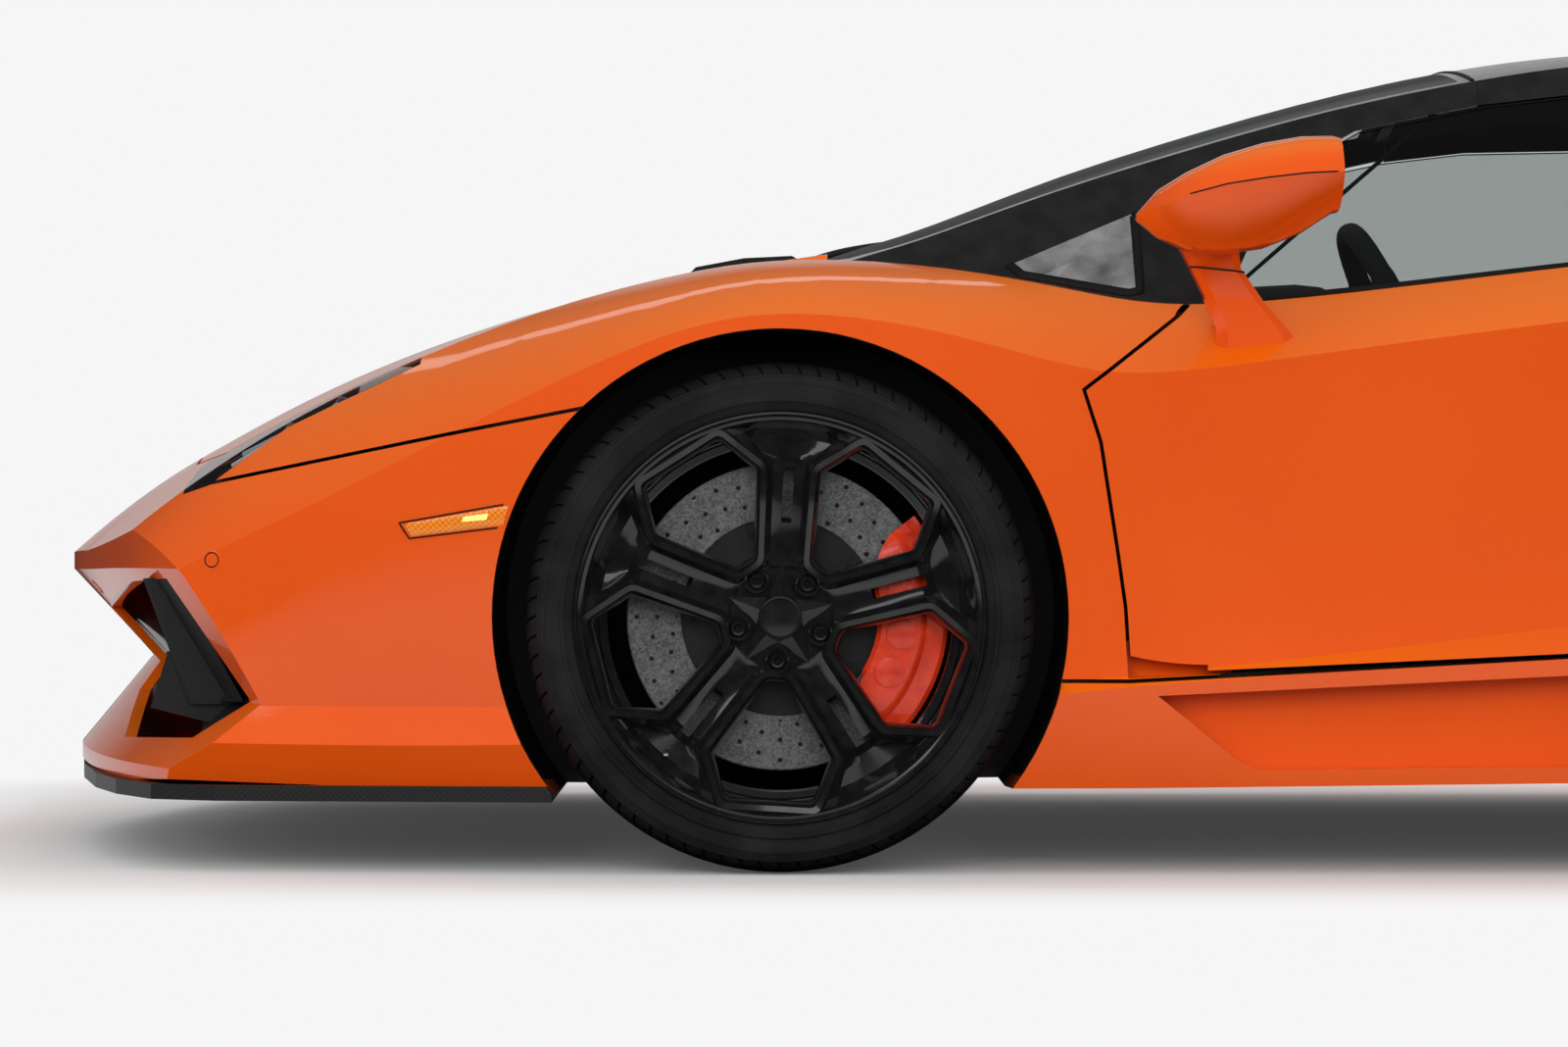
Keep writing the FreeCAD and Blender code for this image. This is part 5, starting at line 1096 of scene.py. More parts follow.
def caliper_shape(axle, middle, half_turn):
    rings = []
    for step in range(33):
        share = -1 + 2 * step / 32
        inward = between(CALIPER_TAPER, abs(share))
        sink = 0.01 * max(abs(share) - 0.86, 0.0) / 0.14
        ring = []
        for out, way in CALIPER_SECTION:
            radius = CALIPER_FOOT + max(out, min(inward, 0.07) if out < 0.0765 else out)
            ring.append(on_wheel(axle, radius, middle + half_turn * share, way - (sink if way > 0.046 else 0.0)))
        rings.append(ring)
    parts = [loft(rings)]
    for turn in (middle - 0.8 * half_turn, middle + 0.8 * half_turn):
        centre = on_wheel(axle, 0.2, turn, 0.0)
        head = [(0.0004, 0.0515), (0.0032, 0.0515), (0.0034, 0.056), (0.0062, 0.056), (0.007, 0.0548),
                (0.0072, 0.044)]
        parts.append(turned(head, centre, (0, 1, 0), 12))
    for turn in (middle - 0.42 * half_turn, middle, middle + 0.42 * half_turn):
        centre = on_wheel(axle, CALIPER_FOOT + 0.033, turn, 0.0)
        boss = [(0.0004, 0.059), (0.017, 0.0588), (0.02, 0.0578), (0.0215, 0.056)]
        parts.append(turned(boss, centre, (0, 1, 0), 32))
    return join_parts(*parts)


def brake_pads(axle, middle, half_turn):
    parts = []
    for low, high in ((0.0402, 0.0452), (-0.0012, 0.0038)):
        rings = []
        for step in range(9):
            turn = middle + 0.78 * half_turn * (-1 + 2 * step / 8)
            rings.append([on_wheel(axle, radius, turn, way) for radius, way in
                          ((0.133, low), (0.196, low), (0.196, high), (0.133, high))])
        parts.append(loft(rings))
    return join_parts(*parts)


# %% [markdown]
# Now each wheel is put together. The left wheel is built, and the right one is its twin. What turns
# rides on the wheel's body, and the front calipers ride with the steering, while the rear ones are
# fixed to the car.

# %% Building the four wheels
CALIPER_TURN = -8.0
CALIPERS = {"front": (45.0, "steer_left", "caliper_front_left"), "rear": (36.0, "body", "rear_calipers")}


def build_axle(where):
    axle = AXLES[where]
    centre = wheel_centre(axle)
    face = join_parts(spoked_face(axle), hub_dish(axle))
    spinning = [
        ("Wheel_face", face, rim_black, "rim_black", 30, "rim"),
        ("Wheel_barrel", barrel(axle), rim_black, "rim_black", 32, None),
        ("Wheel_arched_pads", arched_pads(axle), rim_black, "rim_black", 30, None),
        ("Wheel_star", hub_star(axle), rim_black, "rim_black", 5, None),
        ("Wheel_cap", hub_cap(axle), gloss_black, "gloss_black", 25, None),
        ("Wheel_bolts", wheel_bolts(axle), rim_black, "rim_black", 30, None),
        ("Wheel_valve", wheel_valve(axle), bright_metal, "steel", 30, None),
        ("Tyre", tyre_shape(axle), tyre_rubber, "tyre_rubber", 38, "tyre"),
        ("Disc_ring", disc_ring(axle), brake_disc, "brake_disc", 30, "disc"),
        ("Disc_bell", disc_bell(axle), dark_plastic, "steel", 30, None),
    ]
    for name, form, finish, slot, crease, node in spinning:
        stands = ("%s_%s_left" % (node, where),) if node else ()
        pair("%s_%s" % (name, where), form, finish, slot, "wheel_%s_left" % where, stands, origin=centre,
             crease=crease)
    half_turn, carrier, node = CALIPERS[where]
    caliper, pads = caliper_shape(axle, CALIPER_TURN, half_turn), brake_pads(axle, CALIPER_TURN, half_turn)
    pair("Caliper_" + where, caliper, caliper_red, "caliper_red", carrier, (node,), origin=centre, crease=30)
    pair("Brake_pads_" + where, pads, dark_plastic, "steel", carrier, origin=centre, crease=30)
    return 2 * (len(spinning) + 2)


print("wheel pieces:", build_axle("front") + build_axle("rear"))


# %% [markdown]
# # Small pieces on the panels
# A marker, a sensor or a wiper has to lie on the real surface of its panel. So each is laid out flat
# first and then pressed on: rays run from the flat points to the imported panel, and the piece takes
# the places they hit, a hair proud of it.

# %% Pressing a piece onto a panel
DOWN = (0, 0, -1)


def drained(shape):
    """The points and faces of a bmesh, which is then freed."""
    shape.verts.index_update()
    points = [vertex.co.copy() for vertex in shape.verts]
    faces = [tuple(vertex.index for vertex in face.verts) for face in shape.faces]
    shape.free()
    return points, faces


def skin_of(node, keep):
    """The faces of a packed panel for which keep(face) holds, as a bmesh."""
    shape = bmesh.new()
    shape.from_mesh(frame["nodes"][node].data)
    bmesh.ops.delete(shape, geom=[face for face in shape.faces if not keep(face)], context="FACES")
    bmesh.ops.remove_doubles(shape, verts=shape.verts, dist=1e-5)
    return shape


def surface_of(*names):
    points, faces = [], []
    for name in names:
        mesh = frame["nodes"][name].data
        shift = len(points)
        points += [vertex.co.copy() for vertex in mesh.vertices]
        faces += [tuple(shift + index for index in polygon.vertices) for polygon in mesh.polygons]
    return BVHTree.FromPolygons(points, faces)


def pressed(panel, start, direction=DOWN, lift=0.0):
    along = Vector(direction).normalized()
    place, normal = panel.ray_cast(Vector(start), along)[:2]
    if place is None:
        place, normal = panel.find_nearest(Vector(start) + along)[:2]
    if normal.dot(along) > 0:
        normal = -normal
    return place + normal * lift, normal


def patch(panel, corners, direction, columns, rows, lift):
    """A grid between four corners (start low, end low, end high, start high), pressed on with soft edges."""
    a, b, c, d = [Vector(corner) for corner in corners]
    points = []
    for row in range(rows):
        for column in range(columns):
            across, up = column / (columns - 1), row / (rows - 1)
            flat = a.lerp(b, across).lerp(d.lerp(c, across), up)
            edge = row in (0, rows - 1) or column in (0, columns - 1)
            points.append(pressed(panel, flat, direction, -0.0015 if edge else lift)[0])
    return points, grid_faces(rows, columns)


bumper_skin = surface_of("front_bumper")
print("bumper faces:", len(frame["nodes"]["front_bumper"].data.polygons))

# %% [markdown]
# The amber side marker lies in the bumper just ahead of the arch, a slim leaf that points forward. It
# is a pressed patch with a smaller, brighter one on it, where the bulb shows through.

# %% Side markers
MARKER = [(1.834, 0.433), (1.7035, 0.4487), (1.693, 0.48), (1.8472, 0.453)]
BULB = [(1.7715, 0.4515), (1.7286, 0.4545), (1.7243, 0.469), (1.769, 0.4625)]


BESIDE = 1.25
INWARD = (0, -1, 0)


def on_left_side(corners):
    return [(x, BESIDE, z) for x, z in corners]


pair("Side_marker", patch(bumper_skin, on_left_side(MARKER), INWARD, 15, 6, 0.0016), amber_lens, "lamp_glass",
     crease=40)
outline = []
for (x0, z0), (x1, z1) in zip(MARKER, MARKER[1:] + MARKER[:1]):
    outline += [(x0 + (x1 - x0) * step / 8, BESIDE, z0 + (z1 - z0) * step / 8) for step in range(8)]
edge = tube([pressed(bumper_skin, point, INWARD, 0.0008)[0] for point in outline + outline[:1]], 0.0011, 8)
pair("Side_marker_edge", edge, seal_rubber, "gloss_black")
pair("Side_marker_bulb", patch(bumper_skin, on_left_side(BULB), INWARD, 7, 5, 0.0024), amber_bulb, "lamp_glass",
     crease=40)
print("marker edge points:", len(outline))

# %% [markdown]
# A parking sensor is a small painted button in a ring, with a dark gap between them. Each is a profile
# turned round the panel's own normal, so that it lies flush wherever it sits.

# %% Parking sensors
SENSOR_BUTTON = [(0.0003, 0.0012), (0.0078, 0.0011), (0.0086, 0.0004), (0.0088, -0.003)]
SENSOR_GAP = [(0.0085, 0.0002), (0.0104, 0.0002)]
SENSOR_RING = [(0.0102, -0.003), (0.0104, 0.0008), (0.0112, 0.0013), (0.0124, 0.001), (0.013, -0.0006)]


def sensor(name, panel, start, direction):
    place, normal = pressed(panel, start, direction)
    button, ring, gap = [turned(profile, place, normal, 28) for profile in (SENSOR_BUTTON, SENSOR_RING, SENSOR_GAP)]
    pair(name, join_parts(button, ring), paint, "paint")
    pair(name + "_gap", gap, seal_rubber, "gloss_black")


sensor("Front_side_sensor", bumper_skin, (2.0947, 1.2, 0.4045), INWARD)
sensor("Front_sensor", bumper_skin, (2.6, 0.27, 0.36), (-1, 0, 0))
print("sensors pressed on")

# %% [markdown]
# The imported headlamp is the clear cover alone. Behind it belongs a dark bowl, which follows the cover
# a few centimetres down, with walls up to its rim. In the bowl lie two round projector lenses in
# bright bezels, and a slim light guide shaped like a Y, which is the car's day light.

# %% Headlamp bowls
LAMP_DEPTH = 0.03


def lamp_bowl():
    """The left cover's upper face, sunk, with walls up to the cover's edge."""
    shape = skin_of("headlamps", lambda face: face.normal.z >= 0.15 and face.calc_center_median().y >= 0)
    shape.normal_update()
    normals = {vertex: vertex.normal.copy() for vertex in shape.verts}
    for vertex in shape.verts:
        vertex.co -= normals[vertex] * LAMP_DEPTH
    rim = [edge for edge in shape.edges if edge.is_boundary]
    up = {vertex: normals[vertex] for edge in rim for vertex in edge.verts}
    places = {tuple(round(value, 6) for value in vertex.co): normal for vertex, normal in up.items()}
    raised = bmesh.ops.extrude_edge_only(shape, edges=rim)["geom"]
    for vertex in [item for item in raised if isinstance(item, bmesh.types.BMVert)]:
        key = tuple(round(value, 6) for value in vertex.co)
        vertex.co += places[key] * (LAMP_DEPTH - 0.0045)
    return drained(shape)


bowl = pair("Headlamp_bowl", lamp_bowl(), gloss_black, "gloss_black", crease=40)
print("bowl faces:", len(bowl.data.polygons))

# %% Projectors and light guides
lamp_cover = surface_of("headlamps")
cover_points = [vertex.co for vertex in frame["nodes"]["headlamps"].data.vertices if vertex.co.y > 0]
lamp_rear = min(point.x for point in cover_points)
lamp_front = max(point.x for point in cover_points)
PROJECTOR = [(0.0003, 0.0085), (0.008, 0.0078), (0.014, 0.005), (0.0178, 0.0005), (0.0185, -0.006)]
BEZEL = [(0.0186, -0.008), (0.019, 0.003), (0.0205, 0.0045), (0.0235, 0.004), (0.0262, -0.002), (0.0268, -0.012)]


def in_lamp(share_along, share_across, sink):
    """A place under the cover, from its tail end to its nose end and from its outer to its inner edge."""
    x = lamp_rear + share_along * (lamp_front - lamp_rear)
    near = [point.y for point in cover_points if abs(point.x - x) < 0.035]
    y = max(near) + share_across * (min(near) - max(near))
    place, normal = pressed(lamp_cover, (x, y, 1.2))
    return place - normal * sink, normal


projector_parts, bezel_parts = [], []
for share_along, share_across in ((0.4, 0.45), (0.62, 0.5)):
    place, normal = in_lamp(share_along, share_across, 0.019)
    axis = (normal + Vector((1.2, 0.25, 0.0))).normalized()
    projector_parts.append(turned(PROJECTOR, place, axis, 32))
    bezel_parts.append(turned(BEZEL, place, axis, 32))
pair("Headlamp_projectors", join_parts(*projector_parts), white_light, "lamp_glass")
pair("Headlamp_bezels", join_parts(*bezel_parts), bright_metal, "alloy")
guide_main = [in_lamp(share, 0.16 + 0.1 * share, 0.012)[0] for share in (0.12, 0.26, 0.4, 0.54, 0.68, 0.82)]
guide_branch = [in_lamp(share, across, 0.012)[0] for share, across in ((0.54, 0.22), (0.66, 0.5), (0.8, 0.72))]
pair("Headlamp_guide", join_parts(tube(guide_main, 0.0042, 12), tube(guide_branch, 0.0042, 12)), white_light,
     "lamp_glass")
print("lamp from", round(lamp_rear, 3), "to", round(lamp_front, 3))

# %% [markdown]
# Behind each front intake stands a black grille of six-sided cells. One cell is a thin-walled
# six-sided ring, and the grille is many of them on a staggered grid, set on the slant of the nose. A
# plate with the fins of a radiator closes the view behind it.

# %% Intake grilles
CELL = 0.021
CELL_WALL = 0.0022
CELL_DEPTH = 0.006


def honeycomb(origin, right, up, width, height, inside):
    """Six-sided cells over a width and a height, kept where inside(x, y) holds."""
    origin, right, up = Vector(origin), Vector(right).normalized(), Vector(up).normalized()
    deep = right.cross(up)
    parts = []
    row, pitch, outer = 0, CELL * math.sqrt(3) / 2, CELL / math.sqrt(3)
    y = 0.0
    while y <= height:
        x = (CELL / 2 if row % 2 else 0.0)
        while x <= width:
            if inside(x, y):
                centre = origin + right * x + up * y
                points = []
                for radius, way in ((outer, 0), (outer - CELL_WALL, 0), (outer - CELL_WALL, -CELL_DEPTH),
                                    (outer, -CELL_DEPTH)):
                    points += [centre + right * radius * math.sin(math.pi * step / 3)
                               + up * radius * math.cos(math.pi * step / 3) + deep * way for step in range(6)]
                parts.append((points, grid_faces(4, 6, close_rows=True, close_columns=True)))
            x += CELL
        y += pitch
        row += 1
    return join_parts(*parts)


def radiator(origin, right, up, width, height, fins):
    origin, right, up = Vector(origin), Vector(right).normalized(), Vector(up).normalized()
    deep = right.cross(up)
    points = []
    for step in range(2 * fins + 1):
        base = origin + up * (height * step / (2 * fins)) + deep * (0.006 if step % 2 else 0.0)
        points += [base, base + right * width]
    return points, grid_faces(2 * fins + 1, 2)


GRILLE_X = 2.015
GRILLE_ACROSS, GRILLE_UP = (0.06, 1, 0), (-0.3, 0, 1)
cells = honeycomb((GRILLE_X, 0.1, 0.155), GRILLE_ACROSS, GRILLE_UP, 0.72, 0.24,
                  lambda x, y: y < 0.06 + 0.3 * x and y < 0.235 - 0.12 * x)
pair("Front_grille", cells, dark_plastic, "gloss_black")
pair("Front_radiator", radiator((GRILLE_X - 0.035, 0.06, 0.15), GRILLE_ACROSS, GRILLE_UP, 0.76, 0.27, 46),
     dark_plastic, "engine_alloy", crease=20)
print("grille cells cover", round(0.72 * 0.24, 3), "square metres a side")

# %% [markdown]
# A black duct leads the air from the intake to the radiator. Its outer face is the broad slanted
# blade that the photograph shows in the mouth, and its floor is a wedge behind the lower lip. Both are
# drawn as flat outlines in side view and given depth inwards.

# %% Intake ducts
BLADE_FACE = [(2.1985, 0.3787), (2.158, 0.3815), (2.067, 0.2137), (2.137, 0.2125)]
DUCT_FLOOR = [(2.167, 0.28), (2.09, 0.25), (2.067, 0.2137), (2.1125, 0.1875), (2.19, 0.2075)]


def slab(outline, depths):
    """Rings of a side-view outline at several depths; each depth has its own shift along the car."""
    return loft([[Vector((x + shift, y, z)) for x, z in outline] for y, shift in depths])


blade_face = slab(BLADE_FACE, ((0.79, -0.004), (0.787, 0.0), (0.765, 0.0), (0.745, -0.01)))
duct_floor = slab(DUCT_FLOOR, ((0.78, -0.003), (0.777, 0.0), (0.745, 0.0), (0.72, -0.02)))
duct = pair("Intake_duct", join_parts(blade_face, duct_floor), dark_plastic, "gloss_black", crease=30)
print("duct faces:", len(duct.data.polygons))

# %% [markdown]
# Below the door's rounded front corner the sill rises in a small painted shoulder, which closes the
# view into the tub. It stays with the body when the door swings up.

# %% Sill shoulders
shoulder_rings = []
for x in (0.925, 0.88, 0.83, 0.79, 0.77):
    shoulder_rings.append([Vector((x, y, z)) for y, z in
                           ((0.946, 0.244), (0.931, 0.262), (0.929, 0.3), (0.922, 0.3), (0.924, 0.244))])
pair("Sill_shoulder", loft(shoulder_rings), paint, "paint", crease=50)
print("shoulder rings:", len(shoulder_rings))

# %% [markdown]
# # Glass, seals and the roof
# The door glass runs in black seals, and the quarter glass and the windscreen have a printed black
# edge. Each is a soft strip that follows the glass's own outline, found from the boundary of the
# packed glass where it faces outward.

# %% Edge strips
def edge_strip(node, side, width, lift):
    """A band inside the outline of a pane, on its outer face."""
    outward = Vector((0, 1, 0.35)) if side else Vector((0.2, 0, 1))
    shape = skin_of(node, lambda face: face.normal.dot(outward) >= 0.25 and face.calc_center_median().y * side >= 0)
    bmesh.ops.dissolve_degenerate(shape, dist=1e-5, edges=shape.edges)
    made = bmesh.ops.inset_region(shape, faces=shape.faces, thickness=width, use_boundary=True, use_even_offset=True)
    ring = set(made["faces"])
    inner = [face for face in shape.faces if face not in ring]
    bmesh.ops.delete(shape, geom=inner, context="FACES")
    shape.normal_update()
    for vertex in shape.verts:
        vertex.co += vertex.normal * lift
    return drained(shape)


SEAL = 0.0016
edges = [pair("Quarter_glass_edge", edge_strip("quarter_windows", 1, 0.012, 0.0012), seal_rubber, "gloss_black",
              thick=SEAL),
         pair("Door_glass_seal", edge_strip("door_glass_left", 1, 0.009, 0.0012), seal_rubber, "gloss_black",
              "door_body_left", thick=SEAL),
         make_piece("Windscreen_band", edge_strip("windscreen", 0, 0.03, -0.0075), seal_rubber, "gloss_black",
                    thick=SEAL)]
print("strip faces:", [len(edge.data.polygons) for edge in edges])

# %% [markdown]
# The roof is two carbon panels with a seam between them and one across, behind the windscreen's top
# rail. Two seals mark the seams. Each is a low rounded strip pressed onto the panels.

# %% Roof seals
def strip_on(panel, route, half_width, height, direction=DOWN, start_height=None):
    """A low rounded strip along a route of points, pressed onto a panel; it may start lower than it ends."""
    places = [pressed(panel, point, direction) for point in route]
    rings = []
    first = height if start_height is None else start_height
    for index, (place, normal) in enumerate(places):
        rise = first + (height - first) * index / (len(places) - 1)
        before = places[max(index - 1, 0)][0]
        after = places[min(index + 1, len(places) - 1)][0]
        across = (after - before).cross(normal).normalized()
        rings.append([place + across * half_width * side + normal * lift for side, lift in
                      ((1, -0.002), (0.8, rise * 0.7), (0, rise), (-0.8, rise * 0.7), (-1, -0.002))])
    return loft(rings)


roof = surface_of("roof_panels", "windscreen_frame", "roll_hoop")
ABOVE = 1.5
STRIP_CREASE = 60
for name, route in (("across", [(0.4075, -0.6 + 0.06 * step, ABOVE) for step in range(21)]),
                    ("middle", [(0.395 - 0.032 * step, 0.0, ABOVE) for step in range(20)])):
    make_piece("Roof_seam_" + name, strip_on(roof, route, 0.004, 0.0022), seal_rubber, "gloss_black",
               crease=STRIP_CREASE)
print("roof seals laid")

# %% [markdown]
# One long wiper parks on the cowl, at the foot of the windscreen. It has a spindle with its cap, an arm
# that narrows towards the blade, and the blade with its rubber lip, all pressed down where they lie.
# Ahead of it the cowl rises in a low black hump over the air inlets, with a painted tip at each end;
# the photograph shows both just above the fender's line.

# %% Wiper
screen = surface_of("windscreen", "cowl", "windscreen_frame")
arm_route = [(1.352 - 0.01 * step, 0.1 - 0.05 * step, ABOVE) for step in range(9)]
blade_route = [(1.318 - 0.014 * step, 0.42 - 0.055 * step, ABOVE) for step in range(17)]
for name, route, half_width, height, finish in (("Wiper_arm", arm_route, 0.0075, 0.01, dark_plastic),
                                                ("Wiper_blade", blade_route, 0.005, 0.007, seal_rubber)):
    make_piece(name, strip_on(screen, route, half_width, height), finish, "gloss_black", crease=STRIP_CREASE)
CAP = [(0.0003, 0.013), (0.008, 0.0125), (0.0125, 0.01), (0.0145, 0.005), (0.015, -0.004)]
cap_place, cap_normal = pressed(screen, (1.355, 0.105, ABOVE))
make_piece("Wiper_cap", turned(CAP, cap_place, cap_normal, 28), dark_plastic, "gloss_black")
hump_route = [(1.405, -0.35 + 0.05 * step, ABOVE) for step in range(15)]
make_piece("Cowl_hump", strip_on(screen, hump_route, 0.085, 0.016), dark_plastic, "gloss_black", crease=STRIP_CREASE)
for side, y in (("left", 0.68), ("right", -0.68)):
    tip_route = [(1.362 - 0.014 * step, y, ABOVE) for step in range(6)]
    make_piece("Cowl_tip_" + side, strip_on(screen, tip_route, 0.034, 0.01, start_height=0.001), paint, "paint",
               crease=STRIP_CREASE)
print("wiper spindle at", [round(value, 3) for value in cap_place])

# %% [markdown]
# # Mirrors
# The door mirror is a faceted pod on a slanted arm. A sharp crease runs from its front tip along the
# side to its rear edge. Above the crease the pod rolls over to the top, and below it the face tucks in
# towards the arm. It is a loft of seven rings from the tip to the rear edge, each with the crease at
# the same point of the ring, and the mirror's glass closes its rear.

# %% Mirror pod
POD_RINGS = [
    # along, low, crease, high, inner side, outer side
    (0.8985, 0.841, 0.8452, 0.849, 0.985, 1.012),
    (0.872, 0.818, 0.8575, 0.879, 0.948, 1.062),
    (0.836, 0.801, 0.87, 0.901, 0.922, 1.096),
    (0.79, 0.796, 0.8815, 0.9225, 0.905, 1.116),
    (0.74, 0.803, 0.889, 0.9375, 0.899, 1.124),
    (0.69, 0.823, 0.8945, 0.946, 0.897, 1.127),
    (0.652, 0.848, 0.8965, 0.947, 0.902, 1.124),
]


def pod_ring(along, low, crease, high, inner, outer, shrink=0.0):
    middle = 0.5 * (inner + outer)
    half = 0.5 * (outer - inner) - shrink
    low, high = low + shrink, high - shrink
    lift = high - crease
    drop = crease - low
    outline = [(1.0, 0.0), (0.9, 0.36 * lift), (0.76, 0.7 * lift), (0.55, 0.92 * lift), (0.25, lift),
               (-0.25, lift), (-0.66, 0.88 * lift), (-0.9, 0.56 * lift), (-1.0, 0.05 * lift),
               (-0.95, -0.42 * drop), (-0.72, -0.8 * drop), (-0.3, -0.98 * drop), (0.12, -drop),
               (0.42, -0.94 * drop), (0.7, -0.66 * drop), (0.9, -0.28 * drop)]
    return [Vector((along, middle + half * side, crease + rise)) for side, rise in outline]


pod = [pod_ring(*row) for row in POD_RINGS]
rear = POD_RINGS[-1]
lip = pod_ring(*rear, shrink=0.006)
well = [point + Vector((0.01, 0, 0)) for point in pod_ring(*rear, shrink=0.009)]
edge = [point - Vector((0.009, 0, 0)) for point in pod_ring(*rear, shrink=0.002)]
pod_shape = loft(pod + [edge, [point - Vector((0.008, 0, 0)) for point in lip], well])
print("pod from", POD_RINGS[0][0], "to", POD_RINGS[-1][0])

# %% [markdown]
# The arm grows out of the door's shoulder and leans forward as it rises. It has flat faces with a firm
# edge between them, so it is a loft of four-cornered rings with their corners cut.

# %% Mirror arm and glass
ARM_RINGS = [
    # place, half length along the car, half width across
    ((0.738, 0.902, 0.668), 0.054, 0.04),
    ((0.74, 0.906, 0.7), 0.05, 0.036),
    ((0.768, 0.918, 0.745), 0.038, 0.026),
    ((0.794, 0.94, 0.785), 0.034, 0.024),
    ((0.806, 0.965, 0.815), 0.04, 0.03),
]


def arm_ring(place, length, width):
    centre = Vector(place)
    cut = 0.3
    outline = [(1, 1 - cut), (1 - cut, 1), (-1 + cut, 1), (-1, 1 - cut), (-1, -1 + cut), (-1 + cut, -1),
               (1 - cut, -1), (1, -1 + cut)]
    return [centre + Vector((length * a, width * b, 0.1 * length * a)) for a, b in outline]


DOOR = "door_body_left"
arm = loft([arm_ring(*row) for row in ARM_RINGS])
pair("Mirror", join_parts(pod_shape, arm), paint, "paint", DOOR, ("mirror_left",), crease=24)
pane_ring = [point + Vector((-0.001, 0, 0)) for point in pod_ring(*rear, shrink=0.0095)]
centre = sum(pane_ring, Vector()) / len(pane_ring)
rings = [[centre.lerp(point, share) + Vector((-0.004 * (1 - share * share), 0, 0)) for point in pane_ring]
         for share in (1.0, 0.8, 0.55, 0.3, 0.1)]
pair("Mirror_glass", loft(rings), mirror_glass, "alloy", DOOR)
crease_line = [Vector((row[0], row[5], row[2])) for row in POD_RINGS[2:]]
pair("Mirror_crease", tube(crease_line, 0.001, 8), seal_rubber, "gloss_black", DOOR)
collar = arm_ring((0.79, 0.9375, 0.779), 0.0352, 0.0252)
upper = [point + Vector((0.0004, 0.0004, 0.0022)) for point in collar]
pair("Mirror_seam", loft([collar, upper]), seal_rubber, "gloss_black", DOOR)
print("mirrors built")

# %% [markdown]
# # Cabin
# The seats are leather over foam. Each is a hard shell with separate cushions: a base, a back, two
# bolsters on each and a headrest. A cushion is a crowned closed form. Its sides pull in between the
# corners, sewn channels cross it as soft grooves, and a seam runs round its widest line. Firm moulded
# foam hardly sags, so the crowns are modelled directly, with no cloth simulation.

# %% A cushion
def cushion_shape(centre, right, forward, width, length, thick, crown=0.25, channels=0, waist=0.04, lean=0.0,
                  columns=23, rows=31):
    centre, right, forward = Vector(centre), Vector(right).normalized(), Vector(forward).normalized()
    up = right.cross(forward).normalized()
    points = []
    for face in (1, -1):
        for row in range(rows):
            v = math.sin((-1 + 2 * row / (rows - 1)) * math.pi / 2)
            for column in range(columns):
                u = math.sin((-1 + 2 * column / (columns - 1)) * math.pi / 2)
                round_off = max(1 - abs(u) ** 3.2, 0.0) ** 0.45 * max(1 - abs(v) ** 4.5, 0.0) ** 0.45
                swell = 1 + crown * (1 - u * u) * (1 - v * v)
                groove = 0.0
                if channels and face > 0:
                    phase = (v + 1) / 2 * (channels + 1)
                    off = abs(phase - round(phase))
                    if 0 < round(phase) < channels + 1:
                        groove = 0.085 * math.exp(-(off / 0.07) ** 2) * round_off
                height = 0.5 * thick * face * (round_off * swell if face > 0 else round_off * 0.75) - groove * thick
                half = 0.5 * width * (1 - waist * (1 - v * v))
                reach = 0.5 * length * (1 - waist * 0.6 * (1 - u * u))
                points.append(centre + right * (u * half) + forward * (v * reach)
                              + up * (height + lean * u * u * width))
    faces = grid_faces(rows, columns) + grid_faces(rows, columns, start=rows * columns)
    return points, faces


def cushion_seam(centre, right, forward, width, length, waist=0.04, lean=0.0, radius=0.0022):
    """A thin piped seam round a cushion's widest line."""
    centre, right, forward = Vector(centre), Vector(right).normalized(), Vector(forward).normalized()
    up = right.cross(forward).normalized()
    route = []
    for step in range(97):
        turn = math.tau * step / 96
        u = math.copysign(abs(math.cos(turn)) ** 0.28, math.cos(turn))
        v = math.copysign(abs(math.sin(turn)) ** 0.28, math.sin(turn))
        half = 0.5 * width * (1 - waist * (1 - v * v)) + 0.001
        reach = 0.5 * length * (1 - waist * 0.6 * (1 - u * u)) + 0.001
        route.append(centre + right * (u * half) + forward * (v * reach) + up * (lean * u * u * width))
    return tube(route, radius, 8)


print("cushion points:", len(cushion_shape((0, 0, 0), (0, 1, 0), (1, 0, 0), 0.3, 0.3, 0.1)[0]))

# %% [markdown]
# The seat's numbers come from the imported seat: its base, its lean and its height are kept, so that the
# cushions lie where the solid lay. The back leans about 17 degrees.

# %% Seat cushions
SEAT_MIDDLE = 0.365
BACK_FOOT = Vector((-0.07, SEAT_MIDDLE, 0.33))
BACK_HEAD = Vector((-0.212, SEAT_MIDDLE, 0.8))
UP_THE_BACK = (BACK_HEAD - BACK_FOOT).normalized()
ACROSS = Vector((0, -1, 0))
CUSHIONS = {
    # name: centre, forward, width, length, thickness, crown, channels, lean
    "Base_cushion": (Vector((0.135, SEAT_MIDDLE, 0.29)), Vector((1, 0, 0.05)), 0.31, 0.385, 0.1, 0.22, 4, 0.03),
    "Back_cushion": (BACK_FOOT + UP_THE_BACK * 0.165 + Vector((-0.02, 0, -0.006)), UP_THE_BACK, 0.29, 0.33,
                     0.09, 0.25, 4, 0.05),
    "Head_cushion": (BACK_FOOT + UP_THE_BACK * 0.43 + Vector((-0.016, 0, -0.005)), UP_THE_BACK, 0.23, 0.13,
                     0.08, 0.2, 0, 0.02),
    "Shoulder_cushion": (BACK_FOOT + UP_THE_BACK * 0.345 + Vector((-0.024, 0, -0.008)), UP_THE_BACK, 0.4, 0.075,
                         0.07, 0.2, 0, 0.04),
}
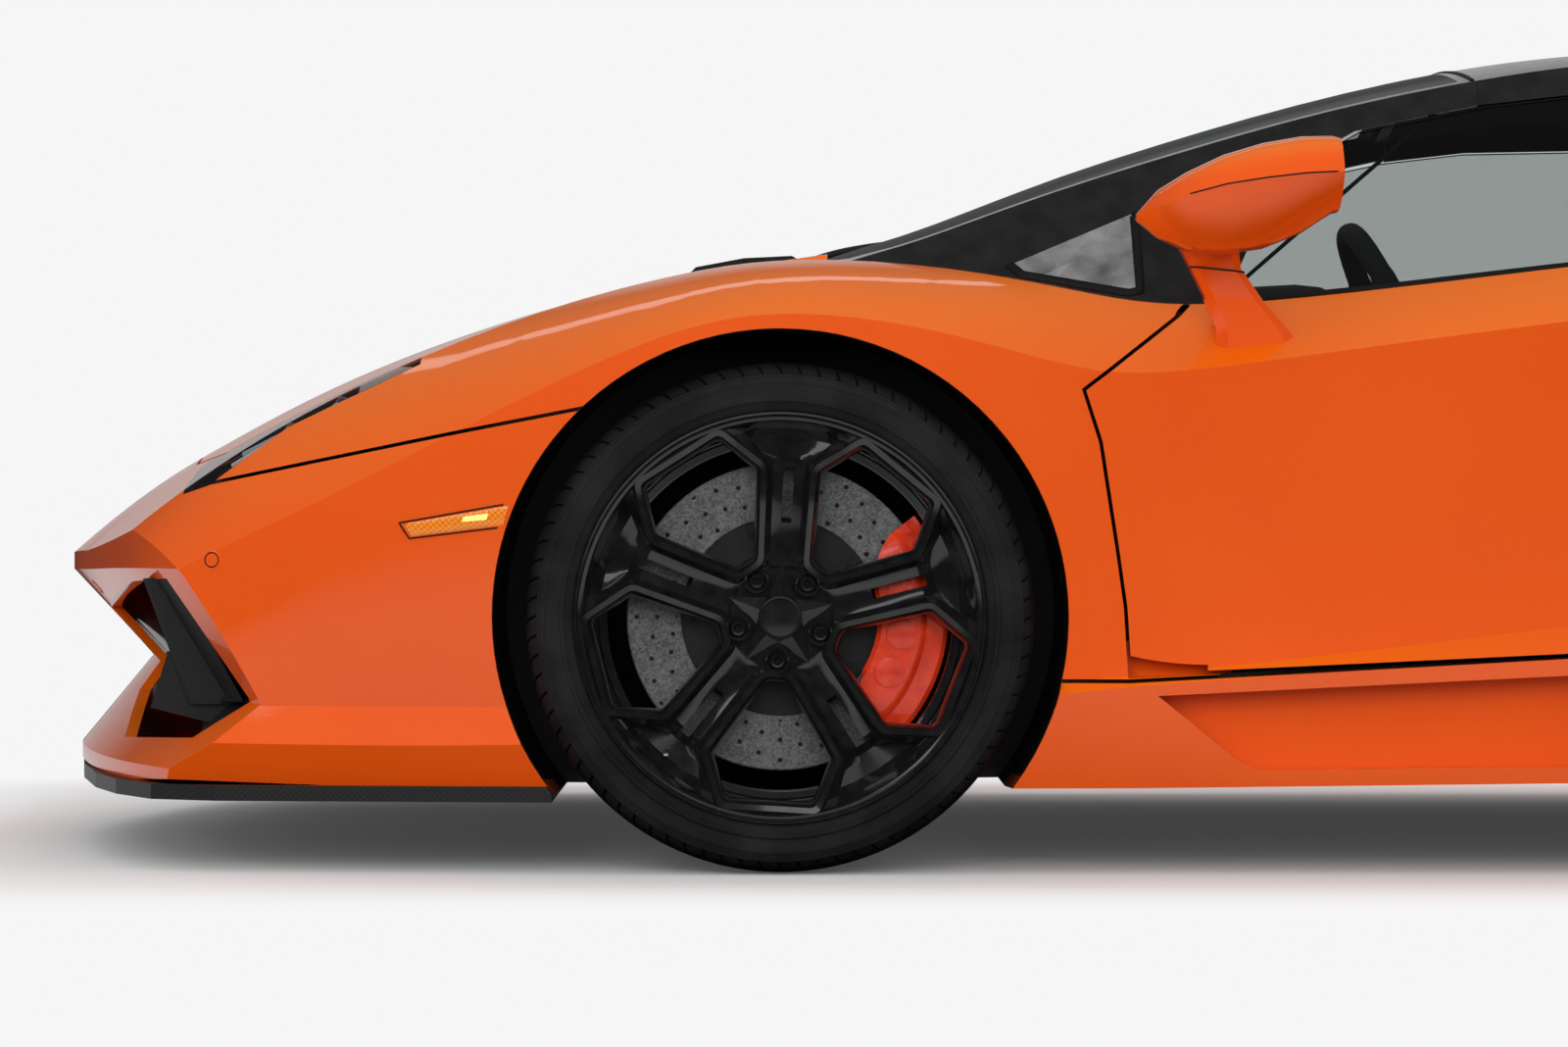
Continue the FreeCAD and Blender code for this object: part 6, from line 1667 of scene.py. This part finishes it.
BOLSTERS = {
    "Base_bolster": (Vector((0.125, 0, 0.305)), Vector((1, 0, 0.04)), 0.085, 0.4, 0.125, 0.203),
    "Back_bolster": (BACK_FOOT + UP_THE_BACK * 0.17 + Vector((0.004, 0, 0.004)), UP_THE_BACK, 0.085, 0.33, 0.125,
                     0.186),
}
for name, (centre, forward, width, length, thick, crown, channels, lean) in CUSHIONS.items():
    pair(name, cushion_shape(centre, ACROSS, forward, width, length, thick, crown, channels, lean=lean), leather,
         "leather_black", stands_for=("seats",) if name == "Base_cushion" else (), padding=0.85, crease=80)
    pair(name + "_seam", cushion_seam(centre, ACROSS, forward, width, length, lean=lean), thread, "leather_black",
         crease=80)
for name, (centre, forward, width, length, thick, offset) in BOLSTERS.items():
    for word, side in (("inner", -1), ("outer", 1)):
        middle = Vector((centre.x, SEAT_MIDDLE + side * offset, centre.z))
        tipped = (ACROSS + (Vector((0, 0, 1)) if name == "Base_bolster" else Vector((1, 0, 0))) * 0.3 * -side)
        form = cushion_shape(middle, tipped, forward, width, length, thick, 0.15, 0, 0.02, columns=15)
        pair(name + "_" + word, form, leather, "leather_black", padding=0.9, crease=80)
print("cushions:", 2 * (len(CUSHIONS) + 2 * len(BOLSTERS)))

# %% [markdown]
# The shell is a thin moulded tub behind and under the cushions, rounded at the shoulders: a loft of
# rings up the back and another along the pan. A pair of rails carries it.

# %% Buckets
SHELL_RINGS = [
    # share up the back, half width, depth behind
    (-0.16, 0.225, 0.05), (0.1, 0.236, 0.048), (0.35, 0.238, 0.045), (0.58, 0.225, 0.042), (0.72, 0.19, 0.04),
    (0.82, 0.14, 0.038), (0.97, 0.118, 0.036), (1.015, 0.085, 0.03),
]


def shell_ring(share, half, depth):
    back = BACK_FOOT + (BACK_HEAD - BACK_FOOT) * share
    behind = Vector((-UP_THE_BACK.z, 0, UP_THE_BACK.x))
    outline = [(1, 0.35), (1.0, 0.75), (0.82, 1.0), (0, 1.08), (-0.82, 1.0), (-1.0, 0.75), (-1, 0.35), (0, 0.45)]
    return [back + Vector((0, half * side, 0)) + behind * (depth * out) for side, out in outline]


back_shell = loft([shell_ring(*row) for row in SHELL_RINGS])
pan = []
for x, z, half in ((0.318, 0.3, 0.2), (0.322, 0.225, 0.21), (0.2, 0.205, 0.232), (0.0, 0.2, 0.236),
                   (-0.105, 0.225, 0.226)):
    pan.append([Vector((x, SEAT_MIDDLE + half * side, z + rise)) for side, rise in
                ((1, 0.06), (1, 0.0), (0.8, -0.016), (-0.8, -0.016), (-1, 0.0), (-1, 0.06), (-0.9, 0.055),
                 (-0.8, 0.012), (0.8, 0.012), (0.9, 0.055))])
pan_shell = loft(pan)
rails = [tube([(-0.1, SEAT_MIDDLE + side, 0.186), (0.3, SEAT_MIDDLE + side, 0.186)], 0.012, 12)
         for side in (-0.17, 0.17)]
pair("Bucket", join_parts(back_shell, pan_shell, *rails), carbon, "carbon", crease=50, round_edge=0.004)
print("buckets built")

# %% [markdown]
# The steering wheel is a leather rim with a flattened foot, three tapered spokes and a six-sided plain
# pad, with a shift paddle behind each side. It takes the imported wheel's centre, tilt and radius, and
# turns with it.

# %% Steering wheel
WHEEL_CENTRE = Vector((0.4856, 0.365, 0.702))
WHEEL_TILT = math.radians(25)
WHEEL_AXIS = Vector((-math.cos(WHEEL_TILT), 0, math.sin(WHEEL_TILT)))
WHEEL_SIDE = Vector((0, 1, 0))
WHEEL_UP = -WHEEL_AXIS.cross(WHEEL_SIDE)
STEERED = "steering_wheel_body"
GRIP = 0.0155
RIM_RADIUS = 0.172


def on_rim(turn, radius, out=0.0):
    side, up = math.cos(turn) * radius, math.sin(turn) * radius
    if up < -0.86 * RIM_RADIUS:
        up = -0.86 * RIM_RADIUS + (up + 0.86 * RIM_RADIUS) * 0.2
    return WHEEL_CENTRE + WHEEL_SIDE * side + WHEEL_UP * up + WHEEL_AXIS * out


rings = []
for step in range(96):
    turn = math.tau * step / 96
    spot = on_rim(turn, RIM_RADIUS)
    outward = (spot - WHEEL_CENTRE).normalized()
    thick = GRIP * (1.1 if abs(math.cos(turn)) > 0.8 else 1.0)
    rings.append([spot + outward * thick * 0.82 * math.cos(angle) + WHEEL_AXIS * thick * math.sin(angle)
                  for angle in (math.tau * k / 14 for k in range(14))])
rim_form = [point for ring in rings for point in ring], grid_faces(96, 14, close_rows=True, close_columns=True)
make_piece("Steering_rim", rim_form, leather, "leather_black", STEERED, ("steering_wheel",), crease=70)
spokes = []
for turn, width in ((math.radians(2), 0.046), (math.radians(178), 0.046), (math.radians(270), 0.06)):
    outward = (on_rim(turn, RIM_RADIUS) - WHEEL_CENTRE).normalized()
    beside = outward.cross(WHEEL_AXIS).normalized()
    rings = []
    for share, half, lift in ((0.22, 0.6, -0.016), (0.45, 0.42, -0.012), (0.72, 0.34, -0.006), (0.95, 0.44, 0.0)):
        spot = WHEEL_CENTRE + outward * (RIM_RADIUS * share) + WHEEL_AXIS * lift
        rings.append([spot + beside * width * half * a + WHEEL_AXIS * 0.008 * b for a, b in
                      ((1, 0.3), (0.7, 1), (-0.7, 1), (-1, 0.3), (-0.7, -1), (0.7, -1))])
    spokes.append(loft(rings))
paddles = []
for side in (1, -1):
    rings = []
    for up, reach in ((-0.035, 0.07), (0.0, 0.105), (0.045, 0.112), (0.08, 0.088)):
        spot = WHEEL_CENTRE + WHEEL_UP * up - WHEEL_AXIS * 0.034
        rings.append([spot + WHEEL_SIDE * side * (reach + a) + WHEEL_AXIS * b for a, b in
                      ((0.0, 0.002), (-0.03, 0.002), (-0.03, -0.002), (0.0, -0.002))])
    paddles.append(loft(rings))
make_piece("Steering_spokes", join_parts(*spokes, *paddles), gloss_black, "gloss_black", STEERED, crease=30,
           round_edge=0.0015)
pad_rings = []
for scale, lift in ((0.96, -0.02), (1.0, 0.0), (0.93, 0.008), (0.55, 0.0115), (0.05, 0.012)):
    pad_rings.append([WHEEL_CENTRE + WHEEL_SIDE * 0.062 * scale * math.cos(math.pi * k / 3)
                      + WHEEL_UP * 0.052 * scale * math.sin(math.pi * k / 3) + WHEEL_AXIS * lift for k in range(6)])
make_piece("Steering_pad", loft(pad_rings), leather, "leather_black", STEERED, crease=40, round_edge=0.003)
print("steering wheel built")

# %% [markdown]
# On the dashboard stand the instrument hood with its dark screen, a row of six-sided air vents and a
# slim screen over the console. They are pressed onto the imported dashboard, which keeps its leather.

# %% Instrument hood, vents and console
HOOD = ((1, 0), (0.97, 0.45), (0.8, 0.86), (0.4, 1), (-0.4, 1), (-0.8, 0.86), (-0.97, 0.45), (-1, 0))
hood_rings = []
for x, half, low, high in ((0.8, 0.12, 0.735, 0.76), (0.72, 0.16, 0.735, 0.778), (0.64, 0.172, 0.735, 0.782),
                           (0.6, 0.165, 0.735, 0.778)):
    hood_rings.append([Vector((x, SEAT_MIDDLE + half * a, low + (high - low) * b)) for a, b in HOOD])
make_piece("Instrument_hood", loft(hood_rings), leather, "leather_black", crease=50, round_edge=0.004)
dash_face = surface_of("dashboard")
for name, right, left, low, high, taper in (("Instrument_screen", 0.245, 0.485, 0.648, 0.728, 0.01),
                                            ("Middle_screen", -0.085, 0.085, 0.575, 0.665, 0.0)):
    start = 0.45 if taper else 0.42
    corners = [(start, right, low), (start, left, low), (start, left - taper, high), (start, right + taper, high)]
    make_piece(name, patch(dash_face, corners, (1, 0, 0), 9, 5, 0.003), screen_dark, "gloss_black", crease=40)
vent_parts = []
for y in (-0.66, -0.58, -0.155, 0.155, 0.64):
    place, normal = pressed(dash_face, (0.42, y, 0.675), (1, 0, 0))
    ring = [(0.0335, -0.004), (0.034, 0.004), (0.03, 0.0075), (0.0262, 0.005), (0.0255, -0.01)]
    vent_parts.append(turned(ring, place, normal, 6))
    for slat in (-0.014, 0.0, 0.014):
        level = place + Vector((0, 0, slat)) + normal * 0.001
        vent_parts.append(tube([level - Vector((0, 0.026, 0)), level + Vector((0, 0.026, 0))], 0.0022, 8))
make_piece("Air_vents", join_parts(*vent_parts), gloss_black, "gloss_black", crease=30)
print("vent parts:", len(vent_parts))

# %% Console switches
console_face = surface_of("centre_console")
switch_parts = []
for x in (0.36, 0.31, 0.26):
    for y in (-0.05, -0.017, 0.017, 0.05):
        place, normal = pressed(console_face, (x, y, 1.0))
        profile = [(0.0003, 0.0062), (0.0085, 0.0058), (0.0105, 0.004), (0.011, -0.003)]
        switch_parts.append(turned(profile, place, normal, 6))
make_piece("Console_switches", join_parts(*switch_parts), gloss_black, "gloss_black", crease=30)
place, normal = pressed(console_face, (0.19, 0.0, 1.0))
BUTTON = [(0.0003, 0.016), (0.012, 0.0155), (0.0185, 0.0125), (0.0205, 0.004), (0.025, 0.0025), (0.0265, -0.002)]
make_piece("Start_button", turned(BUTTON, place, normal, 32), caliper_red, "caliper_red", crease=30)
arm_form = cushion_shape((-0.06, 0.0, 0.41), ACROSS, (1, 0, 0), 0.15, 0.3, 0.06, 0.2, 0, 0.03)
make_piece("Arm_rest", arm_form, leather, "leather_black", crease=80, padding=0.9)
print("console dressed")

# %% [markdown]
# The inside of each door and of the roof is lined. A lining is the panel's own inward face, moved a
# few millimetres into the cabin, so that it fits whatever the panel's shape.

# %% Linings
def lining(node, side, towards, least):
    """The faces of a packed panel that look towards a direction, moved that way by a little."""
    look = Vector(towards)
    shape = skin_of(node, lambda face: face.normal.dot(look) >= least and face.calc_center_median().y * side >= 0)
    for vertex in shape.verts:
        vertex.co += look * 0.003
    return drained(shape)


pair("Door_lining", lining("door_left", 1, (0, -1, 0), 0.55), leather, "leather_black", DOOR, crease=40)
make_piece("Roof_lining", lining("roof_panels", 0, DOWN, 0.5), carpet, "leather_black", crease=40)
pull_route = [(0.3, 0.785, 0.555), (0.27, 0.765, 0.585), (0.12, 0.765, 0.6), (-0.03, 0.765, 0.59),
              (-0.06, 0.785, 0.56)]
pair("Door_pull", tube(pull_route, 0.011, 14), leather, "leather_black", DOOR, crease=60)
print("linings made")

# %% [markdown]
# # Engine bay
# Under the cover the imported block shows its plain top. A twelve-cylinder engine of this type has two
# long head covers with ribs, two air chests between them with their runners, and a brace of crossed
# tubes above. They are built from the block's own box, so that they stay inside the bay.

# %% Engine top
block_low, block_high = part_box("engine_block")
block_middle = 0.5 * (block_low + block_high)
block_length = block_high.x - block_low.x
block_half = 0.5 * (block_high.y - block_low.y)
ENGINE_TOP = block_high.z
BEDDED = ENGINE_TOP - 0.002
BAR = ((1, 0), (1, 0.55), (0.86, 0.86), (0.5, 1), (-0.5, 1), (-0.86, 0.86), (-1, 0.55), (-1, 0))


def rounded_bar(x_rear, x_front, y, z, half_width, height, ribs=0):
    """A long cover with rounded shoulders; ribs cross its top."""
    rings = []
    steps = max(2 * ribs, 1) * 2
    for step in range(steps + 1):
        share = step / steps
        x = x_rear + (x_front - x_rear) * share
        rise = 0.004 if ribs and step % 4 in (1, 2) else 0.0
        end = 0.86 if step in (0, steps) else 1.0
        rings.append([Vector((x, y + half_width * a * end, z + (height + rise) * b * end)) for a, b in BAR])
    return loft(rings)


covers, chests, runners = [], [], []
for side in (1, -1):
    y = block_middle.y + side * block_half * 0.62
    covers.append(rounded_bar(block_low.x + 0.03, block_high.x - 0.03, y, BEDDED, block_half * 0.26, 0.045, 9))
    y_chest = block_middle.y + side * block_half * 0.19
    chests.append(rounded_bar(block_low.x + 0.1, block_high.x - 0.05, y_chest, BEDDED, block_half * 0.15, 0.07))
    for index in range(6):
        x = block_low.x + block_length * (0.17 + 0.132 * index)
        route = [(x, y_chest + side * block_half * t, ENGINE_TOP + h) for t, h in
                 ((0.08, 0.05), (0.18, 0.058), (0.28, 0.052), (0.36, 0.034))]
        runners.append(tube([Vector(point) for point in route], 0.014, 12))
brace = []
level, far = ENGINE_TOP + 0.095, block_half * 0.95
x_ends = block_low.x + 0.06, block_high.x - 0.02
for side in (1, -1):
    brace.append(tube([Vector((x_ends[0], side * far, level)), Vector((x_ends[1], -side * far, level))], 0.012, 16))
    for x in x_ends:
        brace.append(tube([Vector((x, side * far, level)), Vector((x, side * far, BEDDED))], 0.01, 12))
for name, parts, finish, slot, crease in (
        ("Head_covers", covers, caliper_red, "caliper_red", 40),
        ("Air_chests", chests, engine_alloy, "engine_alloy", 40),
        ("Intake_runners", runners, alloy, "engine_alloy", 60), ("Bay_brace", brace, carbon, "carbon", 60)):
    make_piece(name, join_parts(*parts), finish, slot, crease=crease)
print("engine top at", round(ENGINE_TOP, 3), "long", round(block_length, 3))

# %% [markdown]
# # Tail and engine cover
# The photograph doesn't show the tail, so it follows the type: a black louvred window over the engine,
# slim lamps with a light guide shaped like a Y, black six-sided mesh in the openings below them, and one
# broad exhaust in the middle. Each louvre is a low blade pressed onto the cover, so it lifts with it.

# %% Engine cover louvres
cover = surface_of("engine_cover")
cover_body = body_of_node["engine_cover"]
cover_low, cover_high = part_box("engine_cover")
LOUVRES = 6
OVERHEAD = 1.6
for index in range(LOUVRES):
    share = 0.13 + 0.125 * index
    x = cover_high.x + share * (cover_low.x - cover_high.x)
    half = 0.35 - 0.012 * index
    rings = []
    for step in range(17):
        y = half * (-1 + 2 * step / 16)
        front, normal = pressed(cover, (x + 0.055, y, OVERHEAD))
        rear, rear_normal = pressed(cover, (x - 0.075, y, OVERHEAD))
        rise = 0.03 * (1 - 0.35 * (y / half) ** 4)
        rings.append([front - normal * 0.003, front + normal * 0.004, rear + rear_normal * (rise + 0.004),
                      rear + rear_normal * rise - Vector((0.002, 0, 0)), rear.lerp(front, 0.35) + normal * 0.006])
    make_piece("Engine_louvre_%d" % (index + 1), loft(rings), gloss_black, "gloss_black", cover_body, crease=40)
fore, aft = cover_high.x - 0.06, cover_low.x + 0.22
window = [(fore, -0.375, OVERHEAD), (fore, 0.375, OVERHEAD), (aft, 0.3, OVERHEAD), (aft, -0.3, OVERHEAD)]
make_piece("Engine_window", patch(cover, window, DOWN, 33, 25, 0.0012), gloss_black, "gloss_black", cover_body,
           crease=40)
print("louvres:", LOUVRES)

# %% Tail lamps
tail_low, tail_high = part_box("tail_lamps")
bumper_rear = surface_of("rear_bumper", "tail_lamps")
BEHIND = -3.0
FORWARD = (1, 0, 0)
guides = []
middle = 0.5 * (tail_low.z + tail_high.z)
for inner, outer in ((0.4, 0.56), (0.6, 0.76)):
    for tip in (0.02, -0.02):
        route = [Vector((BEHIND, inner, middle)), Vector((BEHIND, 0.5 * (inner + outer), middle)),
                 Vector((BEHIND, outer, middle + tip))]
        fine = [a.lerp(b, step / 8) for a, b in zip(route, route[1:]) for step in range(8)] + route[-1:]
        guides.append(tube([pressed(bumper_rear, point, FORWARD, 0.003)[0] for point in fine], 0.0052, 10))
pair("Tail_guide", join_parts(*guides), tail_glow, "tail_lens")
low, high = tail_low.z - 0.002, tail_high.z + 0.002
corners = [(0.303, low), (0.876, low), (0.876, high), (0.303, high), (0.303, low)]
frame_route = []
for (y0, z0), (y1, z1) in zip(corners, corners[1:]):
    steps = 14 if abs(y1 - y0) > 0.1 else 4
    frame_route += [(BEHIND, y0 + (y1 - y0) * step / steps, z0 + (z1 - z0) * step / steps) for step in range(steps)]
frame_route.append((BEHIND, *corners[0]))
pair("Tail_lamp_frame", strip_on(bumper_rear, frame_route, 0.0045, 0.003, FORWARD), gloss_black, "gloss_black",
     crease=STRIP_CREASE)
low, high = tail_low.z + 0.002, tail_high.z - 0.002
panel = [(BEHIND, -0.296, low), (BEHIND, 0.296, low), (BEHIND, 0.296, high), (BEHIND, -0.296, high)]
make_piece("Tail_panel", patch(bumper_rear, panel, FORWARD, 33, 7, 0.0022), gloss_black, "gloss_black", crease=40)
print("tail lamps from z", round(tail_low.z, 3), "to", round(tail_high.z, 3))

# %% Rear mesh and exhaust
MESH_ACROSS, MESH_UP = (0.03, -1, 0), (-0.02, 0, 1)
cells = honeycomb((-2.185, 0.8, 0.32), MESH_ACROSS, MESH_UP, 0.62, 0.215, lambda x, y: True)
pair("Rear_mesh", cells, dark_plastic, "gloss_black")
pair("Rear_radiator", radiator((-2.15, 0.82, 0.31), MESH_ACROSS, MESH_UP, 0.66, 0.235, 40), dark_plastic,
     "engine_alloy", crease=20)
PIPE = Vector((-2.374, 0.0, 0.369))
tip = [(0.056, 0.05), (0.056, -0.004), (0.059, -0.0075), (0.064, -0.007), (0.0665, -0.0035), (0.0665, 0.03),
       (0.064, 0.055)]
parts = [turned(tip, PIPE + Vector((0.01, 0, 0)), (1, 0, 0), 64)]
for y, z in ((0.024, 0.02), (-0.024, 0.02), (0.024, -0.02), (-0.024, -0.02)):
    inner = [(0.017, 0.09), (0.017, 0.022), (0.0188, 0.02), (0.0205, 0.022), (0.0205, 0.09)]
    parts.append(turned(inner, PIPE + Vector((0.0, y, z)), (1, 0, 0), 28))
make_piece("Exhaust_tips", join_parts(*parts), burnt_steel, "steel", crease=35)
print("exhaust dressed")
